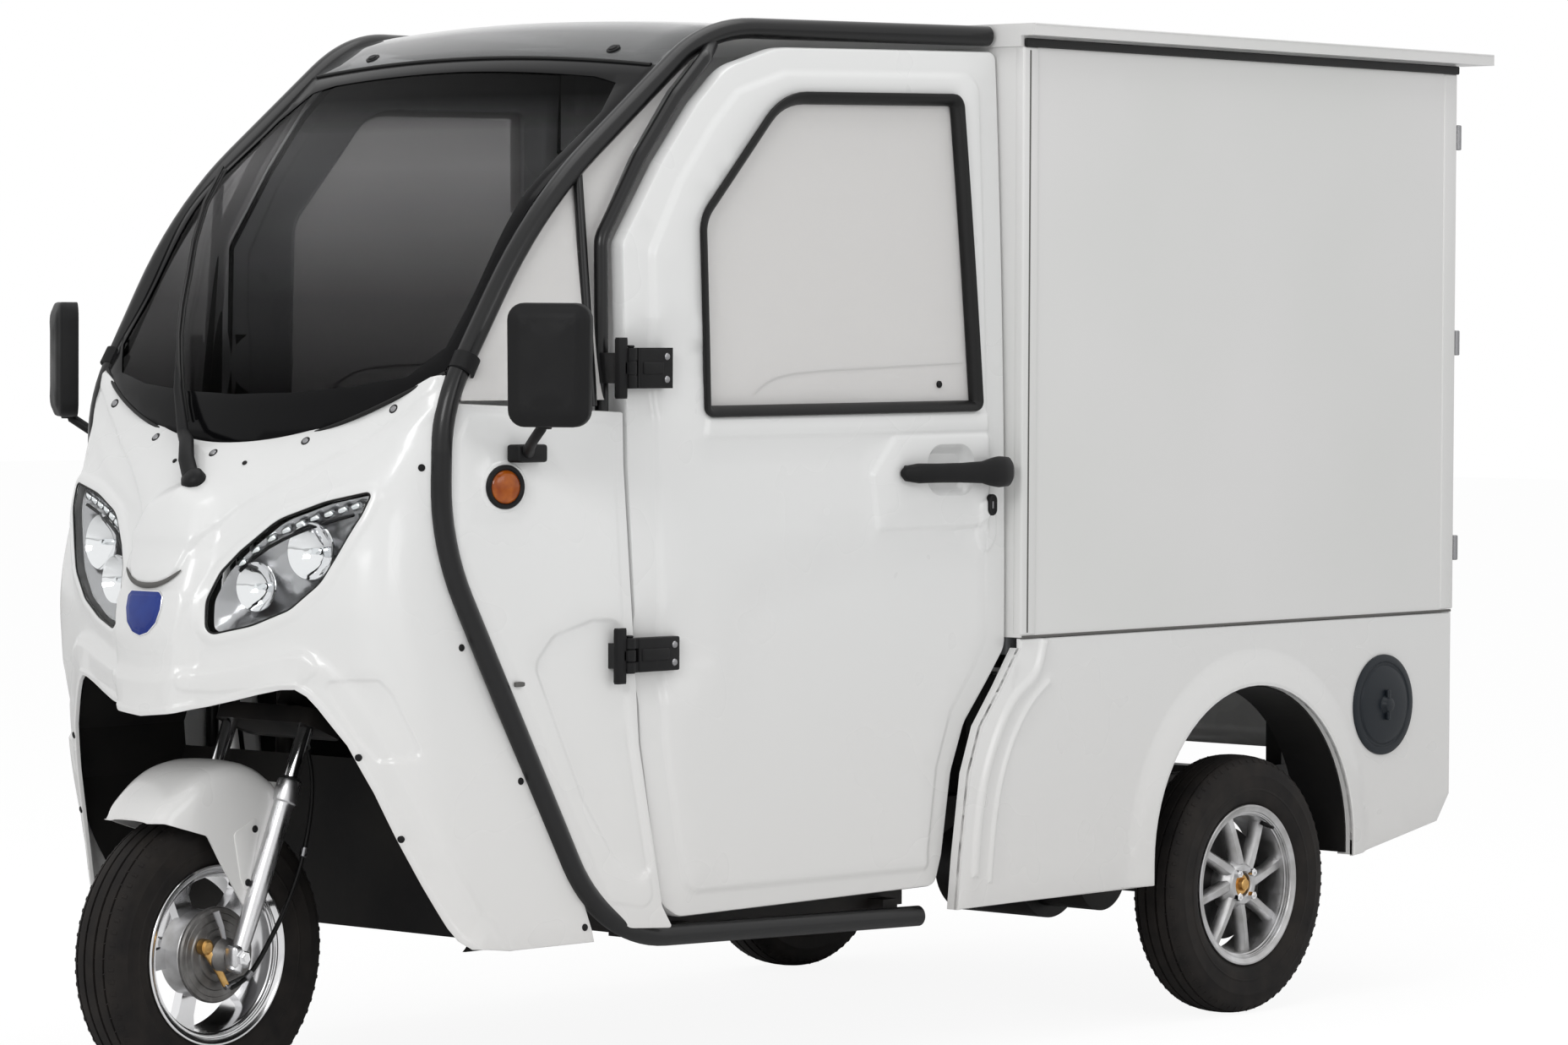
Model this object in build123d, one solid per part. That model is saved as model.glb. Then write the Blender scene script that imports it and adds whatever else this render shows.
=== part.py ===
from build123d import *
import os
from math import cos, degrees, hypot, radians, sin

# Electric cargo tricycle with a closed cab and a rear load box.
# Millimetres. +X is the vehicle's left, -Y its front, +Z is up, and z = 0 is the ground.
# Pieces that come in pairs are built on the left and mirrored.

os.makedirs("parts", exist_ok=True)

# Wheels and where they stand
tyre_radius = 230.0
tyre_half_width = 50.0
rim_seat_radius = 128.0
rim_lip_radius = 143.0
rim_lip_thickness = 5.0
rim_half_width = 38.0
rim_wall = 6.0
front_axle_y = -1233.0
rear_axle_y = 767.0
rear_track_half = 517.0
axle_shaft_radius = 14.0
front_shaft_radius = 8.0
running_fit = 0.05
spoke_count = 8
spoke_width = 21.0
spoke_skew_deg = 17.0
spoke_inner_x = 4.0
spoke_outer_x = 27.0
drum_radius = 100.0
lightening_holes = 6
lightening_hole_radius = 18.0
lightening_circle = 92.0

# Gaps between pieces
seat_gap = 0.3
moving_gap = 6.0

# Steering
rake_deg = 22.5
fork_offset = 45.0
leg_spread = 88.0
slider_radius = 16.0
slider_foot_radius = 13.0
slider_taper_length = 90.0
collar_radius = 20.0
collar_length = 36.0
slider_length = 292.0
stanchion_radius = 13.0
brake_plate_radius = 76.0
hose_radius = 4.0
hose_x = 66.0
steering_lock_crown = 385.0
crown_thickness = 26.0
head_tube_start = 428.0
head_tube_length = 150.0
head_tube_radius = 30.0
steerer_radius = 15.0
handlebar_height = 900.0
handlebar_half = 330.0

# Black roll tubes, one on each side: corner points (x, y, z) and the bend radius at each inner one
roll_tube_radius = 17.0
ROLL_TUBE = [
    ((498, 96, 1708), None),
    ((413, -511, 1700), 280),
    ((408, -901, 1404), 850),
    ((397, -1095, 1092), 240),
    ((393, -1095, 882), 430),
    ((465, -805, 252), 220),
    ((512, -88, 238), None),
]
pillar_radius = 11.0

# Cab sides
door_face_x = 540.0
side_toe_in = 0.07
cowl_toe_in = 0.245
tumble_start_z = 700.0
tumble_top_z = 1760.0
tumble_in = 32.0
cowl_top_z = 1150.0
cowl_lean = 5.6
door_thickness = 28.0
door_front_y = -764.0
door_flange = 46.0
flange_step = 9.0
panel_thickness = 12.0
glass_thickness = 5.0
hinge_y = -774.0
hinge_proud = 8.0
knuckle_radius = 9.0
hinge_pin_radius = 4.0
# Bottom, top and reach along the door of each hinge
HINGES = [(672, 728, 112), (1120, 1184, 92)]
# Door seen from the side: y, z, and the radius of each corner
DOOR = [
    (104, 1682), (-405, 1670), (-524, 1634), (-592, 1574), (-674, 1478), (-764, 1349),
    (-762, 1000), (-744, 700), (-735, 560), (-690, 300), (-650, 277), (-62, 287), (-46, 338),
    (-25, 476), (6, 556), (60, 622), (104, 680),
]
DOOR_RADII = [16, 150, 120, 90, 100, 22, 90, 90, 90, 40, 40, 22, 60, 90, 60, 60, 40]
WINDOW = [(-4, 1597), (-410, 1588), (-596, 1390), (-594, 1082), (27, 1087)]
WINDOW_RADII = [14, 120, 60, 8, 8]
# Raised pad behind the handle, the finger cup in it, and the sunk field below
HANDLE_PAD = [(-172, 1036), (-224, 976), (-212, 883), (58, 886), (58, 1036)]
pad_proud = 5.0
cup_centre = (-44.0, 981.0)
cup_size = (104.0, 68.0)
cup_depth = 17.0
DOOR_FIELD = [(-552, 783), (-430, 818), (-290, 846), (-140, 866), (58, 884), (58, 400), (-548, 400)]
field_depth = 5.0
field_fade_z = 430.0
# Door handle seen from above: y and how far out from the pad
HANDLE = [
    (-160, 0), (-164, 12), (-150, 24), (-60, 31), (40, 35), (72, 30), (84, 16), (84, 0), (50, 0),
    (36, 15), (-70, 13), (-128, 9), (-136, 0),
]
handle_z = 977.0
handle_front_half = 16.0
handle_rear_half = 25.0
# Second tube, from the roll tube down along the door's front edge: y, z
PILLAR = [(-508, 1672), (-552, 1648), (-618, 1586), (-704, 1484), (-790, 1356), (-790, 290)]
divider_y = -812.0
divider_radius = 8.0
# Panel and side pane between the roll tube and the door: y, z
COWL = [
    (-1060, 1100), (-1095, 1050), (-1095, 882), (-812, 268), (-676, 262), (-697, 300),
    (-742, 560), (-751, 700), (-769, 1000), (-770, 1085),
]
COWL_FIELD = [(-925, 706), (-771, 752), (-771, 560), (-712, 318), (-800, 392)]
cowl_field_depth = 4.0
QUARTER = [
    (-1068, 1102), (-1045, 1180), (-885, 1404), (-740, 1520), (-560, 1640), (-612, 1592),
    (-700, 1484), (-784, 1356), (-784, 1102),
]
indicator_y = -990.0
indicator_z = 968.0
indicator_radius = 34.0
mirror_x, mirror_y, mirror_z = 561.0, -1028.0, 1158.0
mirror_yaw_deg = 35.0
MIRROR_CASE = (134, 42, 198)

# Nose fairing
fairing_wall = 5.0
liner_wall = 4.0
well_back_y = -925.0
# Height, centre line y, corner x, corner y, tube-side x, tube-side y, corner radius, centre radius
NOSE = [
    (248, -1290, 436, -1060, 466, -800, 60, 300),
    (400, -1325, 420, -1110, 446, -875, 70, 300),
    (560, -1352, 404, -1160, 424, -950, 80, 300),
    (680, -1358, 394, -1190, 406, -1000, 90, 280),
    (780, -1344, 380, -1208, 399, -1045, 85, 260),
    (880, -1302, 362, -1204, 394, -1080, 70, 260),
    (965, -1244, 352, -1184, 396, -1095, 60, 300),
    (1045, -1160, 372, -1136, 399, -1095, 40, 500),
    (1150, -1068, 384, -1080, 405, -1060, 14, 500),
]
# Wheel opening seen from the front: x, z of its left half, from the ground up to the centre
ARCH = [(412, 200), (404, 300), (384, 478), (350, 562), (268, 652), (130, 632), (0, 618)]
LINER = [(412, 250), (404, 300), (384, 478), (350, 562), (268, 655)]
relief_height = 4.0
# Raised hood between the lamps, down to its lower edge above the wheel opening: x, z
HOOD = [
    (372, 1100), (345, 1098), (275, 1048), (200, 1002), (176, 960), (172, 915), (142, 872),
    (118, 834), (100, 816), (0, 809),
]

# Windscreen and roof: profile y, z, the direction it faces, its bulge at the centre and half width
SCREEN = [
    (-1103, 1000, (-1.0, 0.0), 64, 392),
    (-1098, 1092, (-0.96, 0.28), 62, 394),
    (-1004, 1250, (-0.848, 0.53), 50, 397),
    (-897, 1405, (-0.74, 0.673), 40, 400),
    (-756, 1520, (-0.61, 0.792), 33, 402),
    (-610, 1634, (-0.59, 0.807), 27, 404),
]
ROOF = [
    (-609.4, 1634.5, (-0.59, 0.807), 27, 404),
    (-500, 1694, (-0.27, 0.963), 22, 406),
    (-390, 1707, (0.0, 1.0), 18, 424),
    (-230, 1710, (0.0, 1.0), 17, 446),
    (-60, 1713, (0.0, 1.0), 15, 469),
    (98, 1715, (0.0, 1.0), 13, 490),
]
sheet_thickness = 5.0
screen_corner = (411.0, 1138.0)
screen_bottom_z = 1035.0

# Headlamp outline seen from the front: x, z
LAMP = [
    (103, 737), (98, 790), (112, 834), (136, 866), (186, 915), (262, 944), (339, 961),
    (331, 926), (301, 862), (281, 822), (235, 780), (175, 754),
]
lamp_depth = 60.0

# Load box and rear body
box_half = 565.0
box_front_y = 110.0
box_rear_y = 1385.0
box_top_z = 1690.0
box_bottom_z = 696.0
box_wall = 15.0
roof_thickness = 38.0
eave_side = 30.0
eave_front_y = 104.0
eave_rear_y = 1463.0
floor_thickness = 30.0
skirt_wall = 5.0
skirt_return = 26.0
arch_centre_z = 291.0
arch_radius = 295.0
arch_lip_width = 50.0
arch_lip_proud = 14.0
hatch_centre = (1164.0, 532.0)
hatch_radius = 92.0
rear_door_thickness = 20.0
REAR_HINGES = [790, 1170, 1550]
# Lower outline of the rear side panel: y, z
SKIRT = [
    (112, 695.7), (1384, 695.7), (1384, 356), (1345, 304), (1104, 262), (416, 250), (-50, 247),
    (-38, 338), (-17, 474), (13, 551), (67, 616), (112, 676),
]
# Raised rib that follows the door's lower rear corner: y, z
SKIRT_RIB = [(-12, 300), (2, 400), (22, 480), (52, 545), (104, 608), (150, 640), (172, 690)]
rib_radius = 7.0

# Frame
rail_x = 250.0
rail_width = 40.0
rail_low_z = 290.0
rail_high_z = 350.0
rail_depth = 50.0
floor_z = rail_low_z + rail_depth
sill_x = (420.0, 446.0)
sill_y = (-742.0, -52.0)
sill_z = (250.0, 334.0)


def save(part, name):
    """Write one sub-part, on the place it has on the vehicle."""
    part.label = name
    export_step(part, f"parts/{name}.step")


def save_pair(part, name):
    """Write the left sub-part and its mirror image."""
    save(part, f"{name}_left")
    save(mirror(part, Plane.YZ), f"{name}_right")


def side_prism(points, x0, x1):
    """An outline in y and z, as thick as from x0 to x1."""
    face = Plane.YZ.offset(x0) * make_face(Polyline(*points, close=True))
    return extrude(face, amount=x1 - x0)


def front_prism(points, y0, y1):
    """An outline in x and z, as deep as from y0 to y1."""
    plane = Plane(origin=(0, y1, 0), x_dir=(1, 0, 0), z_dir=(0, -1, 0))
    return extrude(plane * make_face(Polyline(*points, close=True)), amount=y1 - y0)


def block(x0, x1, y0, y1, z0, z1):
    """A box between six faces."""
    centre = ((x0 + x1) / 2, (y0 + y1) / 2, (z0 + z1) / 2)
    return Pos(*centre) * Box(abs(x1 - x0), y1 - y0, z1 - z0)


def rod(start, end, radius):
    """A round bar between two points."""
    start, end = Vector(*start), Vector(*end)
    along = end - start
    return extrude(Plane(origin=start, z_dir=along) * Circle(radius), amount=along.length)


def tube_path():
    """The left roll tube's centre line: straight runs joined by tangent bends."""
    points = [row[0] for row in ROLL_TUBE]
    radii = [row[1] for row in ROLL_TUBE if row[1]]
    return FilletPolyline(*points, radius=radii)


def roll_tube(radius):
    """The left roll tube at any radius."""
    path = tube_path()
    return sweep((path ^ 0) * Circle(radius), path=path)


def along_steering(distance, offset=0.0, x=0.0):
    """A point at a distance up the rake from the front axle and an offset behind the fork legs."""
    rake = radians(rake_deg)
    y = front_axle_y + distance * sin(rake) + offset * cos(rake)
    z = tyre_radius + distance * cos(rake) - offset * sin(rake)
    return (x, y, z)


def steering_plane(distance, offset=0.0, x=0.0):
    """A plane across the steering axis at such a point, facing up the rake."""
    facing = Vector(*along_steering(1)) - Vector(*along_steering(0))
    return Plane(origin=along_steering(distance, offset, x), x_dir=(1, 0, 0), z_dir=facing)


def side_face_x(offset):
    """Section of the cab's side: upright below, leaning in above, at an offset inside its skin."""
    bottom, top = 150.0, tumble_top_z
    mid_z = (tumble_start_z + top) / 2
    x = door_face_x - offset
    edge = Line((x, bottom), (x, tumble_start_z))
    lean = ThreePointArc((x, tumble_start_z), (x - tumble_in * 0.27, mid_z), (x - tumble_in, top))
    return edge, lean


def side_skin(outer, inner, toe_in, y0, y1):
    """The cab side's skin between two offsets, from y0 to y1, toed in towards the front."""
    out_edge, out_lean = side_face_x(outer)
    in_edge, in_lean = side_face_x(inner)
    ends = [
        Line(out_lean @ 1, in_lean @ 1),
        Line(in_edge @ 0, out_edge @ 0),
    ]
    section = make_face(Wire([out_edge, out_lean, ends[0], in_lean, in_edge, ends[1]]))
    plane = Plane(origin=(toe_in * y0, y0, 0), x_dir=(1, 0, 0), z_dir=(0, -1, 0))
    length = (y1 - y0) * hypot(1, toe_in)
    return extrude(plane * section, amount=length, dir=(toe_in, 1, 0))


def cowl_shift():
    """How far the cowl's skin is moved in x so that it meets the door's skin at the door's edge."""
    return (side_toe_in - cowl_toe_in) * door_front_y


def cowl_skin(outer, inner):
    """The skin ahead of the door, which turns in towards the nose and leans in above its waist."""
    x = door_face_x + cowl_shift()
    section = [
        (x - outer, 150), (x - outer, tumble_start_z), (x - cowl_lean - outer, cowl_top_z),
        (x - cowl_lean - inner, cowl_top_z), (x - inner, tumble_start_z), (x - inner, 150),
    ]
    y0, y1 = -1250, door_front_y
    plane = Plane(origin=(cowl_toe_in * y0, y0, 0), x_dir=(1, 0, 0), z_dir=(0, -1, 0))
    face = plane * make_face(Polyline(*section, close=True))
    return extrude(face, amount=(y1 - y0) * hypot(1, cowl_toe_in), dir=(cowl_toe_in, 1, 0))


# Wheels, built on the x axis and then put on their axles

def tyre():
    """A low tyre with a flat crown and round shoulders."""
    half = tyre_half_width
    seat = rim_half_width
    points = [
        (-seat, rim_seat_radius), (seat, rim_seat_radius), (seat, rim_lip_radius + 4),
        (half - 3, 165), (half, 188), (half - 5, 216), (half - 18, tyre_radius),
        (18 - half, tyre_radius), (5 - half, 216), (-half, 188), (3 - half, 165),
        (-seat, rim_lip_radius + 4),
    ]
    section = Plane.XZ * make_face(Polyline(*points, close=True))
    return revolve(section, Axis.X)


def rim_barrel():
    """The rim's band with its two lips."""
    half = rim_half_width + seat_gap
    lip = half + rim_lip_thickness
    outer = rim_seat_radius - seat_gap
    inner = outer - rim_wall
    points = [
        (-lip, inner), (-lip, rim_lip_radius), (-half, rim_lip_radius), (-half, outer),
        (half, outer), (half, rim_lip_radius), (lip, rim_lip_radius), (lip, inner),
    ]
    section = Plane.XZ * make_face(Polyline(*points, close=True))
    return revolve(section, Axis.X)


def x_disc(radius, x0, x1):
    """A round disc on the wheel's axis."""
    return extrude(Plane.YZ.offset(x0) * Circle(radius), amount=x1 - x0)


def spoke(inner_r, outer_r):
    """One straight spoke that leans to one side, from the hub out to the rim."""
    length = outer_r - inner_r
    arm = Pos(0, 0, length / 2) * Box(spoke_outer_x - spoke_inner_x, spoke_width, length + 8)
    arm = fillet(arm.edges().filter_by(Axis.Z), 5)
    middle_x = (spoke_inner_x + spoke_outer_x) / 2
    return Pos(middle_x, 0, inner_r) * Rot(spoke_skew_deg, 0, 0) * arm


def rear_rim():
    """Cast rim with eight leaning spokes, a recessed hub and a brake drum on its inner side."""
    wheel = rim_barrel()
    inner = rim_seat_radius - seat_gap - rim_wall
    step = 360 / spoke_count
    arm = spoke(34, inner + 3) & x_disc(inner + 3, -60, 60)
    for turn in range(spoke_count):
        wheel += Rot(turn * step, 0, 0) * arm
    wheel += x_disc(48, -6, 22) + x_disc(34, 22, 30)
    wheel += x_disc(drum_radius, -56, -6)
    return wheel - x_disc(axle_shaft_radius + running_fit, -80, 14) - x_disc(22, 16, 40)


def front_rim():
    """Cast rim with a pierced disc, a hub and a drum open to the left."""
    wheel = rim_barrel()
    inner = rim_seat_radius - seat_gap - rim_wall
    wheel += x_disc(inner + 3, -16, -4)
    for spot in PolarLocations(lightening_circle, lightening_holes):
        y, z = spot.position.X, spot.position.Y
        wheel -= Pos(0, y, z) * x_disc(lightening_hole_radius, -30, 10)
    wheel += x_disc(68, -20, 26) - x_disc(60, 0, 26)
    wheel += x_disc(24, -44, 20)
    return wheel - x_disc(front_shaft_radius + running_fit, -80, 80)


front_hub = Pos(0, front_axle_y, tyre_radius)
rear_hub = Pos(rear_track_half, rear_axle_y, tyre_radius)
save(front_hub * tyre(), "front_tyre")
save(front_hub * front_rim(), "front_rim")
save_pair(rear_hub * tyre(), "rear_tyre")
save_pair(rear_hub * rear_rim(), "rear_rim")


# Steering: fork, handlebar and front mudguard

def fork():
    """Telescopic fork with its crown, steerer, wheel shaft and brake plate."""
    parts = []
    for side in (-1, 1):
        x = side * leg_spread
        taper = steering_plane(slider_taper_length, 0, x) * Circle(slider_radius)
        foot = steering_plane(-24, 0, x) * Circle(slider_foot_radius)
        parts.append(loft([foot, taper]))
        parts.append(rod(along_steering(slider_taper_length, 0, x), along_steering(slider_length, 0, x),
                         slider_radius))
        parts.append(rod(along_steering(slider_length - collar_length, 0, x),
                         along_steering(slider_length, 0, x), collar_radius))
        parts.append(rod(along_steering(slider_length, 0, x), along_steering(400, 0, x), stanchion_radius))
    rake = steering_plane(steering_lock_crown, fork_offset / 2)
    width = 2 * (leg_spread + stanchion_radius) + 16
    crown = rake * extrude(RectangleRounded(width, fork_offset + 44, 20), amount=crown_thickness)
    steerer_start = along_steering(steering_lock_crown + 4, fork_offset)
    steerer_end = along_steering(head_tube_start + head_tube_length + 30, fork_offset)
    body = crown + rod(steerer_start, steerer_end, steerer_radius)
    for piece in parts:
        body += piece
    reach = leg_spread + slider_foot_radius + 3
    shaft = rod((-reach, front_axle_y, tyre_radius), (reach, front_axle_y, tyre_radius),
                front_shaft_radius)
    hub = x_disc(30, 41, leg_spread - slider_foot_radius + 6)
    plate = front_hub * (x_disc(brake_plate_radius, 33, 41) + hub)
    lever_foot = (hose_x, front_axle_y + 6, tyre_radius - 52)
    lever = rod((52, front_axle_y - 4, tyre_radius - 30), lever_foot, 7)
    hose_path = Spline(
        lever_foot, (hose_x, front_axle_y + 80, tyre_radius + 6),
        (hose_x, front_axle_y + 172, tyre_radius + 190), (hose_x, front_axle_y + 176, tyre_radius + 290),
        along_steering(steering_lock_crown + 8, 8, hose_x - 6),
    )
    hose = sweep((hose_path ^ 0) * Circle(hose_radius), path=hose_path)
    return body + shaft + plate + lever + hose


def handlebar():
    """Handlebar on its stem, with grips, brake levers and an instrument pod."""
    start = along_steering(head_tube_start + head_tube_length + 30, fork_offset)
    top = along_steering(handlebar_height, fork_offset)
    bar = rod(start, top, steerer_radius)
    x, y, z = top
    bend = FilletPolyline(
        (-handlebar_half, y + 70, z + 10), (-150, y + 10, z + 6), (-70, y, z), (70, y, z),
        (150, y + 10, z + 6), (handlebar_half, y + 70, z + 10), radius=40,
    )
    bar += sweep((bend ^ 0) * Circle(11), path=bend)
    for side in (-1, 1):
        tip = Vector(side * handlebar_half, y + 70, z + 10)
        root = Vector(side * 150, y + 10, z + 6)
        grip_start = root + (tip - root) * 0.35
        bar += rod(grip_start, tip, 17)
        lever_out = tip + Vector(0, -62, -6)
        bar += rod(root + Vector(0, -6, 0), lever_out, 6)
    pod = Pos(x, y - 10, z + 22) * Rot(25, 0, 0) * Box(150, 70, 44)
    return bar + fillet(pod.edges().filter_by(Axis.X), 12)


def mudguard():
    """Front mudguard with a pointed tail on each side that reaches down the fork leg."""
    y, z = front_axle_y, tyre_radius
    rake = radians(rake_deg)
    tail = (y + 78 * sin(rake), z + 78 * cos(rake))
    outline = [
        (y - 150, z + 222), (y - 128, z + 262), (y - 62, z + 296), (y + 40, z + 308),
        (y + 138, z + 286), (y + 150, z + 262), (y + 122, z + 262), tail, (y - 52, z + 196),
        (y - 96, z + 212),
    ]
    half = leg_spread - 6
    shell = side_prism(outline, -half, half)
    inner = [
        (y - 160, z + 210), (y - 134, z + 254), (y - 64, z + 291), (y + 40, z + 303),
        (y + 146, z + 278), (y + 170, z + 200), (y, z - 60), (y - 160, z + 100),
    ]
    shell -= side_prism(inner, 5 - half, half - 5)
    for side in (-1, 1):
        x = side * leg_spread
        shell -= rod(along_steering(-24, 0, x), along_steering(400, 0, x), slider_radius + seat_gap)
        shell -= rod(along_steering(slider_length - collar_length - 1, 0, x), along_steering(400, 0, x),
                     collar_radius + seat_gap)
    return shell.solids().sort_by(SortBy.VOLUME)[-1]


save(fork(), "fork")
save(handlebar(), "handlebar")
save(mudguard(), "front_mudguard")


# Nose, wheel well, windscreen and roof

def nose_section(row, inset):
    """One level of the nose: two flat flanks, round corners and a soft centre ridge."""
    z, centre_y, corner_x, corner_y, side_x, side_y, corner_r, centre_r = row
    reach = 130.0
    length = hypot(side_x - corner_x, side_y - corner_y)
    back_x = side_x + (side_x - corner_x) * reach / length
    back_y = side_y + (side_y - corner_y) * reach / length
    front = FilletPolyline(
        (-back_x, back_y), (-corner_x, corner_y), (0, centre_y), (corner_x, corner_y),
        (back_x, back_y), radius=(corner_r, centre_r, corner_r),
    )
    face = make_face(Wire([*front.edges(), Line(front @ 1, front @ 0).edge()]))
    if inset:
        face = offset(face, amount=-inset, kind=Kind.INTERSECTION)
    return Plane.XY.offset(z) * face


def nose_solid(inset):
    """The nose filled in, at an inset from its outer skin."""
    return loft([nose_section(row, inset) for row in NOSE])


def ahead_of_tube():
    """Everything in front of the roll tubes' centre line, seen from the side."""
    line = [(row[0][1], row[0][2]) for row in ROLL_TUBE]
    front = [(-1500, 200), (-1500, 1750)]
    return side_prism([line[5], line[4], line[3], line[2], (-901, 1750), front[1], front[0],
                       (line[5][0], 200)], -600, 600)


def below_screen(gap):
    """Everything under the windscreen's lower edge, which is an arc seen from the front."""
    x, z = screen_corner
    arc = ThreePointArc((-x, z - gap), (0, screen_bottom_z - gap), (x, z - gap))
    sides = Polyline((x, z - gap), (x + 200, z - gap), (x + 200, 100), (-x - 200, 100),
                     (-x - 200, z - gap), (-x, z - gap))
    plane = Plane(origin=(0, 0, 0), x_dir=(1, 0, 0), z_dir=(0, -1, 0))
    return extrude(plane * make_face(Wire([arc.edge(), *sides.edges()])), amount=1500)


def both(points):
    """A left half outline, closed with its mirror image."""
    return points + [(-x, z) for x, z in reversed(points) if x]


tube_cutter = roll_tube(roll_tube_radius + seat_gap)
tube_cutters = tube_cutter + mirror(tube_cutter, Plane.YZ)
hood_prism = front_prism(both(HOOD), -1500, -1000)
plain_nose = nose_solid(0)
nose = plain_nose + (nose_solid(-relief_height) & hood_prism)
nose_inner = nose_solid(fairing_wall)
lamp_cut = front_prism(LAMP, -1500, -1100)
lamp_cuts = lamp_cut + mirror(lamp_cut, Plane.YZ)

fairing = (nose - nose_inner) & ahead_of_tube() & below_screen(seat_gap)
fairing = fairing - front_prism(both(ARCH), -1500, -900) - lamp_cuts - tube_cutters
fairing = fairing.solids().sort_by(SortBy.VOLUME)[-1]
save(fairing, "front_fairing")

lamp_shell = plain_nose - Pos(0, lamp_depth, 0) * plain_nose
lamp_face = make_face(Polyline(*LAMP, close=True))
lamp_face = offset(lamp_face, amount=-seat_gap, kind=Kind.INTERSECTION)
lamp_plane = Plane(origin=(0, -1100, 0), x_dir=(1, 0, 0), z_dir=(0, -1, 0))
lamp = lamp_shell & extrude(lamp_plane * lamp_face, amount=400)
save_pair(lamp.solids().sort_by(SortBy.VOLUME)[-1], "headlamp")

head_bottom = along_steering(head_tube_start, fork_offset)
head_top = along_steering(head_tube_start + head_tube_length, fork_offset)


def front_liner():
    """Black inner wheel well: a ribless arch with a back wall, open below and to the front."""
    outline = both(LINER)
    wall = liner_wall
    outer = [(x + wall if x > 0 else x - wall, z + (wall if z > 640 else 0)) for x, z in outline]
    hood = front_prism(outer, -1400, well_back_y) - front_prism(outline, -1400, well_back_y - wall)
    hood = hood & nose_solid(fairing_wall + seat_gap)
    hood = hood & ahead_of_tube()
    return hood - rod(head_bottom, head_top, head_tube_radius + seat_gap) - tube_cutters


liner = front_liner()
save(liner.solids().sort_by(SortBy.VOLUME)[-1], "front_liner")


def sheet_section(row):
    """One station of the curved sheet: a thin arched band across the vehicle."""
    y, z, facing, bulge, half = row
    plane = Plane(origin=(0, y, z), x_dir=(1, 0, 0),
                  z_dir=Vector(1, 0, 0).cross(Vector(0, facing[0], facing[1])))
    t = sheet_thickness
    outer = ThreePointArc((-half, 0), (0, bulge), (half, 0))
    inner = ThreePointArc((half, -t), (0, bulge - t), (-half, -t))
    ends = [Line((half, 0), (half, -t)), Line((-half, -t), (-half, 0))]
    return plane * make_face(Wire([outer.edge(), ends[0].edge(), inner.edge(), ends[1].edge()]))


windscreen = loft([sheet_section(row) for row in SCREEN])
windscreen = (windscreen - below_screen(0)) - tube_cutters
save(windscreen.solids().sort_by(SortBy.VOLUME)[-1], "windscreen")
roof = loft([sheet_section(row) for row in ROOF]) - tube_cutters
save(roof.solids().sort_by(SortBy.VOLUME)[-1], "cab_roof")


# Roll tubes with the pillar that follows the door's front edge

def door_side_x(y, z, inside):
    """How far out the cab's side is at a point, less a depth inside its skin."""
    lean = 0.0
    if z > tumble_start_z:
        lean = tumble_in * ((z - tumble_start_z) / (tumble_top_z - tumble_start_z)) ** 1.9
    return door_face_x - lean + side_toe_in * y - inside


def tube_centre_x(y):
    """The roll tube's x over the windscreen and roof."""
    (x0, y0, _), (x1, y1, _) = ROLL_TUBE[2][0], ROLL_TUBE[1][0]
    if y < y1:
        return x0 + (x1 - x0) * (y - y0) / (y1 - y0)
    x2, y2, _ = ROLL_TUBE[0][0]
    return x1 + (x2 - x1) * (y - y1) / (y2 - y1)


def pillar_tube(radius):
    """The second black tube, from the roll tube down along the door's front edge."""
    inside = pillar_radius + 18
    points = [(tube_centre_x(PILLAR[0][0]) + 6, *PILLAR[0])]
    points += [(door_side_x(y, z, inside), y, z) for y, z in PILLAR[1:]]
    path = FilletPolyline(*points, radius=(20, 100, 120, 40))
    return sweep((path ^ 0) * Circle(radius), path=path)


def divider(radius):
    """The upright bar in the quarter window."""
    foot = (door_side_x(divider_y, 1092, pillar_radius + 20), divider_y, 1092)
    head = (tube_centre_x(divider_y) + 2, divider_y, 1476)
    return rod(foot, head, radius)


pillar = pillar_tube(pillar_radius) + divider(divider_radius)


hinge_x = door_side_x(hinge_y, tumble_start_z, -hinge_proud)


def hinge_root(low, high, gap):
    """The foot that ties a hinge's body half to the pillar, grown by a gap."""
    return block(hinge_x - 46 - gap, hinge_x - 2, hinge_y - 26 - gap, hinge_y - 14,
                 low + 8 - gap, high - 8 + gap)


def hinge_brackets():
    """The body's half of both hinges: a plate, the middle knuckle and the pin."""
    x = hinge_x
    brackets = None
    for low, high, _ in HINGES:
        third = (high - low) / 3
        y = hinge_y
        plate = block(x - 7, x + 1, y - 28, y - knuckle_radius, low - 16, high + 16)
        root = hinge_root(low, high, 0)
        arm = block(x - 7, x + 1, y - 12, y, low + third + 0.5, high - third - 0.5)
        knuckle = rod((x, y, low + third + 0.5), (x, y, high - third - 0.5), knuckle_radius)
        pin = rod((x, y, low), (x, y, high), hinge_pin_radius)
        piece = plate + root + arm + knuckle + pin
        brackets = piece if brackets is None else brackets + piece
    return brackets


cage = roll_tube(roll_tube_radius) + pillar + hinge_brackets()
save_pair(cage, "roll_tube")


# Doors

def door_outline(grow):
    """The left door's outline, grown or shrunk all round."""
    face = make_face(FilletPolyline(*DOOR, radius=DOOR_RADII, close=True))
    if grow:
        face = offset(face, amount=grow)
    return extrude(Plane.YZ.offset(300) * face, amount=400)


def window_prism(grow):
    """The door's window opening, grown or shrunk all round."""
    face = make_face(FilletPolyline(*WINDOW, radius=WINDOW_RADII, close=True))
    if grow:
        face = offset(face, amount=grow)
    return extrude(Plane.YZ.offset(300) * face, amount=400)


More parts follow.
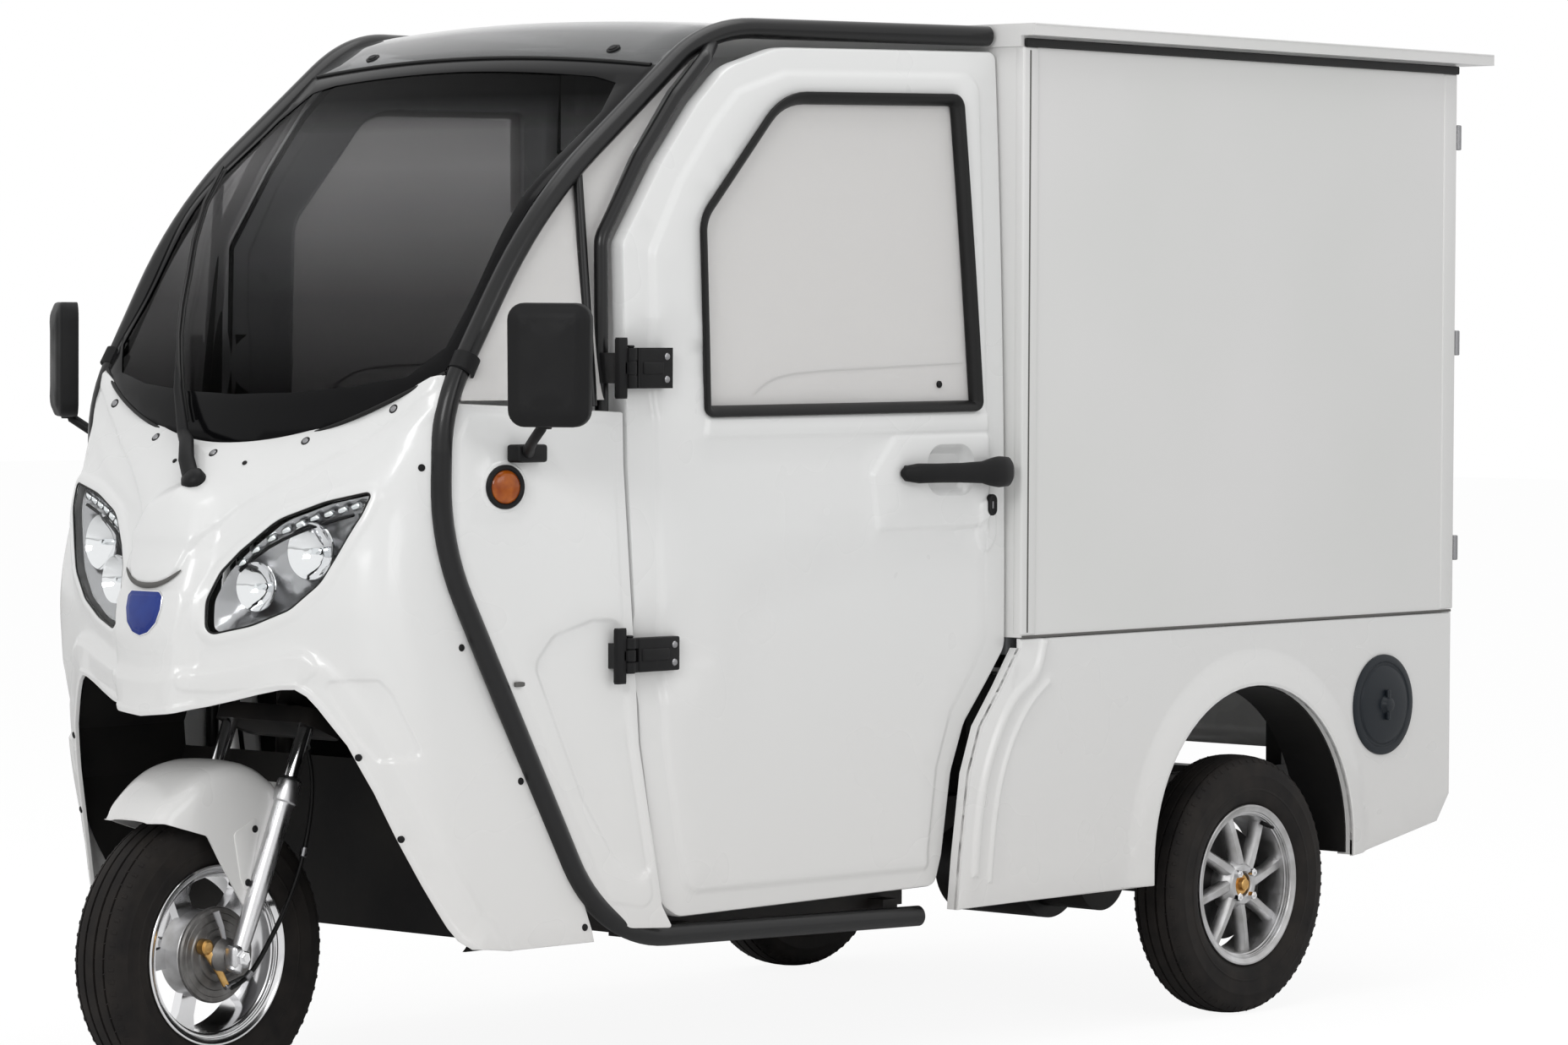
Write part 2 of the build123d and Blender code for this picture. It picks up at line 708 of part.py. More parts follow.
def hinge_stem(low, high, gap):
    """The foot that ties a hinge leaf through the door to its strap."""
    inside = door_side_x(-716, high, door_thickness + 3)
    outside = hinge_x
    return block(inside, outside, -722 - gap, -710 + gap, low + 14 - gap, high - 14 + gap)


def field_cutter():
    """What the sunk field takes off the door: deep at its upper edge and fading out below."""
    height = DOOR_FIELD[4][1] - field_fade_z
    skin = side_skin(-40, 0, side_toe_in, -900, 200)
    axis = Axis((door_side_x(0, 0, 0), 0, field_fade_z), (side_toe_in, 1, 0))
    tilted = skin.rotate(axis, -degrees(field_depth / height))
    return tilted & side_prism(DOOR_FIELD, 300, 700)


def cup_cutter():
    """The finger cup behind the handle: a rounded pocket."""
    y, z = cup_centre
    outside = door_side_x(y, z, -30)
    depth = 30 + cup_depth
    pocket = Plane.YZ.offset(outside - depth) * Pos(y, z) * RectangleRounded(*cup_size, 24)
    return extrude(pocket, amount=depth)


def door_shell():
    """Moulded door: a raised panel in a lower flange, with its window cut."""
    y0, y1 = -900, 200
    leaf = side_skin(0, door_thickness, side_toe_in, y0, y1) & door_outline(0)
    rim = side_skin(-5, flange_step, side_toe_in, y0, y1) & (door_outline(5) - door_outline(-door_flange))
    leaf = leaf - rim - field_cutter()
    leaf += side_skin(-pad_proud, 2, side_toe_in, y0, y1) & side_prism(HANDLE_PAD, 300, 700)
    for low, high, _ in HINGES:
        leaf -= hinge_stem(low, high, seat_gap)
    return leaf - cup_cutter() - window_prism(0)


shell = door_shell()
save_pair(shell.solids().sort_by(SortBy.VOLUME)[-1], "door_shell")
pane = side_skin(12, 12 + glass_thickness, side_toe_in, -900, 200) & window_prism(-seat_gap)
save_pair(pane.solids().sort_by(SortBy.VOLUME)[-1], "door_glass")


def door_handle():
    """A bowed grip on two feet, slim in front and deep behind, with room for fingers."""
    turn = degrees(side_toe_in)
    plan = [(-out, y) for y, out in HANDLE]
    bow = extrude(Plane.XY * make_face(Polyline(*plan, close=True)), amount=60, both=True)
    front_y, rear_y = HANDLE[1][0] - 2, HANDLE[6][0] + 2
    front, rear = handle_front_half, handle_rear_half
    height = [(front_y, -front), (-40, -front), (30, -rear), (rear_y, -rear + 6),
              (rear_y, rear - 6), (30, rear), (-40, front), (front_y, front)]
    grip = mirror(bow, Plane.YZ) & side_prism(height, -5, 60)
    grip = fillet(grip.edges().filter_by(lambda e: e.center().X > 30), 5)
    out = door_side_x(0, handle_z, -pad_proud) + seat_gap
    return Pos(out, 0, handle_z) * Rot(0, 0, -turn) * grip


save_pair(door_handle(), "door_handle")


def door_hinges():
    """Upper and lower hinge leaves on one strap behind the door's front flange."""
    strap = side_skin(door_thickness + seat_gap, door_thickness + 5, side_toe_in, -900, 200)
    strap = strap & side_prism([(-728, 650), (-700, 650), (-712, 1200), (-742, 1200)], 300, 700)
    x, y = hinge_x, hinge_y
    for low, high, reach in HINGES:
        third = (high - low) / 3
        outside = door_side_x(y + reach, low, -seat_gap)
        leaf = block(outside, x + 5, y + knuckle_radius + 3, y + reach, low, high)
        strap += leaf + hinge_stem(low, high, 0)
        for z0, z1 in ((low, low + third), (high - third, high)):
            ear = rod((x, y, z0), (x, y, z1), knuckle_radius)
            ear += block(x - 5, x + 3, y, y + knuckle_radius + 4, z0, z1)
            strap += ear
        strap -= rod((x, y, low - 5), (x, y, high + 5), hinge_pin_radius + running_fit)
    return strap


hinges = door_hinges()
save_pair(hinges.solids().sort_by(SortBy.VOLUME)[-1], "door_hinges")


# Cowl sides and quarter windows

def cowl_side():
    """White panel between the roll tube and the door, with a sunk field low down."""
    panel = cowl_skin(0, panel_thickness) & side_prism(COWL, 300, 700)
    panel -= cowl_skin(-5, cowl_field_depth) & side_prism(COWL_FIELD, 300, 700)
    for low, high, _ in HINGES:
        panel -= block(hinge_x - 40, hinge_x + 20, hinge_y - 32, hinge_y + 20, low - 20, high + 20)
    spot = Plane.YZ.offset(300) * Pos(indicator_y, indicator_z)
    panel += cowl_skin(-9, 2) & extrude(spot * Circle(indicator_radius), amount=400)
    return panel - tube_cutter


cowl = cowl_side()
save_pair(cowl.solids().sort_by(SortBy.VOLUME)[-1], "cowl_side")

def quarter_window():
    """Clear side pane ahead of the door, from the roll tube back to the door's pillar."""
    foot = Vector(404, -1050, 1160)
    back = Vector(door_side_x(-790, 1100, 25), -790, 1100)
    top = Vector(416, -600, 1600)
    facing = (back - foot).cross(top - foot).normalized()
    if facing.X < 0:
        facing = facing * -1
    plane = Plane(origin=foot, z_dir=facing)
    sheet = extrude(plane * Rectangle(3000, 3000), amount=glass_thickness / 2, both=True)
    sheet = sheet & side_prism(QUARTER, 200, 700)
    for low, high, _ in HINGES:
        sheet -= hinge_root(low, high, seat_gap)
    return sheet - tube_cutter - pillar_tube(pillar_radius + seat_gap) - divider(divider_radius + seat_gap)


quarter = quarter_window()
save_pair(quarter.solids().sort_by(SortBy.VOLUME)[-1], "quarter_window")


# Load box

def cargo_side():
    """Flat outer wall of the load box."""
    return block(box_half - box_wall, box_half, box_front_y, box_rear_y - rear_door_thickness,
                 box_bottom_z, box_top_z)


def cargo_front():
    """Wall between the cab and the load box, with the cab's rear posts on its outer edges."""
    inner = box_half - box_wall
    wall = block(-inner, inner, box_front_y, box_front_y + box_wall, box_bottom_z, box_top_z)
    for side in (-1, 1):
        wall += block(side * (inner - 116), side * (inner - 80), box_front_y - 40, box_front_y,
                      box_bottom_z, box_top_z - 20)
    return wall


def cargo_roof():
    """Flat roof plate that overhangs the sides and the rear."""
    half = box_half + eave_side
    plate = block(-half, half, eave_front_y, eave_rear_y, box_top_z, box_top_z + roof_thickness)
    trench = block(-box_half + 20, box_half - 20, box_front_y + 30, box_rear_y - 40,
                   box_top_z + roof_thickness - 4, box_top_z + roof_thickness + 1)
    lower = block(-half - 1, half + 1, eave_front_y - 1, eave_rear_y + 1, box_top_z - 1,
                  box_top_z + roof_thickness - 20)
    lower -= block(-box_half, box_half, eave_front_y - 1, box_rear_y, box_top_z - 2,
                   box_top_z + roof_thickness)
    return plate - lower - trench


save_pair(cargo_side(), "cargo_side")
save(cargo_front(), "cargo_front")
save(cargo_roof(), "cargo_roof")
inner_half = box_half - skirt_return - 1
save(block(-inner_half, inner_half, box_front_y, box_rear_y - rear_door_thickness,
           box_bottom_z - floor_thickness, box_bottom_z), "cargo_floor")


# Rear doors of the load box, hinged at the outer edges

rear_hinge_y = box_rear_y + 8


def rear_door():
    """One rear leaf, which laps the box's side wall, with its hinge rings."""
    gap = moving_gap / 2
    y0 = box_rear_y - rear_door_thickness + seat_gap
    leaf = block(gap, box_half - 2, y0, box_rear_y, box_bottom_z + 6, box_top_z - 6)
    leaf -= block(60, box_half - 70, box_rear_y - 4, box_rear_y + 1, box_bottom_z + 90,
                  box_top_z - 90)
    x = box_half - 2
    for z in REAR_HINGES:
        leaf += block(x - 90, x, box_rear_y, box_rear_y + 5, z, z + 46)
        leaf += rod((x, rear_hinge_y, z), (x, rear_hinge_y, z + 46), 7)
    leaf += block(26, 60, box_rear_y, box_rear_y + 22, 1090, 1230)
    return leaf


save_pair(rear_door(), "rear_door")


# Skirts round the rear wheels

def arch_prism(radius, x0, x1):
    """The wheel arch: a half round over upright sides that run out below."""
    drop = 150.0
    outline = Pos(rear_axle_y, arch_centre_z) * Circle(radius)
    outline += Pos(rear_axle_y, arch_centre_z - drop / 2 - radius / 4) * Rectangle(
        2 * radius, drop + radius / 2)
    return extrude(Plane.YZ.offset(x0) * outline, amount=x1 - x0)


def skirt_rib():
    """A round rib on the skirt, along the door's lower rear edge."""
    points = [(box_half - 1, y, z) for y, z in SKIRT_RIB]
    path = Spline(*points)
    return sweep((path ^ 0) * Circle(rib_radius), path=path)


def skirt():
    """Rear side panel with a flared arch, open to the wheel, and its edges turned in."""
    outer = side_prism(SKIRT, box_half - skirt_return, box_half)
    face = Plane.YZ.offset(box_half - skirt_return - 1) * offset(
        make_face(Polyline(*SKIRT, close=True)), amount=-skirt_wall, kind=Kind.INTERSECTION)
    pocket = extrude(face, amount=skirt_return + 1 - skirt_wall)
    lip_x = box_half + arch_lip_proud
    lip = arch_prism(arch_radius + arch_lip_width, box_half - skirt_return, lip_x)
    lip -= arch_prism(arch_radius + arch_lip_width - skirt_wall, 0, box_half - skirt_wall)
    lip = lip & side_prism([(0, 262), (0, 900), (1384, 900), (1384, 262)], 0, 700)
    body = outer - pocket + lip + skirt_rib()
    return body - arch_prism(arch_radius, 0, 700)


def rear_liner():
    """Dark wheel liner behind the arch, down both sides of the wheel."""
    x0, x1 = 450.0, box_half - skirt_return - 1
    tub = arch_prism(arch_radius, x0, box_half - skirt_wall - seat_gap)
    tub -= arch_prism(arch_radius - liner_wall, x0 - 1, box_half)
    ends = block(0, 700, 300, 1200, -50, 268)
    return tub - ends


save_pair(skirt(), "skirt")
save_pair(rear_liner(), "rear_liner")
hatch_y, hatch_z = hatch_centre
hatch = Pos(0, hatch_y, hatch_z) * (x_disc(hatch_radius, box_half, box_half + 5)
                                    + x_disc(hatch_radius - 26, box_half + 5, box_half + 9)
                                    + x_disc(13, box_half + 9, box_half + 20))
save(hatch, "charging_hatch")


# Frame, floor, axle and battery

def rail(side):
    """One main rail, low under the cab and raised over the rear axle."""
    low, high = rail_low_z, rail_high_z
    depth = rail_depth
    outline = [
        (-840, low), (150, low), (300, high), (1350, high), (1350, high + depth),
        (280, high + depth), (130, low + depth), (-840, low + depth),
    ]
    half = rail_width / 2
    return side_prism(outline, side * rail_x - half, side * rail_x + half)


def chassis_frame():
    """Two rails with cross members, outriggers, door sills, box posts and the steering head."""
    frame = rail(-1) + rail(1)
    low, high = rail_low_z, rail_high_z
    for y, z in ((-840, low), (-420, low), (60, low), (420, high), (980, high), (1310, high)):
        frame += block(-rail_x, rail_x, y, y + 40, z, z + 30)
    for y in (-640, -140):
        reach = block(-480, 480, y, y + 36, low - 50, low - 24)
        reach += block(-rail_x - 40, rail_x + 40, y, y + 36, low - 24, low + 2)
        frame += reach - tube_cutters
    for side in (-1, 1):
        frame += block(side * sill_x[0], side * sill_x[1], *sill_y, *sill_z)
    top = box_bottom_z - floor_thickness
    for y in (330, 1260):
        frame += block(-500, 500, y, y + 40, top - 40, top)
        for side in (-1, 1):
            frame += block(side * rail_x - 18, side * rail_x + 18, y, y + 40, high + 40, top - 30)
    frame += rod(head_bottom, head_top, head_tube_radius)
    mid = along_steering(head_tube_start + 90, fork_offset)
    for side in (-1, 1):
        elbow = (side * 170, -885, 700)
        foot = (side * rail_x, -822, low + 20)
        frame += rod((0, mid[1], mid[2]), elbow, 15) + rod(elbow, foot, 15)
        frame += Pos(*elbow) * Sphere(15)
    return frame - rod(
        along_steering(head_tube_start - 40, fork_offset),
        along_steering(head_tube_start + head_tube_length + 40, fork_offset),
        steerer_radius + running_fit)


save(chassis_frame(), "chassis_frame")


def floor_pan():
    """Cab floor with the seat's box moulded up from it."""
    z = floor_z
    pan = block(-438, 438, -800, 60, z, z + 6)
    seat = block(-230, 230, -310, 60, z + 6, z + 236)
    return pan + seat - block(-222, 222, -302, 52, z - 1, z + 228)


save(floor_pan(), "floor_pan")
cushion = block(-225, 225, -330, 40, floor_z + 236 + seat_gap, floor_z + 316)
save(fillet(cushion.edges(), 24), "seat_cushion")
backrest = Pos(0, 45, 900) * Rot(-6, 0, 0) * Box(400, 70, 420)
save(fillet(backrest.edges(), 22), "seat_back")
battery = block(-200, 200, 360, 560, rail_high_z + 30, rail_high_z + 250)
save(battery, "battery_box")


def rear_axle():
    """Driven axle beam with its motor, brake back plates, wheel shafts and leaf springs."""
    y, z = rear_axle_y, tyre_radius
    hub_x = rear_track_half
    beam = rod((-hub_x + 64, y, z), (hub_x - 64, y, z), 30)
    beam += rod((-hub_x - 8, y, z), (hub_x + 8, y, z), axle_shaft_radius)
    beam += rod((-90, y, z), (110, y, z), 92) + rod((110, y, z), (230, y, z), 70)
    for side in (-1, 1):
        x = side * (hub_x - 64)
        beam += rod((x - side * 8, y, z), (x, y, z), 98)
        spring = side_prism([
            (y - 330, 336), (y - 330, 350), (y - 300, 350), (y - 40, 274), (y + 40, 274),
            (y + 300, 350), (y + 330, 350), (y + 330, 336), (y + 40, 252), (y - 40, 252),
        ], side * rail_x - 20, side * rail_x + 20)
        beam += spring + block(side * rail_x - 34, side * rail_x + 34, y - 40, y + 40, 250, 284)
    return beam


save(rear_axle(), "rear_axle")


# Tail, dash, wiper and mirrors

def tail_board():
    """Rear cross panel below the doors, with a lamp block at each end and a blank plate."""
    half = box_half - skirt_return
    board = block(-half, half, box_rear_y - 12, box_rear_y, 420, box_bottom_z - 6)
    for side in (-1, 1):
        board += block(side * 528, side * 462, box_rear_y, box_rear_y + 18, 440, 640)
    board += block(-150, 150, box_rear_y, box_rear_y + 4, 470, 600)
    return board


save(tail_board(), "tail_board")
dash = side_prism([(-1076, 985), (-1080, 900), (-1010, 860), (-975, 900), (-985, 960),
                   (-1030, 992)], -330, 330)
save(dash, "dash_panel")


def mirror_unit():
    """Door mirror: housing, stalk and foot on the roll tube."""
    case = Box(*MIRROR_CASE)
    case = fillet(case.edges().filter_by(Axis.Y), 26)
    case = Pos(mirror_x, mirror_y, mirror_z) * Rot(0, 0, mirror_yaw_deg) * case
    stalk = rod((mirror_x - 10, mirror_y, mirror_z - 60), (mirror_x - 60, mirror_y + 26, 1040), 9)
    arm = rod((mirror_x - 60, mirror_y + 26, 1040), (452, -960, 1018), 9)
    foot = block(430, 462, -990, -925, 1006, 1036)
    return (case + stalk + arm + foot) - cowl_skin(-seat_gap, 60) - tube_cutter


unit = mirror_unit()
save_pair(unit.solids().sort_by(SortBy.VOLUME)[-1], "mirror")
wiper = rod((0, -1225, 955), (0, -1262, 985), 12)
wiper += rod((0, -1254, 978), (-110, -1178, 1075), 6)
wiper += rod((-110, -1180, 1073), (-366, -905, 1436), 5)
wiper = wiper - nose - Pos(0, 0, seat_gap) * windscreen
save(wiper.solids().sort_by(SortBy.VOLUME)[-1], "wiper")
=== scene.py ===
# %% [markdown]
# # A small electric delivery tricycle in a white studio
# The vehicle has one steered wheel in front, a cab with two doors and a tall load box behind.
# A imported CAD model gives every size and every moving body. This lesson dresses it: moulded
# body panels, real wheels, clear lamps, rubber seals and paint, all made from code.
# Lengths are metres. +X is the vehicle's left side, -Y is its front and z = 0 is the ground.

# %% Load the frame
import math
import bpy
import bmesh
import numpy as np
from mathutils import Matrix, Vector
from mathutils.geometry import delaunay_2d_cdt


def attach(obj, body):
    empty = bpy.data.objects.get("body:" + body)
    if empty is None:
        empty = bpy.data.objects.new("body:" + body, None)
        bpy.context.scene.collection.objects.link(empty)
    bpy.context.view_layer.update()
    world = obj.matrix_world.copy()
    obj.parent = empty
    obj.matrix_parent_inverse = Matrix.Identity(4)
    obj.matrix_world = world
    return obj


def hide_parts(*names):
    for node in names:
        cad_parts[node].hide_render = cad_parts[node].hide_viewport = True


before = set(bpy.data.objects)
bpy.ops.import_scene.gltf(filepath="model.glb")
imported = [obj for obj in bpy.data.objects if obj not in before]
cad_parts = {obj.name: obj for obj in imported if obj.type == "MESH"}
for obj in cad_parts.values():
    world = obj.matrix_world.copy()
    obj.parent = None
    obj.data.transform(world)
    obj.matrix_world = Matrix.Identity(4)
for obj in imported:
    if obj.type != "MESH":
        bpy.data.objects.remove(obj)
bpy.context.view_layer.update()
MM = 0.001

# %% [markdown]
# ## The camera comes first
# Straight edges in the photograph gave the place of the camera: nine and a half metres from
# the middle of the vehicle, at chest height, with a long lens. A camera looks down its own -Z
# axis, so its matrix is built from three directions: right, up, and the reverse of its view.

# %% Camera
camera_place = Vector((6.3766, -7.0657, 1.2233))
turn, pitch, roll = (math.radians(v) for v in (41.4698, 2.0787, 0.2728))
ahead = Vector((-math.sin(turn) * math.cos(pitch), math.cos(turn) * math.cos(pitch), -math.sin(pitch)))
level_right = Vector((math.cos(turn), math.sin(turn), 0.0))
level_up = level_right.cross(ahead)
right = level_right * math.cos(roll) + level_up * math.sin(roll)
up = level_up * math.cos(roll) - level_right * math.sin(roll)
camera_data = bpy.data.cameras.new("studio_camera")
camera_data.lens = 125.96
camera_data.sensor_width = 36.0
camera_data.clip_end = 100.0
camera = bpy.data.objects.new("studio_camera", camera_data)
bpy.context.collection.objects.link(camera)
camera.matrix_world = Matrix.Translation(camera_place) @ Matrix((right, up, -ahead)).transposed().to_4x4()
bpy.context.scene.camera = camera
print("camera at", [round(v, 3) for v in camera.location], "lens", camera_data.lens)

# %% [markdown]
# ## Light and floor
# The photograph has a plain white background and soft light from the front left. The white
# comes from what the camera sees directly, not from more light on the object: the Light Path
# node gives full white to camera, glossy and transmission rays only.

# %% World, lamps and floor
def white_to_camera(nodes, links, plain_strength, seen_strength=1.0):
    """A background or emission colour that is pure white only to rays that see it directly."""
    path = nodes.new("ShaderNodeLightPath")
    seen = nodes.new("ShaderNodeMath")
    seen.operation = "MAXIMUM"
    links.new(path.outputs["Is Camera Ray"], seen.inputs[0])
    links.new(path.outputs["Is Transmission Ray"], seen.inputs[1])
    seen_or_glossy = nodes.new("ShaderNodeMath")
    seen_or_glossy.operation = "MAXIMUM"
    links.new(seen.outputs[0], seen_or_glossy.inputs[0])
    links.new(path.outputs["Is Glossy Ray"], seen_or_glossy.inputs[1])
    strength = nodes.new("ShaderNodeMapRange")
    strength.inputs["To Min"].default_value = plain_strength
    strength.inputs["To Max"].default_value = seen_strength
    links.new(seen_or_glossy.outputs[0], strength.inputs["Value"])
    return strength.outputs[0]


scene = bpy.context.scene
scene.view_settings.view_transform = "Standard"
world = bpy.data.worlds.new("studio")
scene.world = world
world.use_nodes = True
world_nodes, world_links = world.node_tree.nodes, world.node_tree.links
background = world_nodes["Background"]
background.inputs["Color"].default_value = (1.0, 1.0, 1.0, 1.0)
world_links.new(white_to_camera(world_nodes, world_links, 0.55), background.inputs["Strength"])


def soft_lamp(name, place, aim, width, height, power):
    """A rectangular studio lamp that faces a point."""
    data = bpy.data.lights.new(name, "AREA")
    data.shape = "RECTANGLE"
    data.size, data.size_y, data.energy = width, height, power
    lamp = bpy.data.objects.new(name, data)
    bpy.context.collection.objects.link(lamp)
    lamp.location = place
    lamp.rotation_euler = (Vector(aim) - Vector(place)).to_track_quat("-Z", "Y").to_euler()
    return lamp


soft_lamp("key_lamp", (2.6, -6.5, 3.6), (0.0, -0.8, 0.8), 2.6, 1.8, 108)
soft_lamp("side_lamp", (7.0, -1.0, 3.0), (0.4, 0.3, 0.9), 3.0, 2.0, 40)
soft_lamp("top_lamp", (0.5, 0.0, 5.0), (0.0, 0.0, 1.0), 3.5, 3.5, 62)
floor_mesh = bpy.data.meshes.new("floor")
reach = 30.0
floor_mesh.from_pydata([(-reach, -reach, 0), (reach, -reach, 0), (reach, reach, 0), (-reach, reach, 0)],
                       [], [(0, 1, 2, 3)])
floor = bpy.data.objects.new("floor", floor_mesh)
bpy.context.collection.objects.link(floor)

# %% [markdown]
# A pale floor would be grey near the horizon. Here the floor is a mix: what falls on it is
# kept as a faint shadow, and the rest is the same white as the background.

# %% Floor finish
floor_paint = bpy.data.materials.new("studio_floor")
floor_paint.use_nodes = True
nodes, links = floor_paint.node_tree.nodes, floor_paint.node_tree.links
nodes.clear()
diffuse = nodes.new("ShaderNodeBsdfDiffuse")
diffuse.inputs["Color"].default_value = (0.93, 0.93, 0.93, 1.0)
glow = nodes.new("ShaderNodeEmission")
links.new(white_to_camera(nodes, links, 0.0, 1.06), glow.inputs["Strength"])
glow_mix = nodes.new("ShaderNodeMixShader")
glow_mix.inputs["Fac"].default_value = 0.86
links.new(diffuse.outputs[0], glow_mix.inputs[1])
links.new(glow.outputs[0], glow_mix.inputs[2])
plain_path = nodes.new("ShaderNodeLightPath")
floor_mix = nodes.new("ShaderNodeMixShader")
links.new(plain_path.outputs["Is Camera Ray"], floor_mix.inputs["Fac"])
links.new(diffuse.outputs[0], floor_mix.inputs[1])
links.new(glow_mix.outputs[0], floor_mix.inputs[2])
output = nodes.new("ShaderNodeOutputMaterial")
links.new(floor_mix.outputs[0], output.inputs["Surface"])
floor_mesh.materials.append(floor_paint)
print("floor finish:", floor_paint.name)

# %% [markdown]
# ## Finishes
# Each finish is a Principled shader with a few nodes in front of it. Noise on Object
# coordinates gives the small changes that every real surface has: a faint ripple in moulded
# panels, grain in black plastic and pores in cast metal. The body paint also darkens near the ground.

# %% Helpers for finishes
def finish(name, colour, roughness, metallic=0.0, **sockets):
    """A named material. Extra sockets are given with underscores for spaces."""
    material = bpy.data.materials.new(name)
    material.use_nodes = True
    shader = material.node_tree.nodes["Principled BSDF"]
    shader.inputs["Base Color"].default_value = (*colour, 1.0)
    shader.inputs["Roughness"].default_value = roughness
    shader.inputs["Metallic"].default_value = metallic
    for socket, value in sockets.items():
        shader.inputs[socket.replace("_", " ")].default_value = value
    return material


def noise(material, scale, detail=3.0, stretch=(1, 1, 1)):
    """A noise texture on the piece's own Object coordinates."""
    nodes, links = material.node_tree.nodes, material.node_tree.links
    place = nodes.new("ShaderNodeTexCoord")
    mapping = nodes.new("ShaderNodeMapping")
    mapping.inputs["Scale"].default_value = stretch
    links.new(place.outputs["Object"], mapping.inputs["Vector"])
    texture = nodes.new("ShaderNodeTexNoise")
    texture.inputs["Scale"].default_value = scale
    texture.inputs["Detail"].default_value = detail
    links.new(mapping.outputs["Vector"], texture.inputs["Vector"])
    return texture.outputs["Fac"]


def ranged(material, value, low, high, start=0.3, end=0.7):
    """A value moved into the range from low to high."""
    node = material.node_tree.nodes.new("ShaderNodeMapRange")
    node.inputs["From Min"].default_value = start
    node.inputs["From Max"].default_value = end
    node.inputs["To Min"].default_value = low
    node.inputs["To Max"].default_value = high
    material.node_tree.links.new(value, node.inputs["Value"])
    return node.outputs["Result"]


def two_tone(material, factor, first, second):
    """Mixes the base colour from two colours."""
    nodes, links = material.node_tree.nodes, material.node_tree.links
    mix = nodes.new("ShaderNodeMix")
    mix.data_type = "RGBA"
    mix.inputs["A"].default_value = (*first, 1.0)
    mix.inputs["B"].default_value = (*second, 1.0)
    links.new(factor, mix.inputs["Factor"])
    links.new(mix.outputs["Result"], nodes["Principled BSDF"].inputs["Base Color"])


def rough_from(material, value):
    """Drives the roughness from a value."""
    material.node_tree.links.new(value, material.node_tree.nodes["Principled BSDF"].inputs["Roughness"])


def bump(material, value, strength, distance):
    """Gives the surface a small relief."""
    nodes, links = material.node_tree.nodes, material.node_tree.links
    node = nodes.new("ShaderNodeBump")
    node.inputs["Strength"].default_value = strength
    node.inputs["Distance"].default_value = distance
    links.new(value, node.inputs["Height"])
    links.new(node.outputs["Normal"], nodes["Principled BSDF"].inputs["Normal"])


def mottle(material, texture, dark, light):
    """Two tones mixed by noise; texture holds its scale, detail and stretch."""
    two_tone(material, ranged(material, noise(material, *texture), 0.0, 1.0), dark, light)


def grain(material, texture, strength, distance):
    """A fine relief made by noise."""
    bump(material, noise(material, *texture), strength, distance)


def wear(material, texture, low, high):
    """A roughness that noise moves between two values."""
    rough_from(material, ranged(material, noise(material, *texture), low, high))


def height_above_floor(material, low, high):
    """0 near the floor and 1 above, from the piece's own height."""
    nodes, links = material.node_tree.nodes, material.node_tree.links
    place = nodes.new("ShaderNodeTexCoord")
    split = nodes.new("ShaderNodeSeparateXYZ")
    links.new(place.outputs["Object"], split.inputs["Vector"])
    return ranged(material, split.outputs["Z"], 0.0, 1.0, low, high)


# %% [markdown]
# The white body is glass-fibre with a gloss gel coat. It ripples very slightly, and its colour
# is a little darker and warmer near the bottom.

# %% Body paint
white_coat = finish("white_gel_coat", (0.80, 0.805, 0.80), 0.28, Coat_Weight=0.35, Coat_Roughness=0.08)
# colour darker and warmer towards the bottom, by height above the floor
low_darkening = height_above_floor(white_coat, 0.15, 0.9)
two_tone(white_coat, low_darkening, (0.755, 0.745, 0.73), (0.815, 0.82, 0.815))
grain(white_coat, (6.0, 1.0), 0.06, 0.004)
wear(white_coat, (5.0, 2.0), 0.26, 0.31)

box_coat = finish("box_sheet_paint", (0.77, 0.775, 0.765), 0.42, Coat_Weight=0.15, Coat_Roughness=0.2)
mottle(box_coat, (1.6, 2.0), (0.745, 0.75, 0.735), (0.785, 0.78, 0.775))
grain(box_coat, (3.0, 2.0), 0.12, 0.006)
print("paints:", white_coat.name, box_coat.name)

# %% [markdown]
# Black parts are of three kinds: the smooth painted tube, grained plastic and dull rubber.
# They differ in roughness and in the size of their grain, which the eye reads at once.

# %% Black finishes
tube_paint = finish("black_tube_paint", (0.007, 0.007, 0.0075), 0.3, Specular_IOR_Level=0.3,
                    Coat_Weight=0.15, Coat_Roughness=0.1)
grain(tube_paint, (240.0, 2.0), 0.06, 0.0006)
black_plastic = finish("grained_black_plastic", (0.008, 0.008, 0.0085), 0.5, Specular_IOR_Level=0.18)
grain(black_plastic, (900.0, 2.0), 0.25, 0.0005)
wear(black_plastic, (14.0, 3.0), 0.42, 0.6)
seal_rubber = finish("seal_rubber", (0.007, 0.007, 0.007), 0.45, Specular_IOR_Level=0.25)
grain(seal_rubber, (300.0, 2.0, (1, 1, 0.2)), 0.15, 0.0005)
liner_plastic = finish("wheel_well_plastic", (0.016, 0.016, 0.017), 0.62, Specular_IOR_Level=0.2)
mottle(liner_plastic, (7.0, 5.0), (0.006, 0.006, 0.0065), (0.013, 0.012, 0.011))
grain(liner_plastic, (160.0, 3.0), 0.3, 0.0008)
tyre_rubber = finish("tyre_rubber", (0.022, 0.020, 0.019), 0.72, Specular_IOR_Level=0.2)
mottle(tyre_rubber, (22.0, 6.0), (0.009, 0.008, 0.008), (0.020, 0.017, 0.015))
grain(tyre_rubber, (420.0, 3.0), 0.25, 0.0006)
chassis_paint = finish("chassis_paint", (0.018, 0.018, 0.02), 0.5, Specular_IOR_Level=0.3)
mottle(chassis_paint, (12.0, 5.0), (0.008, 0.008, 0.009), (0.024, 0.021, 0.019))
grain(chassis_paint, (90.0, 3.0), 0.2, 0.0008)
print("black finishes:", tube_paint.name, black_plastic.name, tyre_rubber.name)

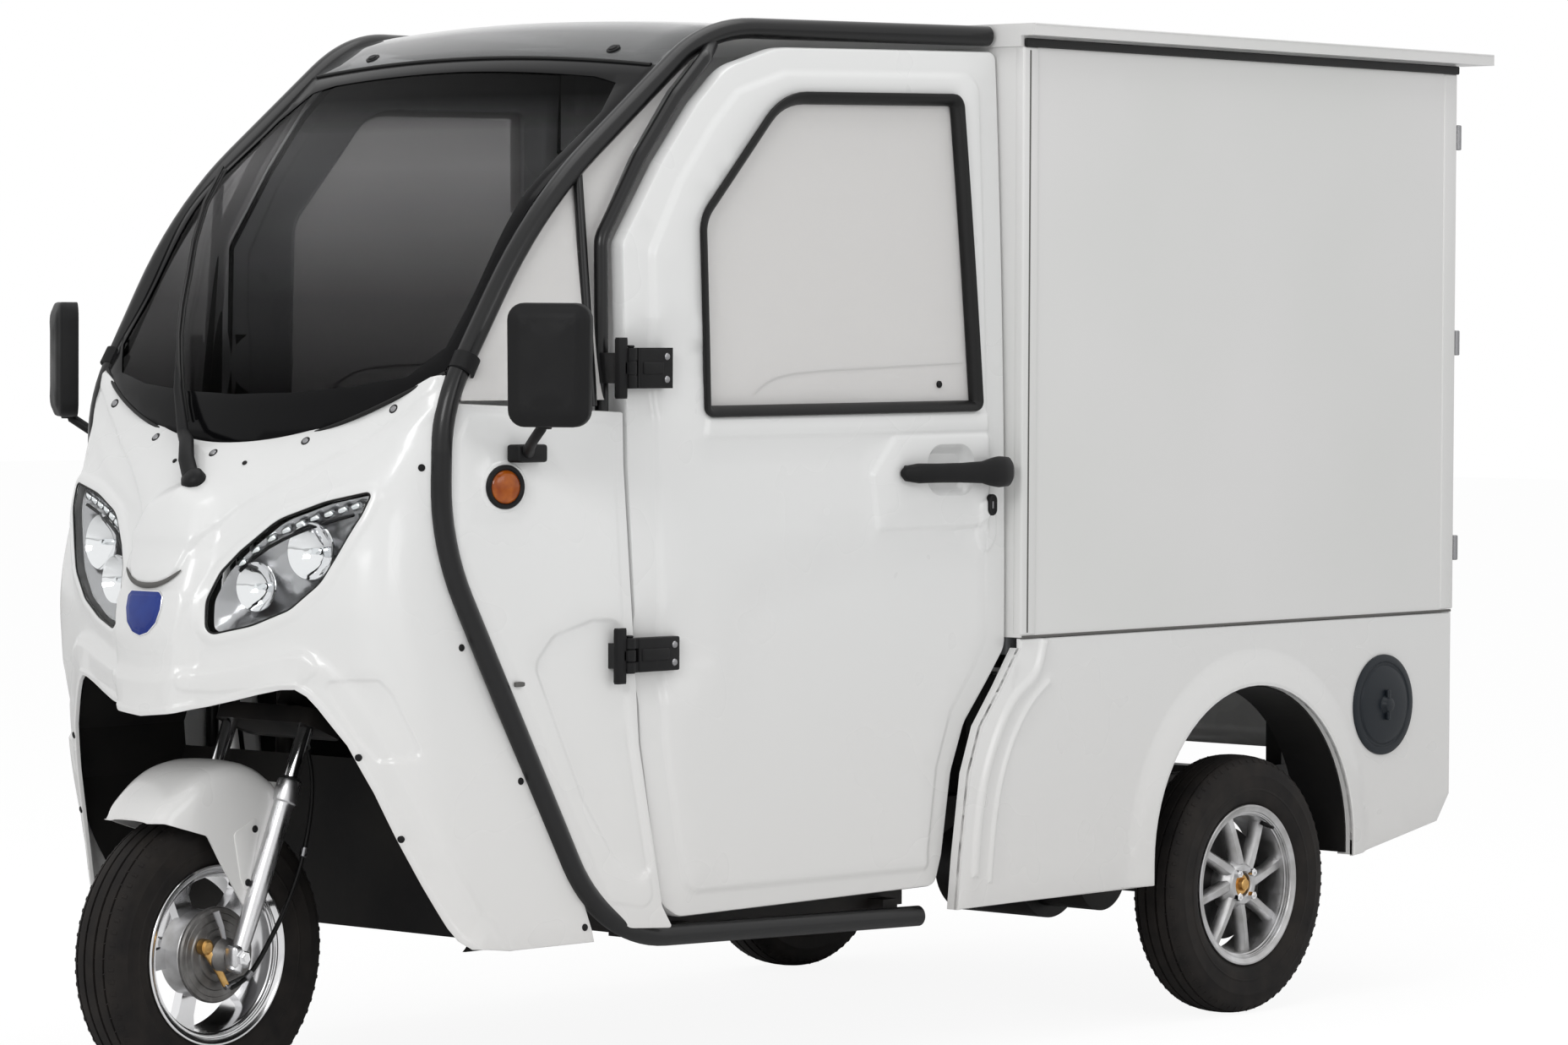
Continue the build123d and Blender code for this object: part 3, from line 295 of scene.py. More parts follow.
# %% [markdown]
# Bare metals: cast wheels have fine pores, fork legs are turned smooth, the upper tubes are
# chrome and the brake arm is plated in a brassy yellow.

# %% Metals
cast_alloy = finish("cast_alloy", (0.50, 0.50, 0.51), 0.36, 1.0)
mottle(cast_alloy, (26.0, 5.0), (0.40, 0.395, 0.39), (0.58, 0.58, 0.59))
grain(cast_alloy, (700.0, 2.0), 0.12, 0.0004)
wear(cast_alloy, (60.0, 4.0), 0.28, 0.46)
bright_lip = finish("bright_rim_lip", (0.80, 0.80, 0.81), 0.14, 1.0)
grain(bright_lip, (120.0, 2.0), 0.03, 0.0004)
fork_alloy = finish("fork_leg_alloy", (0.66, 0.66, 0.67), 0.3, 1.0)
wear(fork_alloy, (40.0, 4.0, (1, 1, 0.15)), 0.22, 0.38)
chrome = finish("hard_chrome", (0.86, 0.86, 0.87), 0.07, 1.0)
grain(chrome, (60.0, 2.0), 0.01, 0.0003)
plated_brass = finish("yellow_plating", (0.62, 0.37, 0.13), 0.34, 1.0)
mottle(plated_brass, (80.0, 4.0), (0.50, 0.27, 0.08), (0.72, 0.46, 0.18))
floor_steel = finish("floor_steel", (0.20, 0.205, 0.21), 0.5, 0.6)
grain(floor_steel, (60.0, 4.0), 0.25, 0.001)
brake_grey = finish("brake_plate_cast", (0.16, 0.155, 0.15), 0.42, 0.85)
mottle(brake_grey, (40.0, 5.0), (0.11, 0.105, 0.10), (0.22, 0.215, 0.21))
grain(brake_grey, (500.0, 2.0), 0.15, 0.0004)
screw_steel = finish("screw_steel", (0.30, 0.30, 0.31), 0.35, 1.0)
wear(screw_steel, (200.0, 2.0), 0.25, 0.5)
print("metals:", cast_alloy.name, chrome.name, plated_brass.name)

# %% [markdown]
# Clear pieces. The side panes let about half of the light through; the rest is a pale
# diffuse colour, a painted reflection that keeps them light. The windscreen is smoked, and its
# tint carries painted shade by height: it is dark at its foot, lets more light through higher
# up and is almost black along its upper edge, so its transmission colour follows its height.

# %% Clear and coloured plastics
# The pale diffuse part of this pane is a painted reflection that keeps the glass light.
side_pane = finish("clear_side_pane", (0.96, 0.95, 0.94), 0.015, Transmission_Weight=0.42, IOR=1.1)
smoked_screen_painted_shade = finish("smoked_screen_painted_shade", (0.3, 0.31, 0.32), 0.02, Transmission_Weight=1.0, IOR=1.05)
# The ramp paints shade into the tint: dark at the foot and the upper edge, lighter between.
smoke_and_shade_ramp = smoked_screen_painted_shade.node_tree.nodes.new("ShaderNodeValToRGB")
for place, shade in ((0.08, 0.05), (0.35, 0.16), (0.70, 0.52), (0.80, 0.46), (0.90, 0.06)):
    stop = smoke_and_shade_ramp.color_ramp.elements.new(place)
    stop.color = (shade, shade, shade * 1.02, 1)
smoke_and_shade_ramp.color_ramp.elements.remove(smoke_and_shade_ramp.color_ramp.elements[0])
smoke_and_shade_ramp.color_ramp.elements.remove(smoke_and_shade_ramp.color_ramp.elements[-1])
smoked_screen_painted_shade.node_tree.links.new(height_above_floor(smoked_screen_painted_shade, 1.05, 1.65), smoke_and_shade_ramp.inputs["Fac"])
smoked_screen_painted_shade.node_tree.links.new(smoke_and_shade_ramp.outputs["Color"],
                                  smoked_screen_painted_shade.node_tree.nodes["Principled BSDF"].inputs["Base Color"])
lamp_cover = finish("lamp_cover", (0.96, 0.97, 0.97), 0.01, Transmission_Weight=1.0, IOR=1.1)
lamp_mirror = finish("lamp_reflector", (0.88, 0.88, 0.89), 0.06, 1.0)
grain(lamp_mirror, (55.0, 1.0), 0.25, 0.004)
lamp_bezel = finish("lamp_bezel", (0.42, 0.42, 0.43), 0.25, 0.9)
amber_lens = finish("amber_lens", (0.80, 0.22, 0.02), 0.16, Transmission_Weight=0.15, Coat_Weight=0.15,
                    Specular_IOR_Level=0.3)
mottle(amber_lens, (45.0, 2.0), (0.30, 0.055, 0.004), (0.55, 0.14, 0.01))
red_lens = finish("red_lens", (0.45, 0.008, 0.006), 0.12, Transmission_Weight=0.2, Coat_Weight=0.6)
mottle(red_lens, (60.0, 2.0), (0.36, 0.006, 0.005), (0.52, 0.012, 0.008))
badge_enamel = finish("badge_enamel", (0.010, 0.045, 0.28), 0.18, Specular_IOR_Level=0.35, Coat_Weight=0.1)
mottle(badge_enamel, (25.0, 2.0), (0.006, 0.022, 0.19), (0.010, 0.038, 0.25))
seat_vinyl = finish("seat_vinyl", (0.03, 0.03, 0.032), 0.5)
grain(seat_vinyl, (500.0, 3.0), 0.3, 0.0006)
wear(seat_vinyl, (8.0, 3.0), 0.42, 0.58)
mirror_glass = finish("mirror_glass", (0.85, 0.87, 0.88), 0.02, 1.0)
wear(mirror_glass, (30.0, 2.0), 0.01, 0.05)
smoked_roof = finish("smoked_roof", (0.2, 0.2, 0.21), 0.03, Transmission_Weight=0.75,
                     IOR=1.2, Coat_Weight=0.5)
mottle(smoked_roof, (2.0, 1.0), (0.16, 0.165, 0.17), (0.24, 0.245, 0.25))
black_gloss = finish("painted_border", (0.004, 0.004, 0.0045), 0.14, Specular_IOR_Level=0.1)
grain(black_gloss, (20.0, 1.0), 0.02, 0.0005)
shadow_grey = finish("seam_shadow", (0.10, 0.098, 0.092), 0.6)
grain(shadow_grey, (300.0, 2.0), 0.1, 0.0004)
dark_hatch = finish("hatch_plastic", (0.012, 0.016, 0.021), 0.38, Specular_IOR_Level=0.25)
grain(dark_hatch, (260.0, 2.0), 0.2, 0.0006)
print("clear finishes:", side_pane.name, smoked_screen_painted_shade.name, lamp_cover.name)

# %% [markdown]
# Every CAD node gets its real finish first. Many are replaced below by detailed pieces, and
# the ones that stay are already right.

# %% Dress the CAD nodes
NODE_FINISH = {
    "tyre": tyre_rubber, "rim": cast_alloy, "fork": fork_alloy, "handlebar": black_plastic,
    "front_mudguard": white_coat, "front_fairing": white_coat, "front_liner": liner_plastic,
    "headlamp": lamp_cover, "windscreen": smoked_screen_painted_shade, "cab_roof": smoked_roof,
    "roll_tube": tube_paint, "door_shell": white_coat, "door_glass": side_pane,
    "door_handle": black_plastic, "door_hinges": black_plastic, "cowl_side": white_coat,
    "quarter_window": side_pane, "cargo_floor": floor_steel, "cargo": box_coat,
    "rear_door": box_coat, "skirt": white_coat, "rear_liner": liner_plastic,
    "charging_hatch": dark_hatch, "chassis_frame": chassis_paint, "floor_pan": floor_steel,
    "seat": seat_vinyl, "battery_box": black_plastic, "rear_axle": chassis_paint,
    "tail_board": white_coat, "dash_panel": black_plastic, "mirror": black_plastic,
    "wiper": black_plastic,
}
for node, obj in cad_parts.items():
    key = max((k for k in NODE_FINISH if k in node), key=len)
    obj.data.materials.clear()
    obj.data.materials.append(NODE_FINISH[key])
print("dressed nodes:", len(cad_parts))

# %% [markdown]
# ## Tools for making pieces
# A piece is a list of corners and a list of faces. `piece` turns them into an object that rides
# on a CAD body. `pair` makes the left piece and its mirror image: a mirrored mesh is inside
# out, so its faces are turned round.

# %% Make a piece from corners and faces
def piece(name, corners, faces, material, body, slot, smooth=32, replaces=()):
    """One finished piece on its place, with its faces smooth up to an angle in degrees."""
    mesh = bpy.data.meshes.new(name)
    mesh.from_pydata([tuple(c) for c in corners], [], [tuple(int(i) for i in f) for f in faces])
    mesh.validate()
    mesh.polygons.foreach_set("use_smooth", [True] * len(mesh.polygons))
    mesh.set_sharp_from_angle(angle=math.radians(smooth))
    mesh.materials.append(material)
    obj = bpy.data.objects.new(name, mesh)
    bpy.context.collection.objects.link(obj)
    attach(obj, body)
    if replaces:
        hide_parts(*replaces)
    return obj


def sided(body, side):
    """The name of a body or node on one side."""
    return body.replace("SIDE", side)


def pair(name, corners, faces, material, body, slot, smooth=32, replaces=()):
    """The left piece and its mirror image."""
    corners = np.asarray(corners, float)
    made = []
    for side in ("left", "right"):
        if side == "right":
            corners = corners * (-1, 1, 1)
            faces = [tuple(reversed(f)) for f in faces]
        made.append(piece(f"{name}_{side}", corners, faces, material, sided(body, side), slot, smooth,
                          [sided(node, side) for node in replaces]))
    return made


def joined(*parts):
    """Several (corners, faces) as one."""
    corners, faces, start = [], [], 0
    for part_corners, part_faces in parts:
        corners.extend([tuple(c) for c in part_corners])
        faces.extend([tuple(i + start for i in f) for f in part_faces])
        start += len(part_corners)
    return corners, faces


def mirrored(part):
    """A part and its mirror image across the vehicle's middle, as one."""
    corners, faces = part
    other = [(-x, y, z) for x, y, z in corners]
    return joined(part, (other, [tuple(reversed(f)) for f in faces]))


# %% [markdown]
# Turned shapes, bars and bent tubes are all a ring of corners carried along a line. `turned`
# spins a profile round an axis, and `bar` follows a path with a frame that doesn't twist.

# %% Turned pieces and tubes
def turned(profile, centre=(0, 0, 0), axis=(1, 0, 0), steps=64, closed=True):
    """Spins a list of (along, radius) round an axis. A closed profile gives a ring-shaped solid."""
    axis = Vector(axis).normalized()
    side = axis.orthogonal().normalized()
    other = axis.cross(side)
    centre = Vector(centre)
    corners, faces = [], []
    count = len(profile)
    for step in range(steps):
        turn = 2 * math.pi * step / steps
        out = side * math.cos(turn) + other * math.sin(turn)
        corners += [tuple(centre + axis * a + out * r) for a, r in profile]
    last = count if closed else count - 1
    for step in range(steps):
        a, b = step * count, (step + 1) % steps * count
        for i in range(last):
            j = (i + 1) % count
            faces.append((a + i, a + j, b + j, b + i))
    return cleaned(corners, faces)


def cleaned(corners, faces, merge=1e-5):
    """Merges doubled corners, drops empty faces and points the normals outwards."""
    mesh = bmesh.new()
    made = [mesh.verts.new(tuple(c)) for c in corners]
    for face in faces:
        if len(set(face)) > 2:
            try:
                mesh.faces.new([made[i] for i in face])
            except ValueError:
                pass
    bmesh.ops.remove_doubles(mesh, verts=mesh.verts, dist=merge)
    bmesh.ops.dissolve_degenerate(mesh, edges=mesh.edges, dist=merge / 10)
    bmesh.ops.recalc_face_normals(mesh, faces=mesh.faces)
    mesh.verts.index_update()
    result = [tuple(v.co) for v in mesh.verts], [tuple(v.index for v in f.verts) for f in mesh.faces]
    mesh.free()
    return result


def solid_turned(profile, centre, axis, steps=48):
    """A turned solid whose profile starts and ends on the axis."""
    ends = [(profile[0][0], 0.0)] + list(profile) + [(profile[-1][0], 0.0)]
    return turned(ends, centre, axis, steps, closed=False)


def bar(path, radius, sides=16, flat=1.0, closed=False):
    """A tube along a path. radius is one value or one for each point."""
    points = [Vector(p) for p in path]
    count = len(points)
    radii = [radius] * count if isinstance(radius, (int, float)) else list(radius)
    ahead = (points[1] - points[0]).normalized()
    side = ahead.orthogonal().normalized()
    corners, faces = [], []
    for i, point in enumerate(points):
        before = points[i] - points[i - 1] if i or closed else points[1] - points[0]
        after = points[(i + 1) % count] - points[i] if i < count - 1 or closed else before
        new_ahead = (before.normalized() + after.normalized()).normalized()
        side = (side - new_ahead * side.dot(new_ahead)).normalized()
        other = new_ahead.cross(side)
        for k in range(sides):
            turn = 2 * math.pi * k / sides
            corners.append(tuple(point
                                 + (side * math.cos(turn) + other * math.sin(turn) * flat) * radii[i]))
    runs = count if closed else count - 1
    for i in range(runs):
        a, b = i * sides, (i + 1) % count * sides
        for k in range(sides):
            faces.append((a + k, a + (k + 1) % sides, b + (k + 1) % sides, b + k))
    if not closed:
        faces.append(tuple(reversed(range(sides))))
        faces.append(tuple((count - 1) * sides + k for k in range(sides)))
    return corners, faces


def capsule_bar(start, end, radius, chamfer=0.0015, sides=20):
    """A straight bar with softened ends."""
    start, end = Vector(start), Vector(end)
    step = (end - start).normalized() * chamfer
    return bar([start, start + step, end - step, end],
               [radius - chamfer, radius, radius, radius - chamfer], sides)


def rounded_block(low, high, radius=0.004, segments=3):
    """A block between two corners with every edge rounded."""
    mesh = bmesh.new()
    bmesh.ops.create_cube(mesh, size=1.0)
    low, high = Vector(low), Vector(high)
    for v in mesh.verts:
        v.co = Vector([(low[k] + high[k]) / 2 + v.co[k] * (high[k] - low[k]) for k in range(3)])
    bmesh.ops.bevel(mesh, geom=mesh.edges, offset=radius, segments=segments, profile=0.5, affect="EDGES")
    bmesh.ops.recalc_face_normals(mesh, faces=mesh.faces)
    mesh.verts.index_update()
    result = [tuple(v.co) for v in mesh.verts], [tuple(v.index for v in f.verts) for f in mesh.faces]
    mesh.free()
    return result


def moved(part, offset=(0, 0, 0), turn=None, about=(0, 0, 0)):
    """A part turned about a point and then moved. turn is (degrees, axis)."""
    corners, faces = part
    matrix = Matrix.Translation(Vector(offset))
    if turn:
        pivot = Matrix.Translation(Vector(about))
        matrix = matrix @ pivot @ Matrix.Rotation(math.radians(turn[0]), 4,
                                                  Vector(turn[1])) @ pivot.inverted()
    return [tuple(matrix @ Vector(c)) for c in corners], faces


print("piece tools ready")

# %% [markdown]
# ## Moulded panels
# A moulded panel is a flat sheet of points with a height at each one. Each raised or sunk field
# has an outline, and the distance to that outline gives a soft step. Rings of points run along
# every outline, so that a step is always made of clean rows of faces, and a Delaunay
# triangulation fills the rest.

# %% Outlines
def rounded(corners, radii, step=0.02, arc_steps=6):
    """A closed outline with a round corner of its own radius at each point."""
    count = len(corners)
    points = []
    for i in range(count):
        here = Vector(corners[i])
        to_before = Vector(corners[i - 1]) - here
        to_after = Vector(corners[(i + 1) % count]) - here
        radius = radii[i]
        angle = to_before.angle(to_after)
        if radius <= 0 or angle > math.pi - 0.01:
            points.append(here)
            continue
        reach = min(radius / math.tan(angle / 2), to_before.length * 0.49, to_after.length * 0.49)
        radius = reach * math.tan(angle / 2)
        middle = here + (to_before.normalized()
                         + to_after.normalized()).normalized() * radius / math.sin(angle / 2)
        start = here + to_before.normalized() * reach - middle
        end = here + to_after.normalized() * reach - middle
        sweep = start.angle_signed(end)
        for k in range(arc_steps + 1):
            t = -sweep * k / arc_steps
            points.append(middle + Vector((start.x * math.cos(t) - start.y * math.sin(t),
                                           start.x * math.sin(t) + start.y * math.cos(t))))
    return divided(points, step)


def soft_rectangle(x0, y0, x1, y1, radius, step):
    """A rectangle with round corners."""
    return rounded([(x0, y0), (x1, y0), (x1, y1), (x0, y1)], [radius] * 4, step)


def on_circle(centre, radius, angles):
    """Points on a circle at angles in degrees."""
    return [(centre[0] + radius * math.cos(math.radians(a)), centre[1] + radius * math.sin(math.radians(a)))
            for a in angles]


def wrapped(rows, around):
    """Faces that join closed rows of corners, each row with the next."""
    faces = []
    for i in range(rows - 1):
        for k in range(around):
            a, b = i * around + k, i * around + (k + 1) % around
            faces.append((a, b, b + around, a + around))
    return faces


def divided(points, step):
    """Adds points on long runs of a closed outline."""
    result = []
    for i, point in enumerate(points):
        after = points[(i + 1) % len(points)]
        run = (Vector(after) - Vector(point)).length
        for k in range(max(1, math.ceil(run / step))):
            result.append(tuple(Vector(point).lerp(Vector(after), k / max(1, math.ceil(run / step)))))
    return np.array(result)


def signed_distance(points, outline):
    """Distance of each point to an outline, below zero inside it."""
    points, a = np.asarray(points, float), np.asarray(outline, float)
    b = np.roll(a, -1, axis=0)
    along = b - a
    length = np.maximum((along ** 2).sum(1), 1e-18)
    nearest = np.full(len(points), np.inf)
    inside = np.zeros(len(points), bool)
    for i in range(len(a)):
        rel = points - a[i]
        t = np.clip((rel @ along[i]) / length[i], 0, 1)
        nearest = np.minimum(nearest, ((rel - t[:, None] * along[i]) ** 2).sum(1))
        cross = (a[i, 1] > points[:, 1]) != (b[i, 1] > points[:, 1])
        with np.errstate(divide="ignore", invalid="ignore"):
            x = a[i, 0] + (points[:, 1] - a[i, 1]) * along[i, 0] / along[i, 1]
        inside ^= cross & (points[:, 0] < x)
    return np.where(inside, -1, 1) * np.sqrt(nearest)


def ring(outline, offset):
    """The outline moved outwards by an offset."""
    outline = np.asarray(outline, float)
    before, after = np.roll(outline, 1, axis=0), np.roll(outline, -1, axis=0)
    tangent = after - before
    tangent /= np.maximum(np.linalg.norm(tangent, axis=1), 1e-12)[:, None]
    normal = np.stack([tangent[:, 1], -tangent[:, 0]], axis=1)
    area = (outline[:, 0] * after[:, 1] - after[:, 0] * outline[:, 1]).sum()
    return outline + normal * (offset if area > 0 else -offset)


print("outline tools ready")

# %% Moulded panel
def soft_step(distance, soft):
    """1 inside, 0 outside, with a smooth change over a band of width 2 x soft."""
    t = np.clip(0.5 - distance / (2 * soft), 0, 1)
    return t * t * (3 - 2 * t)


def panel(outline, fields, place, thickness, holes=(), edge=0.003, grid=0.05, extra=()):
    """A moulded sheet as (corners, faces).

    fields are (outline, height, soft), and place(u, v, h) gives corners.
    """
    closed = [np.asarray(outline)] + [np.asarray(hole) for hole in holes]
    rings = [(o, True) for o in closed]
    for number, o in enumerate(closed):
        inward = -1 if number == 0 else 1
        rings += [(ring(o, inward * edge * f), False) for f in (0.3, 1.0)]
    for shape, _, soft in fields:
        rings += [(ring(shape, soft * f), False) for f in (-1.0, -0.45, 0.0, 0.45, 1.0)]
    rings += [(np.asarray(shape), False) for shape in extra]

    def inside(points):
        keep = signed_distance(points, closed[0]) < -1e-6
        for hole in closed[1:]:
            keep &= signed_distance(points, hole) > 1e-6
        return keep

    low, high = closed[0].min(0), closed[0].max(0)
    us, vs = (np.arange(low[k] + grid / 2, high[k], grid) for k in (0, 1))
    loose = np.stack(np.meshgrid(us, vs), -1).reshape(-1, 2)
    loose = loose[inside(loose)]
    every = np.concatenate([r for r, _ in rings])
    far = np.array([((every - p) ** 2).sum(1).min() > (grid * 0.45) ** 2 for p in loose], bool)
    points, edges = [], []
    for shape, fixed in rings:
        keep = np.ones(len(shape), bool) if fixed else inside(shape)
        index = np.full(len(shape), -1)
        index[keep] = np.arange(keep.sum()) + len(points)
        points += [Vector(p) for p in shape[keep]]
        for i in range(len(shape)):
            j = (i + 1) % len(shape)
            if index[i] >= 0 and index[j] >= 0:
                edges.append((int(index[i]), int(index[j])))
    points += [Vector(p) for p in loose[far]]
    flat, _, triangles, *_ = delaunay_2d_cdt(points, edges, [], 0, 1e-5)
    flat = np.array([tuple(p) for p in flat])
    triangles = np.array([tuple(t) for t in triangles])
    triangles = triangles[inside(flat[triangles].mean(1))]
    used, flat_index = np.unique(triangles, return_inverse=True)
    flat, triangles = flat[used], flat_index.reshape(-1, 3)
    height = np.zeros(len(flat))
    for shape, rise, soft in fields:
        height += rise * soft_step(signed_distance(flat, shape), soft)
    rim = np.abs(signed_distance(flat, closed[0]))
    for hole in closed[1:]:
        rim = np.minimum(rim, np.abs(signed_distance(flat, hole)))
    height -= edge * (1 - np.sqrt(1 - (1 - np.clip(rim / edge, 0, 1)) ** 2))
    top = place(flat[:, 0], flat[:, 1], height)
    under = place(flat[:, 0], flat[:, 1], height - thickness)
    count = len(flat)
    faces = [tuple(t) for t in triangles] + [tuple(i + count for i in reversed(t))
                                             for t in triangles.tolist()]
    directed = {}
    for t in triangles.tolist():
        for k in range(3):
            directed[(t[k], t[(k + 1) % 3])] = True
    for a, b in directed:
        if (b, a) not in directed:
            faces.append((b, a, a + count, b + count))
    return cleaned(np.concatenate([top, under]), faces, 1e-6)


print("panel tools ready")

# %% [markdown]
# ## Copies on places
# Nuts, screws, spokes, tread blocks and lamp beads all repeat. A small Geometry Nodes tree puts
# one copy of a part on each point of a mesh, turned by two directions that the points carry.
# The tree ends in Realize Instances and Set Material, and the result is made a plain mesh.

# %% The copy tree
def copy_tree():
    """Geometry Nodes: a part on every point, its Z along `facing` and its X along `sideways`."""
    tree = bpy.data.node_groups.new("copies_on_places", "GeometryNodeTree")
    face = tree.interface
    face.new_socket("Places", in_out="INPUT", socket_type="NodeSocketGeometry")
    face.new_socket("Part", in_out="INPUT", socket_type="NodeSocketObject")
    face.new_socket("Part Size", in_out="INPUT", socket_type="NodeSocketFloat")
    face.new_socket("Finish", in_out="INPUT", socket_type="NodeSocketMaterial")
    face.new_socket("Copies", in_out="OUTPUT", socket_type="NodeSocketGeometry")
    nodes, links = tree.nodes, tree.links
    start, end = nodes.new("NodeGroupInput"), nodes.new("NodeGroupOutput")
    part = nodes.new("GeometryNodeObjectInfo")
    links.new(start.outputs["Part"], part.inputs["Object"])
    turns = []
    for name, axis, pivot in (("facing", "Z", "AUTO"), ("sideways", "X", "Z")):
        read = nodes.new("GeometryNodeInputNamedAttribute")
        read.data_type = "FLOAT_VECTOR"
        read.inputs["Name"].default_value = name
        align = nodes.new("FunctionNodeAlignRotationToVector")
        align.axis, align.pivot_axis = axis, pivot
        links.new(read.outputs["Attribute"], align.inputs["Vector"])
        if turns:
            links.new(turns[-1].outputs["Rotation"], align.inputs["Rotation"])
        turns.append(align)
    put = nodes.new("GeometryNodeInstanceOnPoints")
    links.new(start.outputs["Places"], put.inputs["Points"])
    links.new(part.outputs["Geometry"], put.inputs["Instance"])
    links.new(turns[-1].outputs["Rotation"], put.inputs["Rotation"])
    links.new(start.outputs["Part Size"], put.inputs["Scale"])
    real = nodes.new("GeometryNodeRealizeInstances")
    links.new(put.outputs["Instances"], real.inputs["Geometry"])
    coat = nodes.new("GeometryNodeSetMaterial")
    links.new(real.outputs["Geometry"], coat.inputs["Geometry"])
    links.new(start.outputs["Finish"], coat.inputs["Material"])
    links.new(coat.outputs["Geometry"], end.inputs["Copies"])
    return tree


copies_on_places = copy_tree()


def copies(name, part, places, material, body, slot, smooth=32, size=1.0):
    """Copies of a part, each at (point, facing, sideways), as one plain piece."""
    source_mesh = bpy.data.meshes.new(name + "_part")
    source_mesh.from_pydata([tuple(c) for c in part[0]], [], [tuple(f) for f in part[1]])
    source_mesh.polygons.foreach_set("use_smooth", [True] * len(source_mesh.polygons))
    source = bpy.data.objects.new(name + "_part", source_mesh)
    points = bpy.data.meshes.new(name)
    points.from_pydata([tuple(p[0]) for p in places], [], [])
    for k, label in ((1, "facing"), (2, "sideways")):
        layer = points.attributes.new(label, "FLOAT_VECTOR", "POINT")
        layer.data.foreach_set("vector", np.array([tuple(p[k]) for p in places], np.float32).ravel())
    obj = bpy.data.objects.new(name, points)
    bpy.context.collection.objects.link(obj)
    modifier = obj.modifiers.new("copies", "NODES")
    modifier.node_group = copies_on_places
    sockets = {s.name: s.identifier for s in copies_on_places.interface.items_tree if s.in_out == "INPUT"}
    modifier[sockets["Part"]] = source
    modifier[sockets["Part Size"]] = size
    modifier[sockets["Finish"]] = material
    graph = bpy.context.evaluated_depsgraph_get()
    plain = bpy.data.meshes.new_from_object(obj.evaluated_get(graph))
    obj.modifiers.clear()
    obj.data = plain
    plain.set_sharp_from_angle(angle=math.radians(smooth))
    bpy.data.objects.remove(source)
    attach(obj, body)
    return obj


def copies_pair(name, part, places, material, body, slot, **more):
    """Copies on the left and mirrored places on the right."""
    flip = Vector((-1, 1, 1))
    for side in ("left", "right"):
        if side == "right":
            places = [tuple(Vector(v) * flip for v in place) for place in places]
        copies(f"{name}_{side}", part, places, material, sided(body, side), slot, **more)


print("copy tree nodes:", len(copies_on_places.nodes))

# %% [markdown]
# ## Wheels
# All three tyres are alike: a flat tread with four grooves, a row of short blocks on each
# shoulder and two fine rings on the wall. The tyre is a turned profile, and the blocks are
# copies round it.

# %% Wheel places
front_hub = Vector((0.0, -1.233, 0.230))
rear_hub = Vector((0.517, 0.767, 0.230))
WHEELS = {
    "front": (front_hub, "front_wheel"),
    "rear_left": (rear_hub, "rear_wheel_left"),
    "rear_right": (Vector((-rear_hub.x, rear_hub.y, rear_hub.z)), "rear_wheel_right"),
}


def wheel_node(kind, wheel):
    """The CAD node of a wheel's tyre or rim."""
    place, _, side = wheel.partition("_")
    return f"{place}_{kind}_{side}" if side else f"{place}_{kind}"


def both_ways(half):
    """A half profile from the outer edge to the middle, and its mirror image."""
    return half + [(-a, r) for a, r in reversed(half)]


tyre_half = [
    (38.2, 129), (38.2, 144), (42.0, 148), (45.5, 154), (47.6, 161), (48.6, 168),
    (49.4, 169), (49.4, 171.5),
    (48.9, 172.5), (49.6, 182), (49.7, 192), (49.9, 193), (49.9, 195.5), (49.3, 196.5),
    (48.6, 206), (46.4, 214),
    (43.0, 219.0), (39.0, 223.0), (34.5, 226.0), (31.8, 226.8), (31.2, 221.5), (28.8, 221.5), (28.2, 227.6),
    (21.0, 228.9), (13.2, 229.6), (12.6, 223.0), (9.2, 223.0), (8.6, 229.9), (2.0, 230.0),
]
tyre_profile = [(a * MM, r * MM) for a, r in both_ways(tyre_half)]
for wheel, (hub, body) in WHEELS.items():
    corners, faces = turned(tyre_profile, hub, (1, 0, 0), 96)
    piece(f"{wheel}_tyre_wall", corners, faces, tyre_rubber, body, "tyre_rubber", 28,
          [wheel_node("tyre", wheel)])
print("tyre profile corners:", len(tyre_profile))

# %% Shoulder blocks
block_count = 72
block_part = rounded_block((-0.0030, -0.0042, -0.004), (0.0030, 0.0042, 0.0018), 0.0008, 1)
for wheel, (hub, body) in WHEELS.items():
    places = []
    for side in (-1, 1):
        for step in range(block_count):
            angle = 2 * math.pi * (step + 0.25 * side) / block_count
            out = Vector((0.0, math.cos(angle), math.sin(angle)))
            facing = (out + Vector((side * 0.95, 0, 0))).normalized()
            around = Vector((0.0, -math.sin(angle), math.cos(angle)))
            places.append((hub + Vector((side * 0.0408, 0, 0)) + out * 0.2203, facing, around))
    copies(f"{wheel}_shoulder_blocks", block_part, places, tyre_rubber, body, "tyre_rubber")
print("blocks on each tyre:", 2 * block_count)

# %% Fine cuts across the tread
tread_fin = rounded_block((-0.0009, -0.0035, -0.006), (0.0009, 0.0035, -0.0002), 0.0003, 1)
for wheel, (hub, body) in WHEELS.items():
    places = []
    for lane in (-0.0300, -0.0109, 0.0109, 0.0300):
        for step in range(60):
            angle = 2 * math.pi * (step + (lane > 0) * 0.5) / 60
            out = Vector((0.0, math.cos(angle), math.sin(angle)))
            around = Vector((math.copysign(0.35, lane), -math.sin(angle), math.cos(angle))).normalized()
            places.append((hub + Vector((lane, 0, 0)) + out * 0.2275, out, around))
    copies(f"{wheel}_groove_ties", tread_fin, places, tyre_rubber, body, "tyre_rubber")
print("groove ties on each tyre:", 4 * 60)
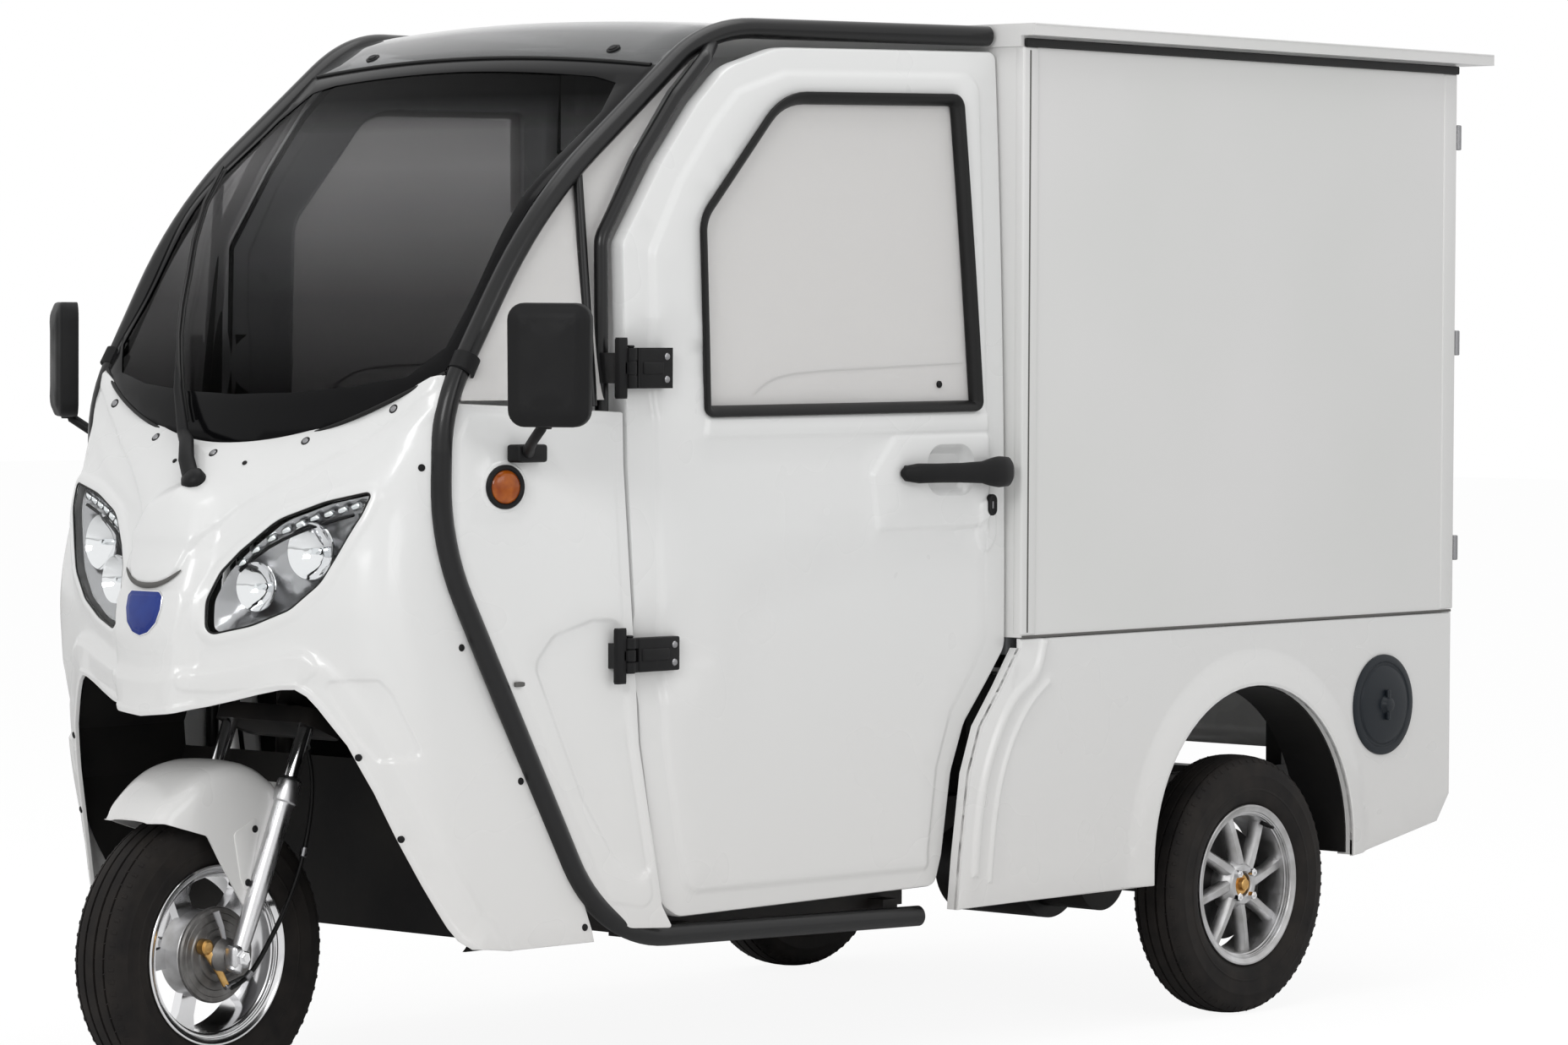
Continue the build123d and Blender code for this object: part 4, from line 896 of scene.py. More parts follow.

# %% [markdown]
# The rear rims are cast: a stepped lip, and eight straight spokes that lean to one side
# and sit deep in the rim. The front rim has a bright stepped lip and five broad arms beside its brake.

# %% Rim barrels
outer_lip = [
    (43.3, 139.5), (43.3, 142.2), (42.4, 143.0), (38.4, 143.0), (38.4, 127.8),
    (-38.4, 127.8), (-38.4, 143.0),
    (-42.4, 143.0), (-43.3, 142.2), (-43.3, 126.0), (-40.0, 122.4), (-30.0, 121.8),
    (24.0, 121.8), (27.0, 123.0),
    (31.0, 123.4), (32.0, 125.6), (35.6, 126.2), (36.6, 129.8), (40.2, 131.4), (41.4, 136.2),
]
barrel_profile = [(a * MM, r * MM) for a, r in outer_lip]
for wheel, (hub, body) in WHEELS.items():
    axis = (-1, 0, 0) if wheel == "rear_right" else (1, 0, 0)
    corners, faces = turned(barrel_profile, hub, axis, 96)
    piece(f"{wheel}_rim_barrel", corners, faces, bright_lip if wheel == "front" else cast_alloy, body,
          "wheel_alloy", 24, [wheel_node("rim", wheel)])
print("barrel corners round:", len(barrel_profile))


# %% Rear spokes, hubs and nuts
def leaning_spoke():
    """One straight spoke from the hub to the barrel, thick in the middle with a soft back."""
    stations = [(0.030, 0.0125, 0.012, 0.030), (0.060, 0.0115, 0.009, 0.029), (0.095, 0.0105, 0.006, 0.026),
                (0.1235, 0.0125, 0.002, 0.022)]
    section = [(-1.0, 0.0), (-0.9, 0.62), (-0.5, 0.94), (0.5, 1.0), (0.9, 0.7), (1.0, 0.0)]
    corners = []
    for reach_out, half, low, high in stations:
        corners += [(s * half, reach_out, low + h * (high - low)) for s, h in section]
    count = len(section)
    faces = wrapped(len(stations), count)
    faces.append(tuple(range(count - 1, -1, -1)))
    faces.append(tuple((len(stations) - 1) * count + k for k in range(count)))
    return cleaned(*moved((corners, faces), turn=(17, (0, 0, 1)), about=(0, 0.030, 0)))


spoke_part = leaning_spoke()
SPOKE_COUNT = 8
hub_profile = [(-6, 46), (14, 46), (20, 43), (27, 38), (31, 36), (32.5, 34), (32.5, 24),
               (30, 22), (22, 21.5)]
cap_profile = [(14, 19), (26, 19), (28, 17.5), (28, 12), (31, 11), (36, 10.5), (37, 9)]
nut_profile = [(0, 7.5), (9, 7.5), (10, 6.6), (10, 3.2), (13, 3.0)]
drum_profile = [(-56, 60), (-56, 96), (-52, 100), (-10, 100), (-6, 96), (-6, 40)]
for side, sign in (("left", 1), ("right", -1)):
    body = f"rear_wheel_{side}"
    hub = WHEELS[f"rear_{side}"][0]
    facing = Vector((sign, 0, 0))
    places = []
    for step in range(SPOKE_COUNT):
        angle = 2 * math.pi * step / SPOKE_COUNT * sign
        places.append((hub, facing, Vector((0, math.cos(angle), math.sin(angle)))))
    copies(f"rear_spokes_{side}", spoke_part, places, cast_alloy, body, "wheel_alloy", 38)
    for name, profile, coat in (("hub", hub_profile, cast_alloy), ("hub_cap", cap_profile, plated_brass),
                                ("brake_drum", drum_profile, chassis_paint)):
        corners, faces = solid_turned([(a * MM, r * MM) for a, r in profile], hub, facing, 48)
        piece(f"rear_{name}_{side}", corners, faces, coat, body, "wheel_alloy")
    nut_places = []
    for step in range(4):
        angle = math.radians(45 + 90 * step)
        out = Vector((0, math.cos(angle), math.sin(angle)))
        nut_places.append((hub + out * 0.029 + facing * 0.0315, facing, out))
    nut = solid_turned([(a * MM, r * MM) for a, r in nut_profile], (0, 0, 0), (0, 0, 1), 6)
    copies(f"rear_wheel_nuts_{side}", nut, nut_places, chrome, body, "wheel_alloy")
print("rear spokes:", SPOKE_COUNT)


# %% Front disc with broad arms
def broad_arm():
    """One broad cast arm of the front rim."""
    stations = [(0.030, 0.020), (0.062, 0.017), (0.098, 0.018), (0.1235, 0.027)]
    corners = []
    for reach_out, half in stations:
        corners += [(-half, reach_out, -0.020), (-half * 0.9, reach_out, -0.004),
                    (half * 0.9, reach_out, -0.004), (half, reach_out, -0.020)]
    return cleaned(corners, wrapped(len(stations), 4) + [(3, 2, 1, 0), (12, 13, 14, 15)])


ARM_COUNT = 5
arm_places = []
for step in range(ARM_COUNT):
    angle = 2 * math.pi * (step + 0.3) / ARM_COUNT
    arm_places.append((front_hub, Vector((1, 0, 0)), Vector((0, math.cos(angle), math.sin(angle)))))
copies("front_rim_arms", broad_arm(), arm_places, bright_lip, "front_wheel", "wheel_alloy", 30)
front_hub_profile = [(-44, 9), (-44, 22), (-40, 24), (-22, 26), (-20, 66), (-16, 69),
                     (24, 70), (27, 68), (27, 62), (3, 61), (2, 9)]
corners, faces = turned([(a * MM, r * MM) for a, r in front_hub_profile], front_hub, (1, 0, 0), 64)
piece("front_hub_drum", corners, faces, cast_alloy, "front_wheel", "wheel_alloy")
valve = solid_turned([(0.0, 0.004), (0.018, 0.004), (0.020, 0.003), (0.030, 0.003)],
                     (0, 0, 0), (0, 0, 1), 12)
valve_places = [(hub + Vector((0.006 if wheel == "front" else math.copysign(0.026, hub.x), 0.06, 0.1058)),
                 Vector((math.copysign(1, hub.x or 1), -0.15, -0.25)).normalized(), Vector((0, 1, 0)))
                for wheel, (hub, body) in WHEELS.items()]
for (wheel, (hub, body)), place in zip(WHEELS.items(), valve_places):
    copies(f"{wheel}_valve", valve, [place], seal_rubber, body, "tyre_rubber")
print("front arms:", ARM_COUNT)

# %% [markdown]
# ## The nose
# The nose is one moulded skin. A table of levels gives its plan shape: a soft centre ridge, a
# flank and a round corner on each side. The skin is then laid out flat: `u` runs along a level
# from the centre line and `v` is the height, so every field can be drawn as a plain outline.

# %% Nose skin
NOSE_LEVELS = np.array([
    # height, centre y, corner x, corner y, side x, side y, corner radius, centre radius
    (248, -1290, 436, -1060, 466, -800, 60, 300),
    (400, -1325, 420, -1110, 446, -875, 70, 300),
    (560, -1352, 404, -1160, 424, -950, 80, 300),
    (680, -1358, 394, -1190, 406, -1000, 90, 280),
    (780, -1344, 380, -1208, 399, -1045, 85, 260),
    (880, -1302, 362, -1204, 394, -1080, 70, 260),
    (965, -1244, 352, -1184, 396, -1095, 60, 300),
    (1045, -1160, 372, -1136, 399, -1095, 40, 500),
    (1150, -1068, 384, -1080, 405, -1060, 14, 500),
], float) * MM


def smooth_rows(xs, rows, at):
    """A natural cubic curve through rows of values."""
    count = len(xs)
    gap = np.diff(xs)
    system = np.eye(count)
    right_side = np.zeros((count, rows.shape[1]))
    for i in range(1, count - 1):
        system[i, i - 1:i + 2] = gap[i - 1], 2 * (gap[i - 1] + gap[i]), gap[i]
        right_side[i] = 6 * ((rows[i + 1] - rows[i]) / gap[i] - (rows[i] - rows[i - 1]) / gap[i - 1])
    curve = np.linalg.solve(system, right_side)
    k = np.clip(np.searchsorted(xs, at) - 1, 0, count - 2)
    h, a, b = gap[k][:, None], (xs[k + 1] - at)[:, None], (at - xs[k])[:, None]
    return ((curve[k] * a ** 3 + curve[k + 1] * b ** 3) / (6 * h)
            + (rows[k] / h - curve[k] * h / 6) * a + (rows[k + 1] / h - curve[k + 1] * h / 6) * b)


def level_points(row, along):
    """Points on one level at distances from the centre line."""
    centre_y, corner_x, corner_y, side_x, side_y, corner_r, centre_r = row
    corner, back = Vector((corner_x, corner_y)), Vector((side_x - corner_x, side_y - corner_y)).normalized()
    to_corner = (corner - Vector((0, centre_y))).normalized()
    half = math.atan2(to_corner.x, to_corner.y)
    path = []
    for k in range(13):
        turn = (math.pi / 2 - half) * k / 12
        path.append((centre_r * math.sin(turn),
                     centre_y + centre_r / math.sin(half) - centre_r * math.cos(turn)))
    inner = (-to_corner).angle(back)
    reach = corner_r / math.tan(inner / 2)
    middle = corner + (back - to_corner).normalized() * corner_r / math.sin(inner / 2)
    start, end = corner - to_corner * reach - middle, corner + back * reach - middle
    sweep = start.angle_signed(end)
    for k in range(13):
        t = -sweep * k / 12
        path.append((middle.x + start.x * math.cos(t) - start.y * math.sin(t),
                     middle.y + start.x * math.sin(t) + start.y * math.cos(t)))
    path.append(tuple(corner + back * 0.45))
    path = np.array(path)
    length = np.concatenate([[0], np.cumsum(np.linalg.norm(np.diff(path, axis=0), axis=1))])
    return np.stack([np.interp(along, length, path[:, k]) for k in (0, 1)], -1)


nose_heights = np.linspace(0.248, 1.150, 226)
nose_steps = np.linspace(0.0, 0.74, 297)
nose_rows = smooth_rows(NOSE_LEVELS[:, 0], NOSE_LEVELS[:, 1:], nose_heights)
nose_grid = np.array([level_points(row, nose_steps) for row in nose_rows])


def nose_lookup(u, v):
    """x and y of the nose skin at a distance along a level and a height."""
    a = np.clip((np.abs(u) - nose_steps[0]) / (nose_steps[1] - nose_steps[0]), 0, len(nose_steps) - 1.001)
    b = np.clip((v - nose_heights[0]) / (nose_heights[1] - nose_heights[0]), 0, len(nose_heights) - 1.001)
    i, j = a.astype(int), b.astype(int)
    fa, fb = (a - i)[:, None], (b - j)[:, None]
    low = nose_grid[j, i] * (1 - fa) + nose_grid[j, i + 1] * fa
    high = nose_grid[j + 1, i] * (1 - fa) + nose_grid[j + 1, i + 1] * fa
    spot = low * (1 - fb) + high * fb
    spot[:, 0] *= np.where(u < 0, -1, 1)
    return spot


def on_nose(u, v, h):
    """Corners on the nose, moved out along its normal by h."""
    u, v = np.asarray(u, float), np.asarray(v, float)
    spot = nose_lookup(u, v)
    step = 0.004
    along = nose_lookup(u + step, v) - nose_lookup(u - step, v)
    rise = nose_lookup(u, v + step) - nose_lookup(u, v - step)
    a = np.column_stack([along, np.zeros(len(u))])
    b = np.column_stack([rise, np.full(len(u), 2 * step)])
    normal = np.cross(a, b)
    normal /= np.linalg.norm(normal, axis=1)[:, None]
    return np.column_stack([spot, v]) + normal * np.asarray(h)[..., None]


def u_of_x(x, v):
    """The distance along a level at which the nose reaches an x."""
    j = int(np.clip(round((v - nose_heights[0]) / (nose_heights[1] - nose_heights[0])), 0, 225))
    return float(np.interp(abs(x), nose_grid[j, :, 0], nose_steps)) * (1 if x >= 0 else -1)


print("nose grid:", nose_grid.shape)

# %% [markdown]
# Outlines on the nose are given in millimetres for its left half and mirrored. The skin ends
# under the roll tubes, along the lower edge of the windscreen and round the wheel opening.

# %% Nose outlines
ROLL_LINE = [(-901, 1404), (-1095, 1092), (-1095, 882), (-805, 252)]


def tube_y(v):
    """The roll tube's y at a height, with its bends rounded off."""
    heights = [row[1] * MM for row in reversed(ROLL_LINE)]
    ys = [row[0] * MM for row in reversed(ROLL_LINE)]
    return sum(float(np.interp(v + d, heights, ys)) for d in (-0.08, -0.04, 0.0, 0.04, 0.08)) / 5


def u_at_tube(v):
    """The distance along a level at which the nose meets the roll tube."""
    j = int(np.clip(round((v - nose_heights[0]) / (nose_heights[1] - nose_heights[0])), 0, 225))
    ys = nose_grid[j, :, 1]
    behind = np.nonzero(ys > tube_y(v) - 0.004)[0]
    return float(nose_steps[behind[0]]) if len(behind) else float(nose_steps[-1])


def screen_edge(x):
    """Height of the windscreen's lower edge."""
    return 1.025 + 0.132 * (x / 0.411) ** 2


def both_sides(half):
    """A left half outline from the centre out and back, closed with its mirror image."""
    return half + [(-a, b) for a, b in reversed(half) if a > 1e-6]


WHEEL_ARCH = [(0, 613), (60, 619), (107, 628), (150, 639), (186, 649), (220, 657), (241, 658),
              (258, 648), (273, 630),
              (310, 574), (338, 501), (358, 431), (382, 357), (406, 291), (416, 270),
              (428, 256), (444, 248)]
arch_half = [(u_of_x(x * MM, z * MM), z * MM) for x, z in WHEEL_ARCH]
nose_edge = list(arch_half)
nose_edge += [(u_at_tube(z), z) for z in np.linspace(0.250, 1.10, 44)]
top_x = np.linspace(0.392, 0.0, 22)
nose_edge += [(u_of_x(x, screen_edge(x)), screen_edge(x)) for x in top_x]
half_low = divided(nose_edge + [nose_edge[0]], 0.012)
nose_half = [tuple(p) for p in half_low if p[0] > 1e-4]
nose_outline = np.array([nose_edge[0]] + nose_half + [nose_edge[-1]]
                        + [(-a, b) for a, b in reversed(nose_half)])
keep = [0] + [i for i in range(1, len(nose_outline))
              if np.linalg.norm(nose_outline[i] - nose_outline[i - 1]) > 0.001]
nose_outline = nose_outline[keep]
LAMP_OUTLINE = [(103, 737), (98, 790), (112, 834), (136, 866), (186, 915), (262, 944), (339, 961),
                (331, 926), (301, 862), (281, 822), (235, 780), (175, 754)]
LAMP_RADII = [16, 40, 40, 60, 80, 200, 7, 60, 120, 60, 60, 120]
lamp_corners = [(u_of_x(x * MM, z * MM), z * MM) for x, z in LAMP_OUTLINE]
lamp_outline = rounded(lamp_corners, [r * MM for r in LAMP_RADII], 0.010)
print("nose outline:", len(nose_outline), "lamp outline:", len(lamp_outline))

# %% Nose fields
HOOD_LINE = [(0, 808), (22, 810), (40, 817), (50, 832), (58, 858), (80, 897), (112, 930), (150, 957),
             (200, 988), (262, 1022), (330, 1070), (400, 1130), (430, 1200), (0, 1200)]
BROW_LINE = [(0, 868), (70, 868), (92, 895), (128, 922), (185, 943), (268, 978), (350, 1034), (400, 1090),
             (430, 1180), (0, 1180)]
RIDGE = [(0, 540), (58, 540), (74, 670), (82, 760), (82, 850), (62, 930), (0, 955)]
BADGE_PAD = [(0, 708), (34, 710), (62, 724), (74, 786), (62, 802), (0, 797)]
CHIN_LINE = [(66, 682), (108, 680), (192, 699), (276, 716), (300, 690), (262, 664), (120, 650), (66, 652)]
LEG_FIELD = [(301, 671), (392, 674), (412, 652), (452, 556), (380, 549), (347, 589), (318, 641)]


def field(points, radius=0.012, step=0.010):
    """An outline in metres with soft corners."""
    points = [(a * MM, b * MM) for a, b in points]
    return rounded(points, [radius] * len(points), step)


arch_band = arch_half[:-1] + [(arch_half[-1][0], 0.10)]
arch_line = divided(both_sides(arch_band), 0.012)
arch_band, arch_flank = ring(arch_line, 0.011), ring(arch_line, 0.060)
nose_fields = [
    (field(both_sides(HOOD_LINE)), 0.0060, 0.0045),
    (field(both_sides(BROW_LINE), 0.03), 0.0050, 0.012),
    (field(both_sides(RIDGE), 0.02), 0.0210, 0.020),
    (field(both_sides(BADGE_PAD)), 0.0030, 0.005),
    (arch_band, 0.0035, 0.0030),
    (arch_flank, 0.0065, 0.0120),
    (ring(lamp_outline, 0.016), 0.0050, 0.007),
    (ring(lamp_outline * (-1, 1), 0.016), 0.0050, 0.007),
]
for points, rise, soft in ((CHIN_LINE, 0.0042, 0.005), (LEG_FIELD, -0.0050, 0.005)):
    shape = field(points)
    nose_fields += [(shape, rise, soft), (shape[::-1] * (-1, 1), rise, soft)]
lamp_hole = ring(lamp_outline, 0.0012)
corners, faces = panel(nose_outline, nose_fields, on_nose, 0.0045,
                       holes=(lamp_hole, lamp_hole[::-1] * (-1, 1)), edge=0.002, grid=0.022)
piece("nose_skin", corners, faces, white_coat, "root", "body_white", 30, ["front_fairing"])
print("nose corners:", len(corners))

# %% [markdown]
# ## Headlamps
# Each lamp has a clear cover that follows the nose, a dark rubber line round it, a grey tray
# behind, a strip of small bright beads along its upper edge and two mirror bowls.

# %% Headlamp pieces
def nose_sheet(outline, height, thickness, edge=0.001, grid=0.02, holes=()):
    """A plain sheet that follows the nose at a height above its skin."""
    return panel(outline, [], lambda u, v, h: on_nose(u, v, h + height), thickness, holes, edge, grid)


def lamp_point(u, v, depth):
    """A point behind the nose skin, moved straight back along the vehicle."""
    spot = nose_lookup(np.array([u]), np.array([v]))[0]
    return Vector((spot[0], spot[1] + depth, v))


cover = nose_sheet(lamp_outline, 0.0030, 0.0030, 0.0022, 0.016)
pair("lamp_cover", *cover, lamp_cover, "root", "clear_glass", 40, ["headlamp_SIDE"])
lamp_seam = [tuple(p) for p in on_nose(*ring(lamp_outline, 0.0002).T, np.full(len(lamp_outline), 0.0022))]
pair("lamp_seal", *bar(lamp_seam, 0.0019, 8, closed=True), seal_rubber, "root", "dark_plastic")
tray = panel(ring(lamp_outline, -0.0015), [],
             lambda u, v, h: on_nose(u, v, np.zeros(len(u))) + np.column_stack(
                 [np.zeros(len(u)), 0.012 + 0.030 * np.clip(-signed_distance(
                     np.column_stack([u, v]), lamp_outline) / 0.03, 0, 1) - h, np.zeros(len(u))]),
             0.003, edge=0.001, grid=0.012)
pair("lamp_tray", *tray, lamp_bezel, "root", "lamp_lens", 50)


def dish(centre, radius, depth, facing=(0.15, -1.0, 0.05)):
    """A round mirror bowl with a thin wall and a bulb in its middle."""
    profile = [(depth * (k / 8) ** 2, radius * k / 8) for k in range(9)]
    profile += [(a - 0.002, r + 0.001 * (k > 0)) for k, (a, r) in reversed(list(enumerate(profile)))]
    bowl = turned(profile, centre, facing, 40, closed=True)
    bulb = solid_turned([(0.002, 0.005), (depth * 0.8, 0.005), (depth, 0.003)], centre, facing, 16)
    return bowl, bulb


def bowl_centre(x, z, depth):
    """The bottom of a bowl behind the cover."""
    return lamp_point(u_of_x(x * MM, z * MM), z * MM, depth)


bowls = [dish(bowl_centre(x, z, 0.040), r * MM, 0.024) for x, z, r in ((238, 868, 44), (158, 812, 38))]
pair("lamp_bowls", *joined(*[b[0] for b in bowls]), lamp_mirror, "root", "bright_steel", 60)
pair("lamp_bulbs", *joined(*[b[1] for b in bowls]), mirror_glass, "root", "lamp_lens", 40)
upper_edge = [(132, 858), (150, 878), (172, 896), (194, 909), (216, 919), (239, 928), (262, 935),
              (285, 942), (307, 948)]
bead = rounded_block((-0.0085, -0.0055, -0.006), (0.0085, 0.0055, 0.006), 0.0035, 2)
bead_places = []
for x, z in upper_edge:
    spot = lamp_point(u_of_x(x * MM, (z - 9) * MM), (z - 9) * MM, 0.014)
    bead_places.append((spot, Vector((0.2, -1, 0.05)), Vector((0.9, 0.2, 0.4))))
copies_pair("lamp_beads", bead, bead_places, mirror_glass, "root", "lamp_lens", smooth=50)
strip_low = [lamp_point(u_of_x(x * MM, (z - 22) * MM), (z - 22) * MM, 0.012) for x, z in upper_edge]
pair("lamp_strip", *bar(strip_low, 0.0028, 10), black_plastic, "root", "dark_plastic")
print("lamp cover corners:", len(cover[0]))

# %% [markdown]
# ## Windscreen and roof
# Both are one arched sheet. `u` is the distance across and `v` runs up the profile. The
# windscreen is smoked, with a painted black border; the roof over the cab is a smoked sheet
# that lets less light through.

# %% Sheet profile
SHEET_ROWS = np.array([
    # y, z, facing y, facing z, bulge, half width
    (-1103, 1000, -1.0, 0.0, 64, 392),
    (-1098, 1092, -0.96, 0.28, 62, 394),
    (-1004, 1250, -0.848, 0.53, 50, 397),
    (-897, 1405, -0.74, 0.673, 40, 400),
    (-756, 1520, -0.61, 0.792, 33, 402),
    (-610, 1634, -0.59, 0.807, 27, 404),
    (-500, 1694, -0.27, 0.963, 22, 406),
    (-390, 1707, 0.0, 1.0, 18, 424),
    (-230, 1710, 0.0, 1.0, 17, 446),
    (-60, 1713, 0.0, 1.0, 15, 469),
    (98, 1715, 0.0, 1.0, 13, 490),
], float)
screen_rows, roof_rows = SHEET_ROWS[:6], SHEET_ROWS[5:]


def sheet_place(rows):
    """A place function for one part of the sheet, and the v of each of its rows."""
    run = np.concatenate([[0], np.cumsum(np.linalg.norm(np.diff(rows[:, :2], axis=0), axis=1))]) * MM

    def place(u, v, h):
        row = smooth_rows(run, rows, np.clip(np.asarray(v, float), run[0], run[-1]))
        facing = row[:, 2:4] / np.linalg.norm(row[:, 2:4], axis=1)[:, None]
        arch = row[:, 4] * MM * (1 - (np.asarray(u) / (row[:, 5] * MM)) ** 2) + h
        return np.column_stack([u, row[:, 0] * MM + facing[:, 0] * arch,
                                row[:, 1] * MM + facing[:, 1] * arch])

    return place, run


on_screen, screen_run = sheet_place(screen_rows)
on_roof, roof_run = sheet_place(roof_rows)


def screen_v(z, x):
    """The v at which the screen reaches a height at a distance across."""
    vs = np.linspace(screen_run[0], screen_run[-1], 200)
    return float(np.interp(z, on_screen(np.full(200, x), vs, 0.0)[:, 2], vs))


print("screen length:", round(screen_run[-1], 3), "roof length:", round(roof_run[-1], 3))


# %% Windscreen with its black border
def half_at(rows, run, v):
    """Half width of the sheet at v, less the part under the tube."""
    return float(np.interp(v, run, rows[:, 5])) * MM - 0.004


screen_half = [(x, screen_v(screen_edge(x) + 0.001, x)) for x in np.linspace(0.0, 0.386, 14)]
screen_half += [(half_at(screen_rows, screen_run, v), v)
                for v in np.linspace(screen_half[-1][1] + 0.02, screen_run[-1] - 0.001, 22)]
screen_half += [(x, screen_run[-1] - 0.001) for x in np.linspace(0.38, 0.0, 14)]
screen_outline = divided(both_sides(screen_half), 0.02)
corners, faces = panel(screen_outline, [], on_screen, 0.005, edge=0.001, grid=0.03)
piece("screen_sheet", corners, faces, smoked_screen_painted_shade, "root", "clear_glass", 40, ["windscreen"])
top_v = screen_run[-1]
CLEAR_PART = [(0.0, 0.158), (0.12, 0.163), (0.24, 0.178), (0.33, 0.203), (0.372, 0.26),
              (0.372, top_v - 0.13), (0.35, top_v - 0.055), (0.30, top_v - 0.044), (0.0, top_v - 0.040)]
low_v = screen_v(screen_edge(0.0), 0.0)
clear_outline = divided(both_sides([(x, v + low_v - 0.088 if v < 0.27 else v) for x, v in CLEAR_PART]),
                        0.02)
corners, faces = panel(screen_outline, [], lambda u, v, h: on_screen(u, v, h + 0.0016), 0.0010,
                       holes=(clear_outline,), edge=0.0003, grid=0.022)
piece("screen_border", corners, faces, black_gloss, "root", "dark_plastic", 40)
roof_half = [(x, 0.0015) for x in np.linspace(0.0, 0.38, 10)]
roof_half += [(half_at(roof_rows, roof_run, v), v) for v in np.linspace(0.0015, roof_run[-1] - 0.001, 26)]
roof_half += [(x, roof_run[-1] - 0.001) for x in np.linspace(0.46, 0.0, 12)]
roof_outline = divided(both_sides(roof_half), 0.025)
corners, faces = panel(roof_outline, [], on_roof, 0.005, edge=0.001, grid=0.06)
piece("roof_sheet", corners, faces, smoked_roof, "root", "clear_glass", 40, ["cab_roof"])
seam = [tuple(p) for p in on_screen(np.linspace(-0.385, 0.385, 40), np.full(40, top_v - 0.001),
                                    np.full(40, 0.001))]
piece("roof_seam", *bar(seam, 0.0035, 10), seal_rubber, "root", "dark_plastic")
lower_seam = [tuple(on_screen([x], [screen_v(screen_edge(x), x)], [0.001])[0])
              for x in np.linspace(-0.39, 0.39, 48)]
piece("screen_seal", *bar(lower_seam, 0.0035, 10), seal_rubber, "root", "dark_plastic")
print("screen corners:", len(screen_outline))

# %% [markdown]
# Bolts with black washers hold the sheet, and small screws hold the nose. All of them are
# copies of two parts.

# %% Screws and bolts
screw_head = solid_turned([(-0.002, 0.0058), (0.0006, 0.0058), (0.0022, 0.0046), (0.0030, 0.0024)],
                          (0, 0, 0), (0, 0, 1), 16)
screw_ring = solid_turned([(-0.002, 0.0080), (0.0004, 0.0080), (0.0008, 0.0074)], (0, 0, 0), (0, 0, 1), 16)
screw_dot = solid_turned([(-0.002, 0.0042), (0.0014, 0.0042), (0.0024, 0.0026)], (0, 0, 0), (0, 0, 1), 14)


def normal_places(place, spots, rise=0.0):
    """Where a small part sits on a skin: point, outward direction, sideways direction."""
    result = []
    for u, v in spots:
        point, out = (Vector(place(np.array([u]), np.array([v]), np.array([rise + h]))[0])
                      for h in (0.0, 0.01))
        facing = (out - point).normalized()
        result.append((point, facing, facing.orthogonal()))
    return result


NOSE_SCREWS = [(999, 30), (720, 30), (509, 26), (274, 14)]
screw_spots = [(u_at_tube(z * MM) - inset * MM, z * MM) for z, inset in NOSE_SCREWS]
copies_pair("nose_screws", screw_head, normal_places(on_nose, screw_spots), black_plastic,
            "root", "dark_plastic")
arch_screws = [(u_of_x(x * MM, z * MM) + 0.007, z * MM) for x, z in ((318, 556), (359, 430))]
copies_pair("arch_screws", screw_head, normal_places(on_nose, arch_screws, 0.0095), black_plastic,
            "root", "dark_plastic")
edge_spots = [(u_of_x(x * MM, z * MM), z * MM) for x, z in ((0, 1008), (172, 1030), (321, 1083))]
dot_spots = [(0.080, 0.994)]
copies_pair("hood_screws", screw_dot, normal_places(on_nose, dot_spots, 0.011), black_plastic,
            "root", "dark_plastic")
for name, part, coat in (("edge_screws", screw_head, screw_steel),
                         ("edge_washers", screw_ring, black_plastic)):
    copies_pair(name, part, normal_places(on_nose, edge_spots[1:], 0.011), coat, "root", "bright_steel")
    copies(name + "_middle", part, normal_places(on_nose, edge_spots[:1], 0.011), coat,
           "root", "bright_steel")
roof_spots = [(0.278, 0.035), (0.278, roof_run[-1] - 0.06)]
roof_bolt = solid_turned([(-0.002, 0.012), (0.0016, 0.012), (0.0022, 0.008), (0.0042, 0.007)],
                         (0, 0, 0), (0, 0, 1), 20)
copies_pair("roof_bolts", roof_bolt, normal_places(on_roof, roof_spots), black_plastic,
            "root", "dark_plastic")
print("nose screws:", len(NOSE_SCREWS))

# %% [markdown]
# ## Badge, smile line and wiper
# The badge is a plain enamel shield on the centre line. The dark line above it is a bar of
# painted shade in the gap under the hood's edge.

# %% Badge and smile line
def ridge_height(u):
    """How far the centre ridge stands out at the height of the smile line."""
    return 0.0210 * soft_step(np.abs(u) - 0.080, 0.020)


BADGE = [(0, 733), (16, 738), (30, 752), (36, 772), (36, 790), (29, 797), (0, 797)]
badge_outline = field(both_sides(BADGE), 0.006, 0.005)
badge = panel(badge_outline, [(ring(badge_outline, -0.006), 0.0010, 0.0015)],
              lambda u, v, h: on_nose(u, v, h + 0.0265), 0.004, edge=0.0015, grid=0.01)
piece("badge", *badge, badge_enamel, "root", "body_white", 35)
rim = [tuple(p) for p in on_nose(*badge_outline.T, np.full(len(badge_outline), 0.0248))]
piece("badge_rim", *bar(rim, 0.0014, 8, closed=True), bright_lip, "root", "bright_steel")
smile_u = np.linspace(-0.058, 0.058, 31)
smile_v = 0.8055 + 0.024 * (np.abs(smile_u) / 0.058) ** 2.4
smile = [tuple(p) for p in on_nose(smile_u, smile_v, ridge_height(smile_u) + 0.0034)]
smile_r = [0.0008 + 0.0036 * math.sin(math.pi * k / 30) ** 0.5 for k in range(31)]
# painted shade: a dark bar where the hood's edge overhangs
piece("smile_line", *bar(smile, smile_r, 10), shadow_grey, "root", "dark_plastic")
print("badge corners:", len(badge[0]))

# %% Wiper
BLADE = [(-100, 1062), (-120, 1108), (-146, 1150), (-185, 1195), (-225, 1240), (-262, 1292), (-296, 1346),
         (-328, 1408), (-366, 1468)]


def over_screen(x, z, h):
    """A point above the windscreen."""
    return Vector(on_screen([x * MM], [screen_v(z * MM, x * MM)], [h * MM])[0])


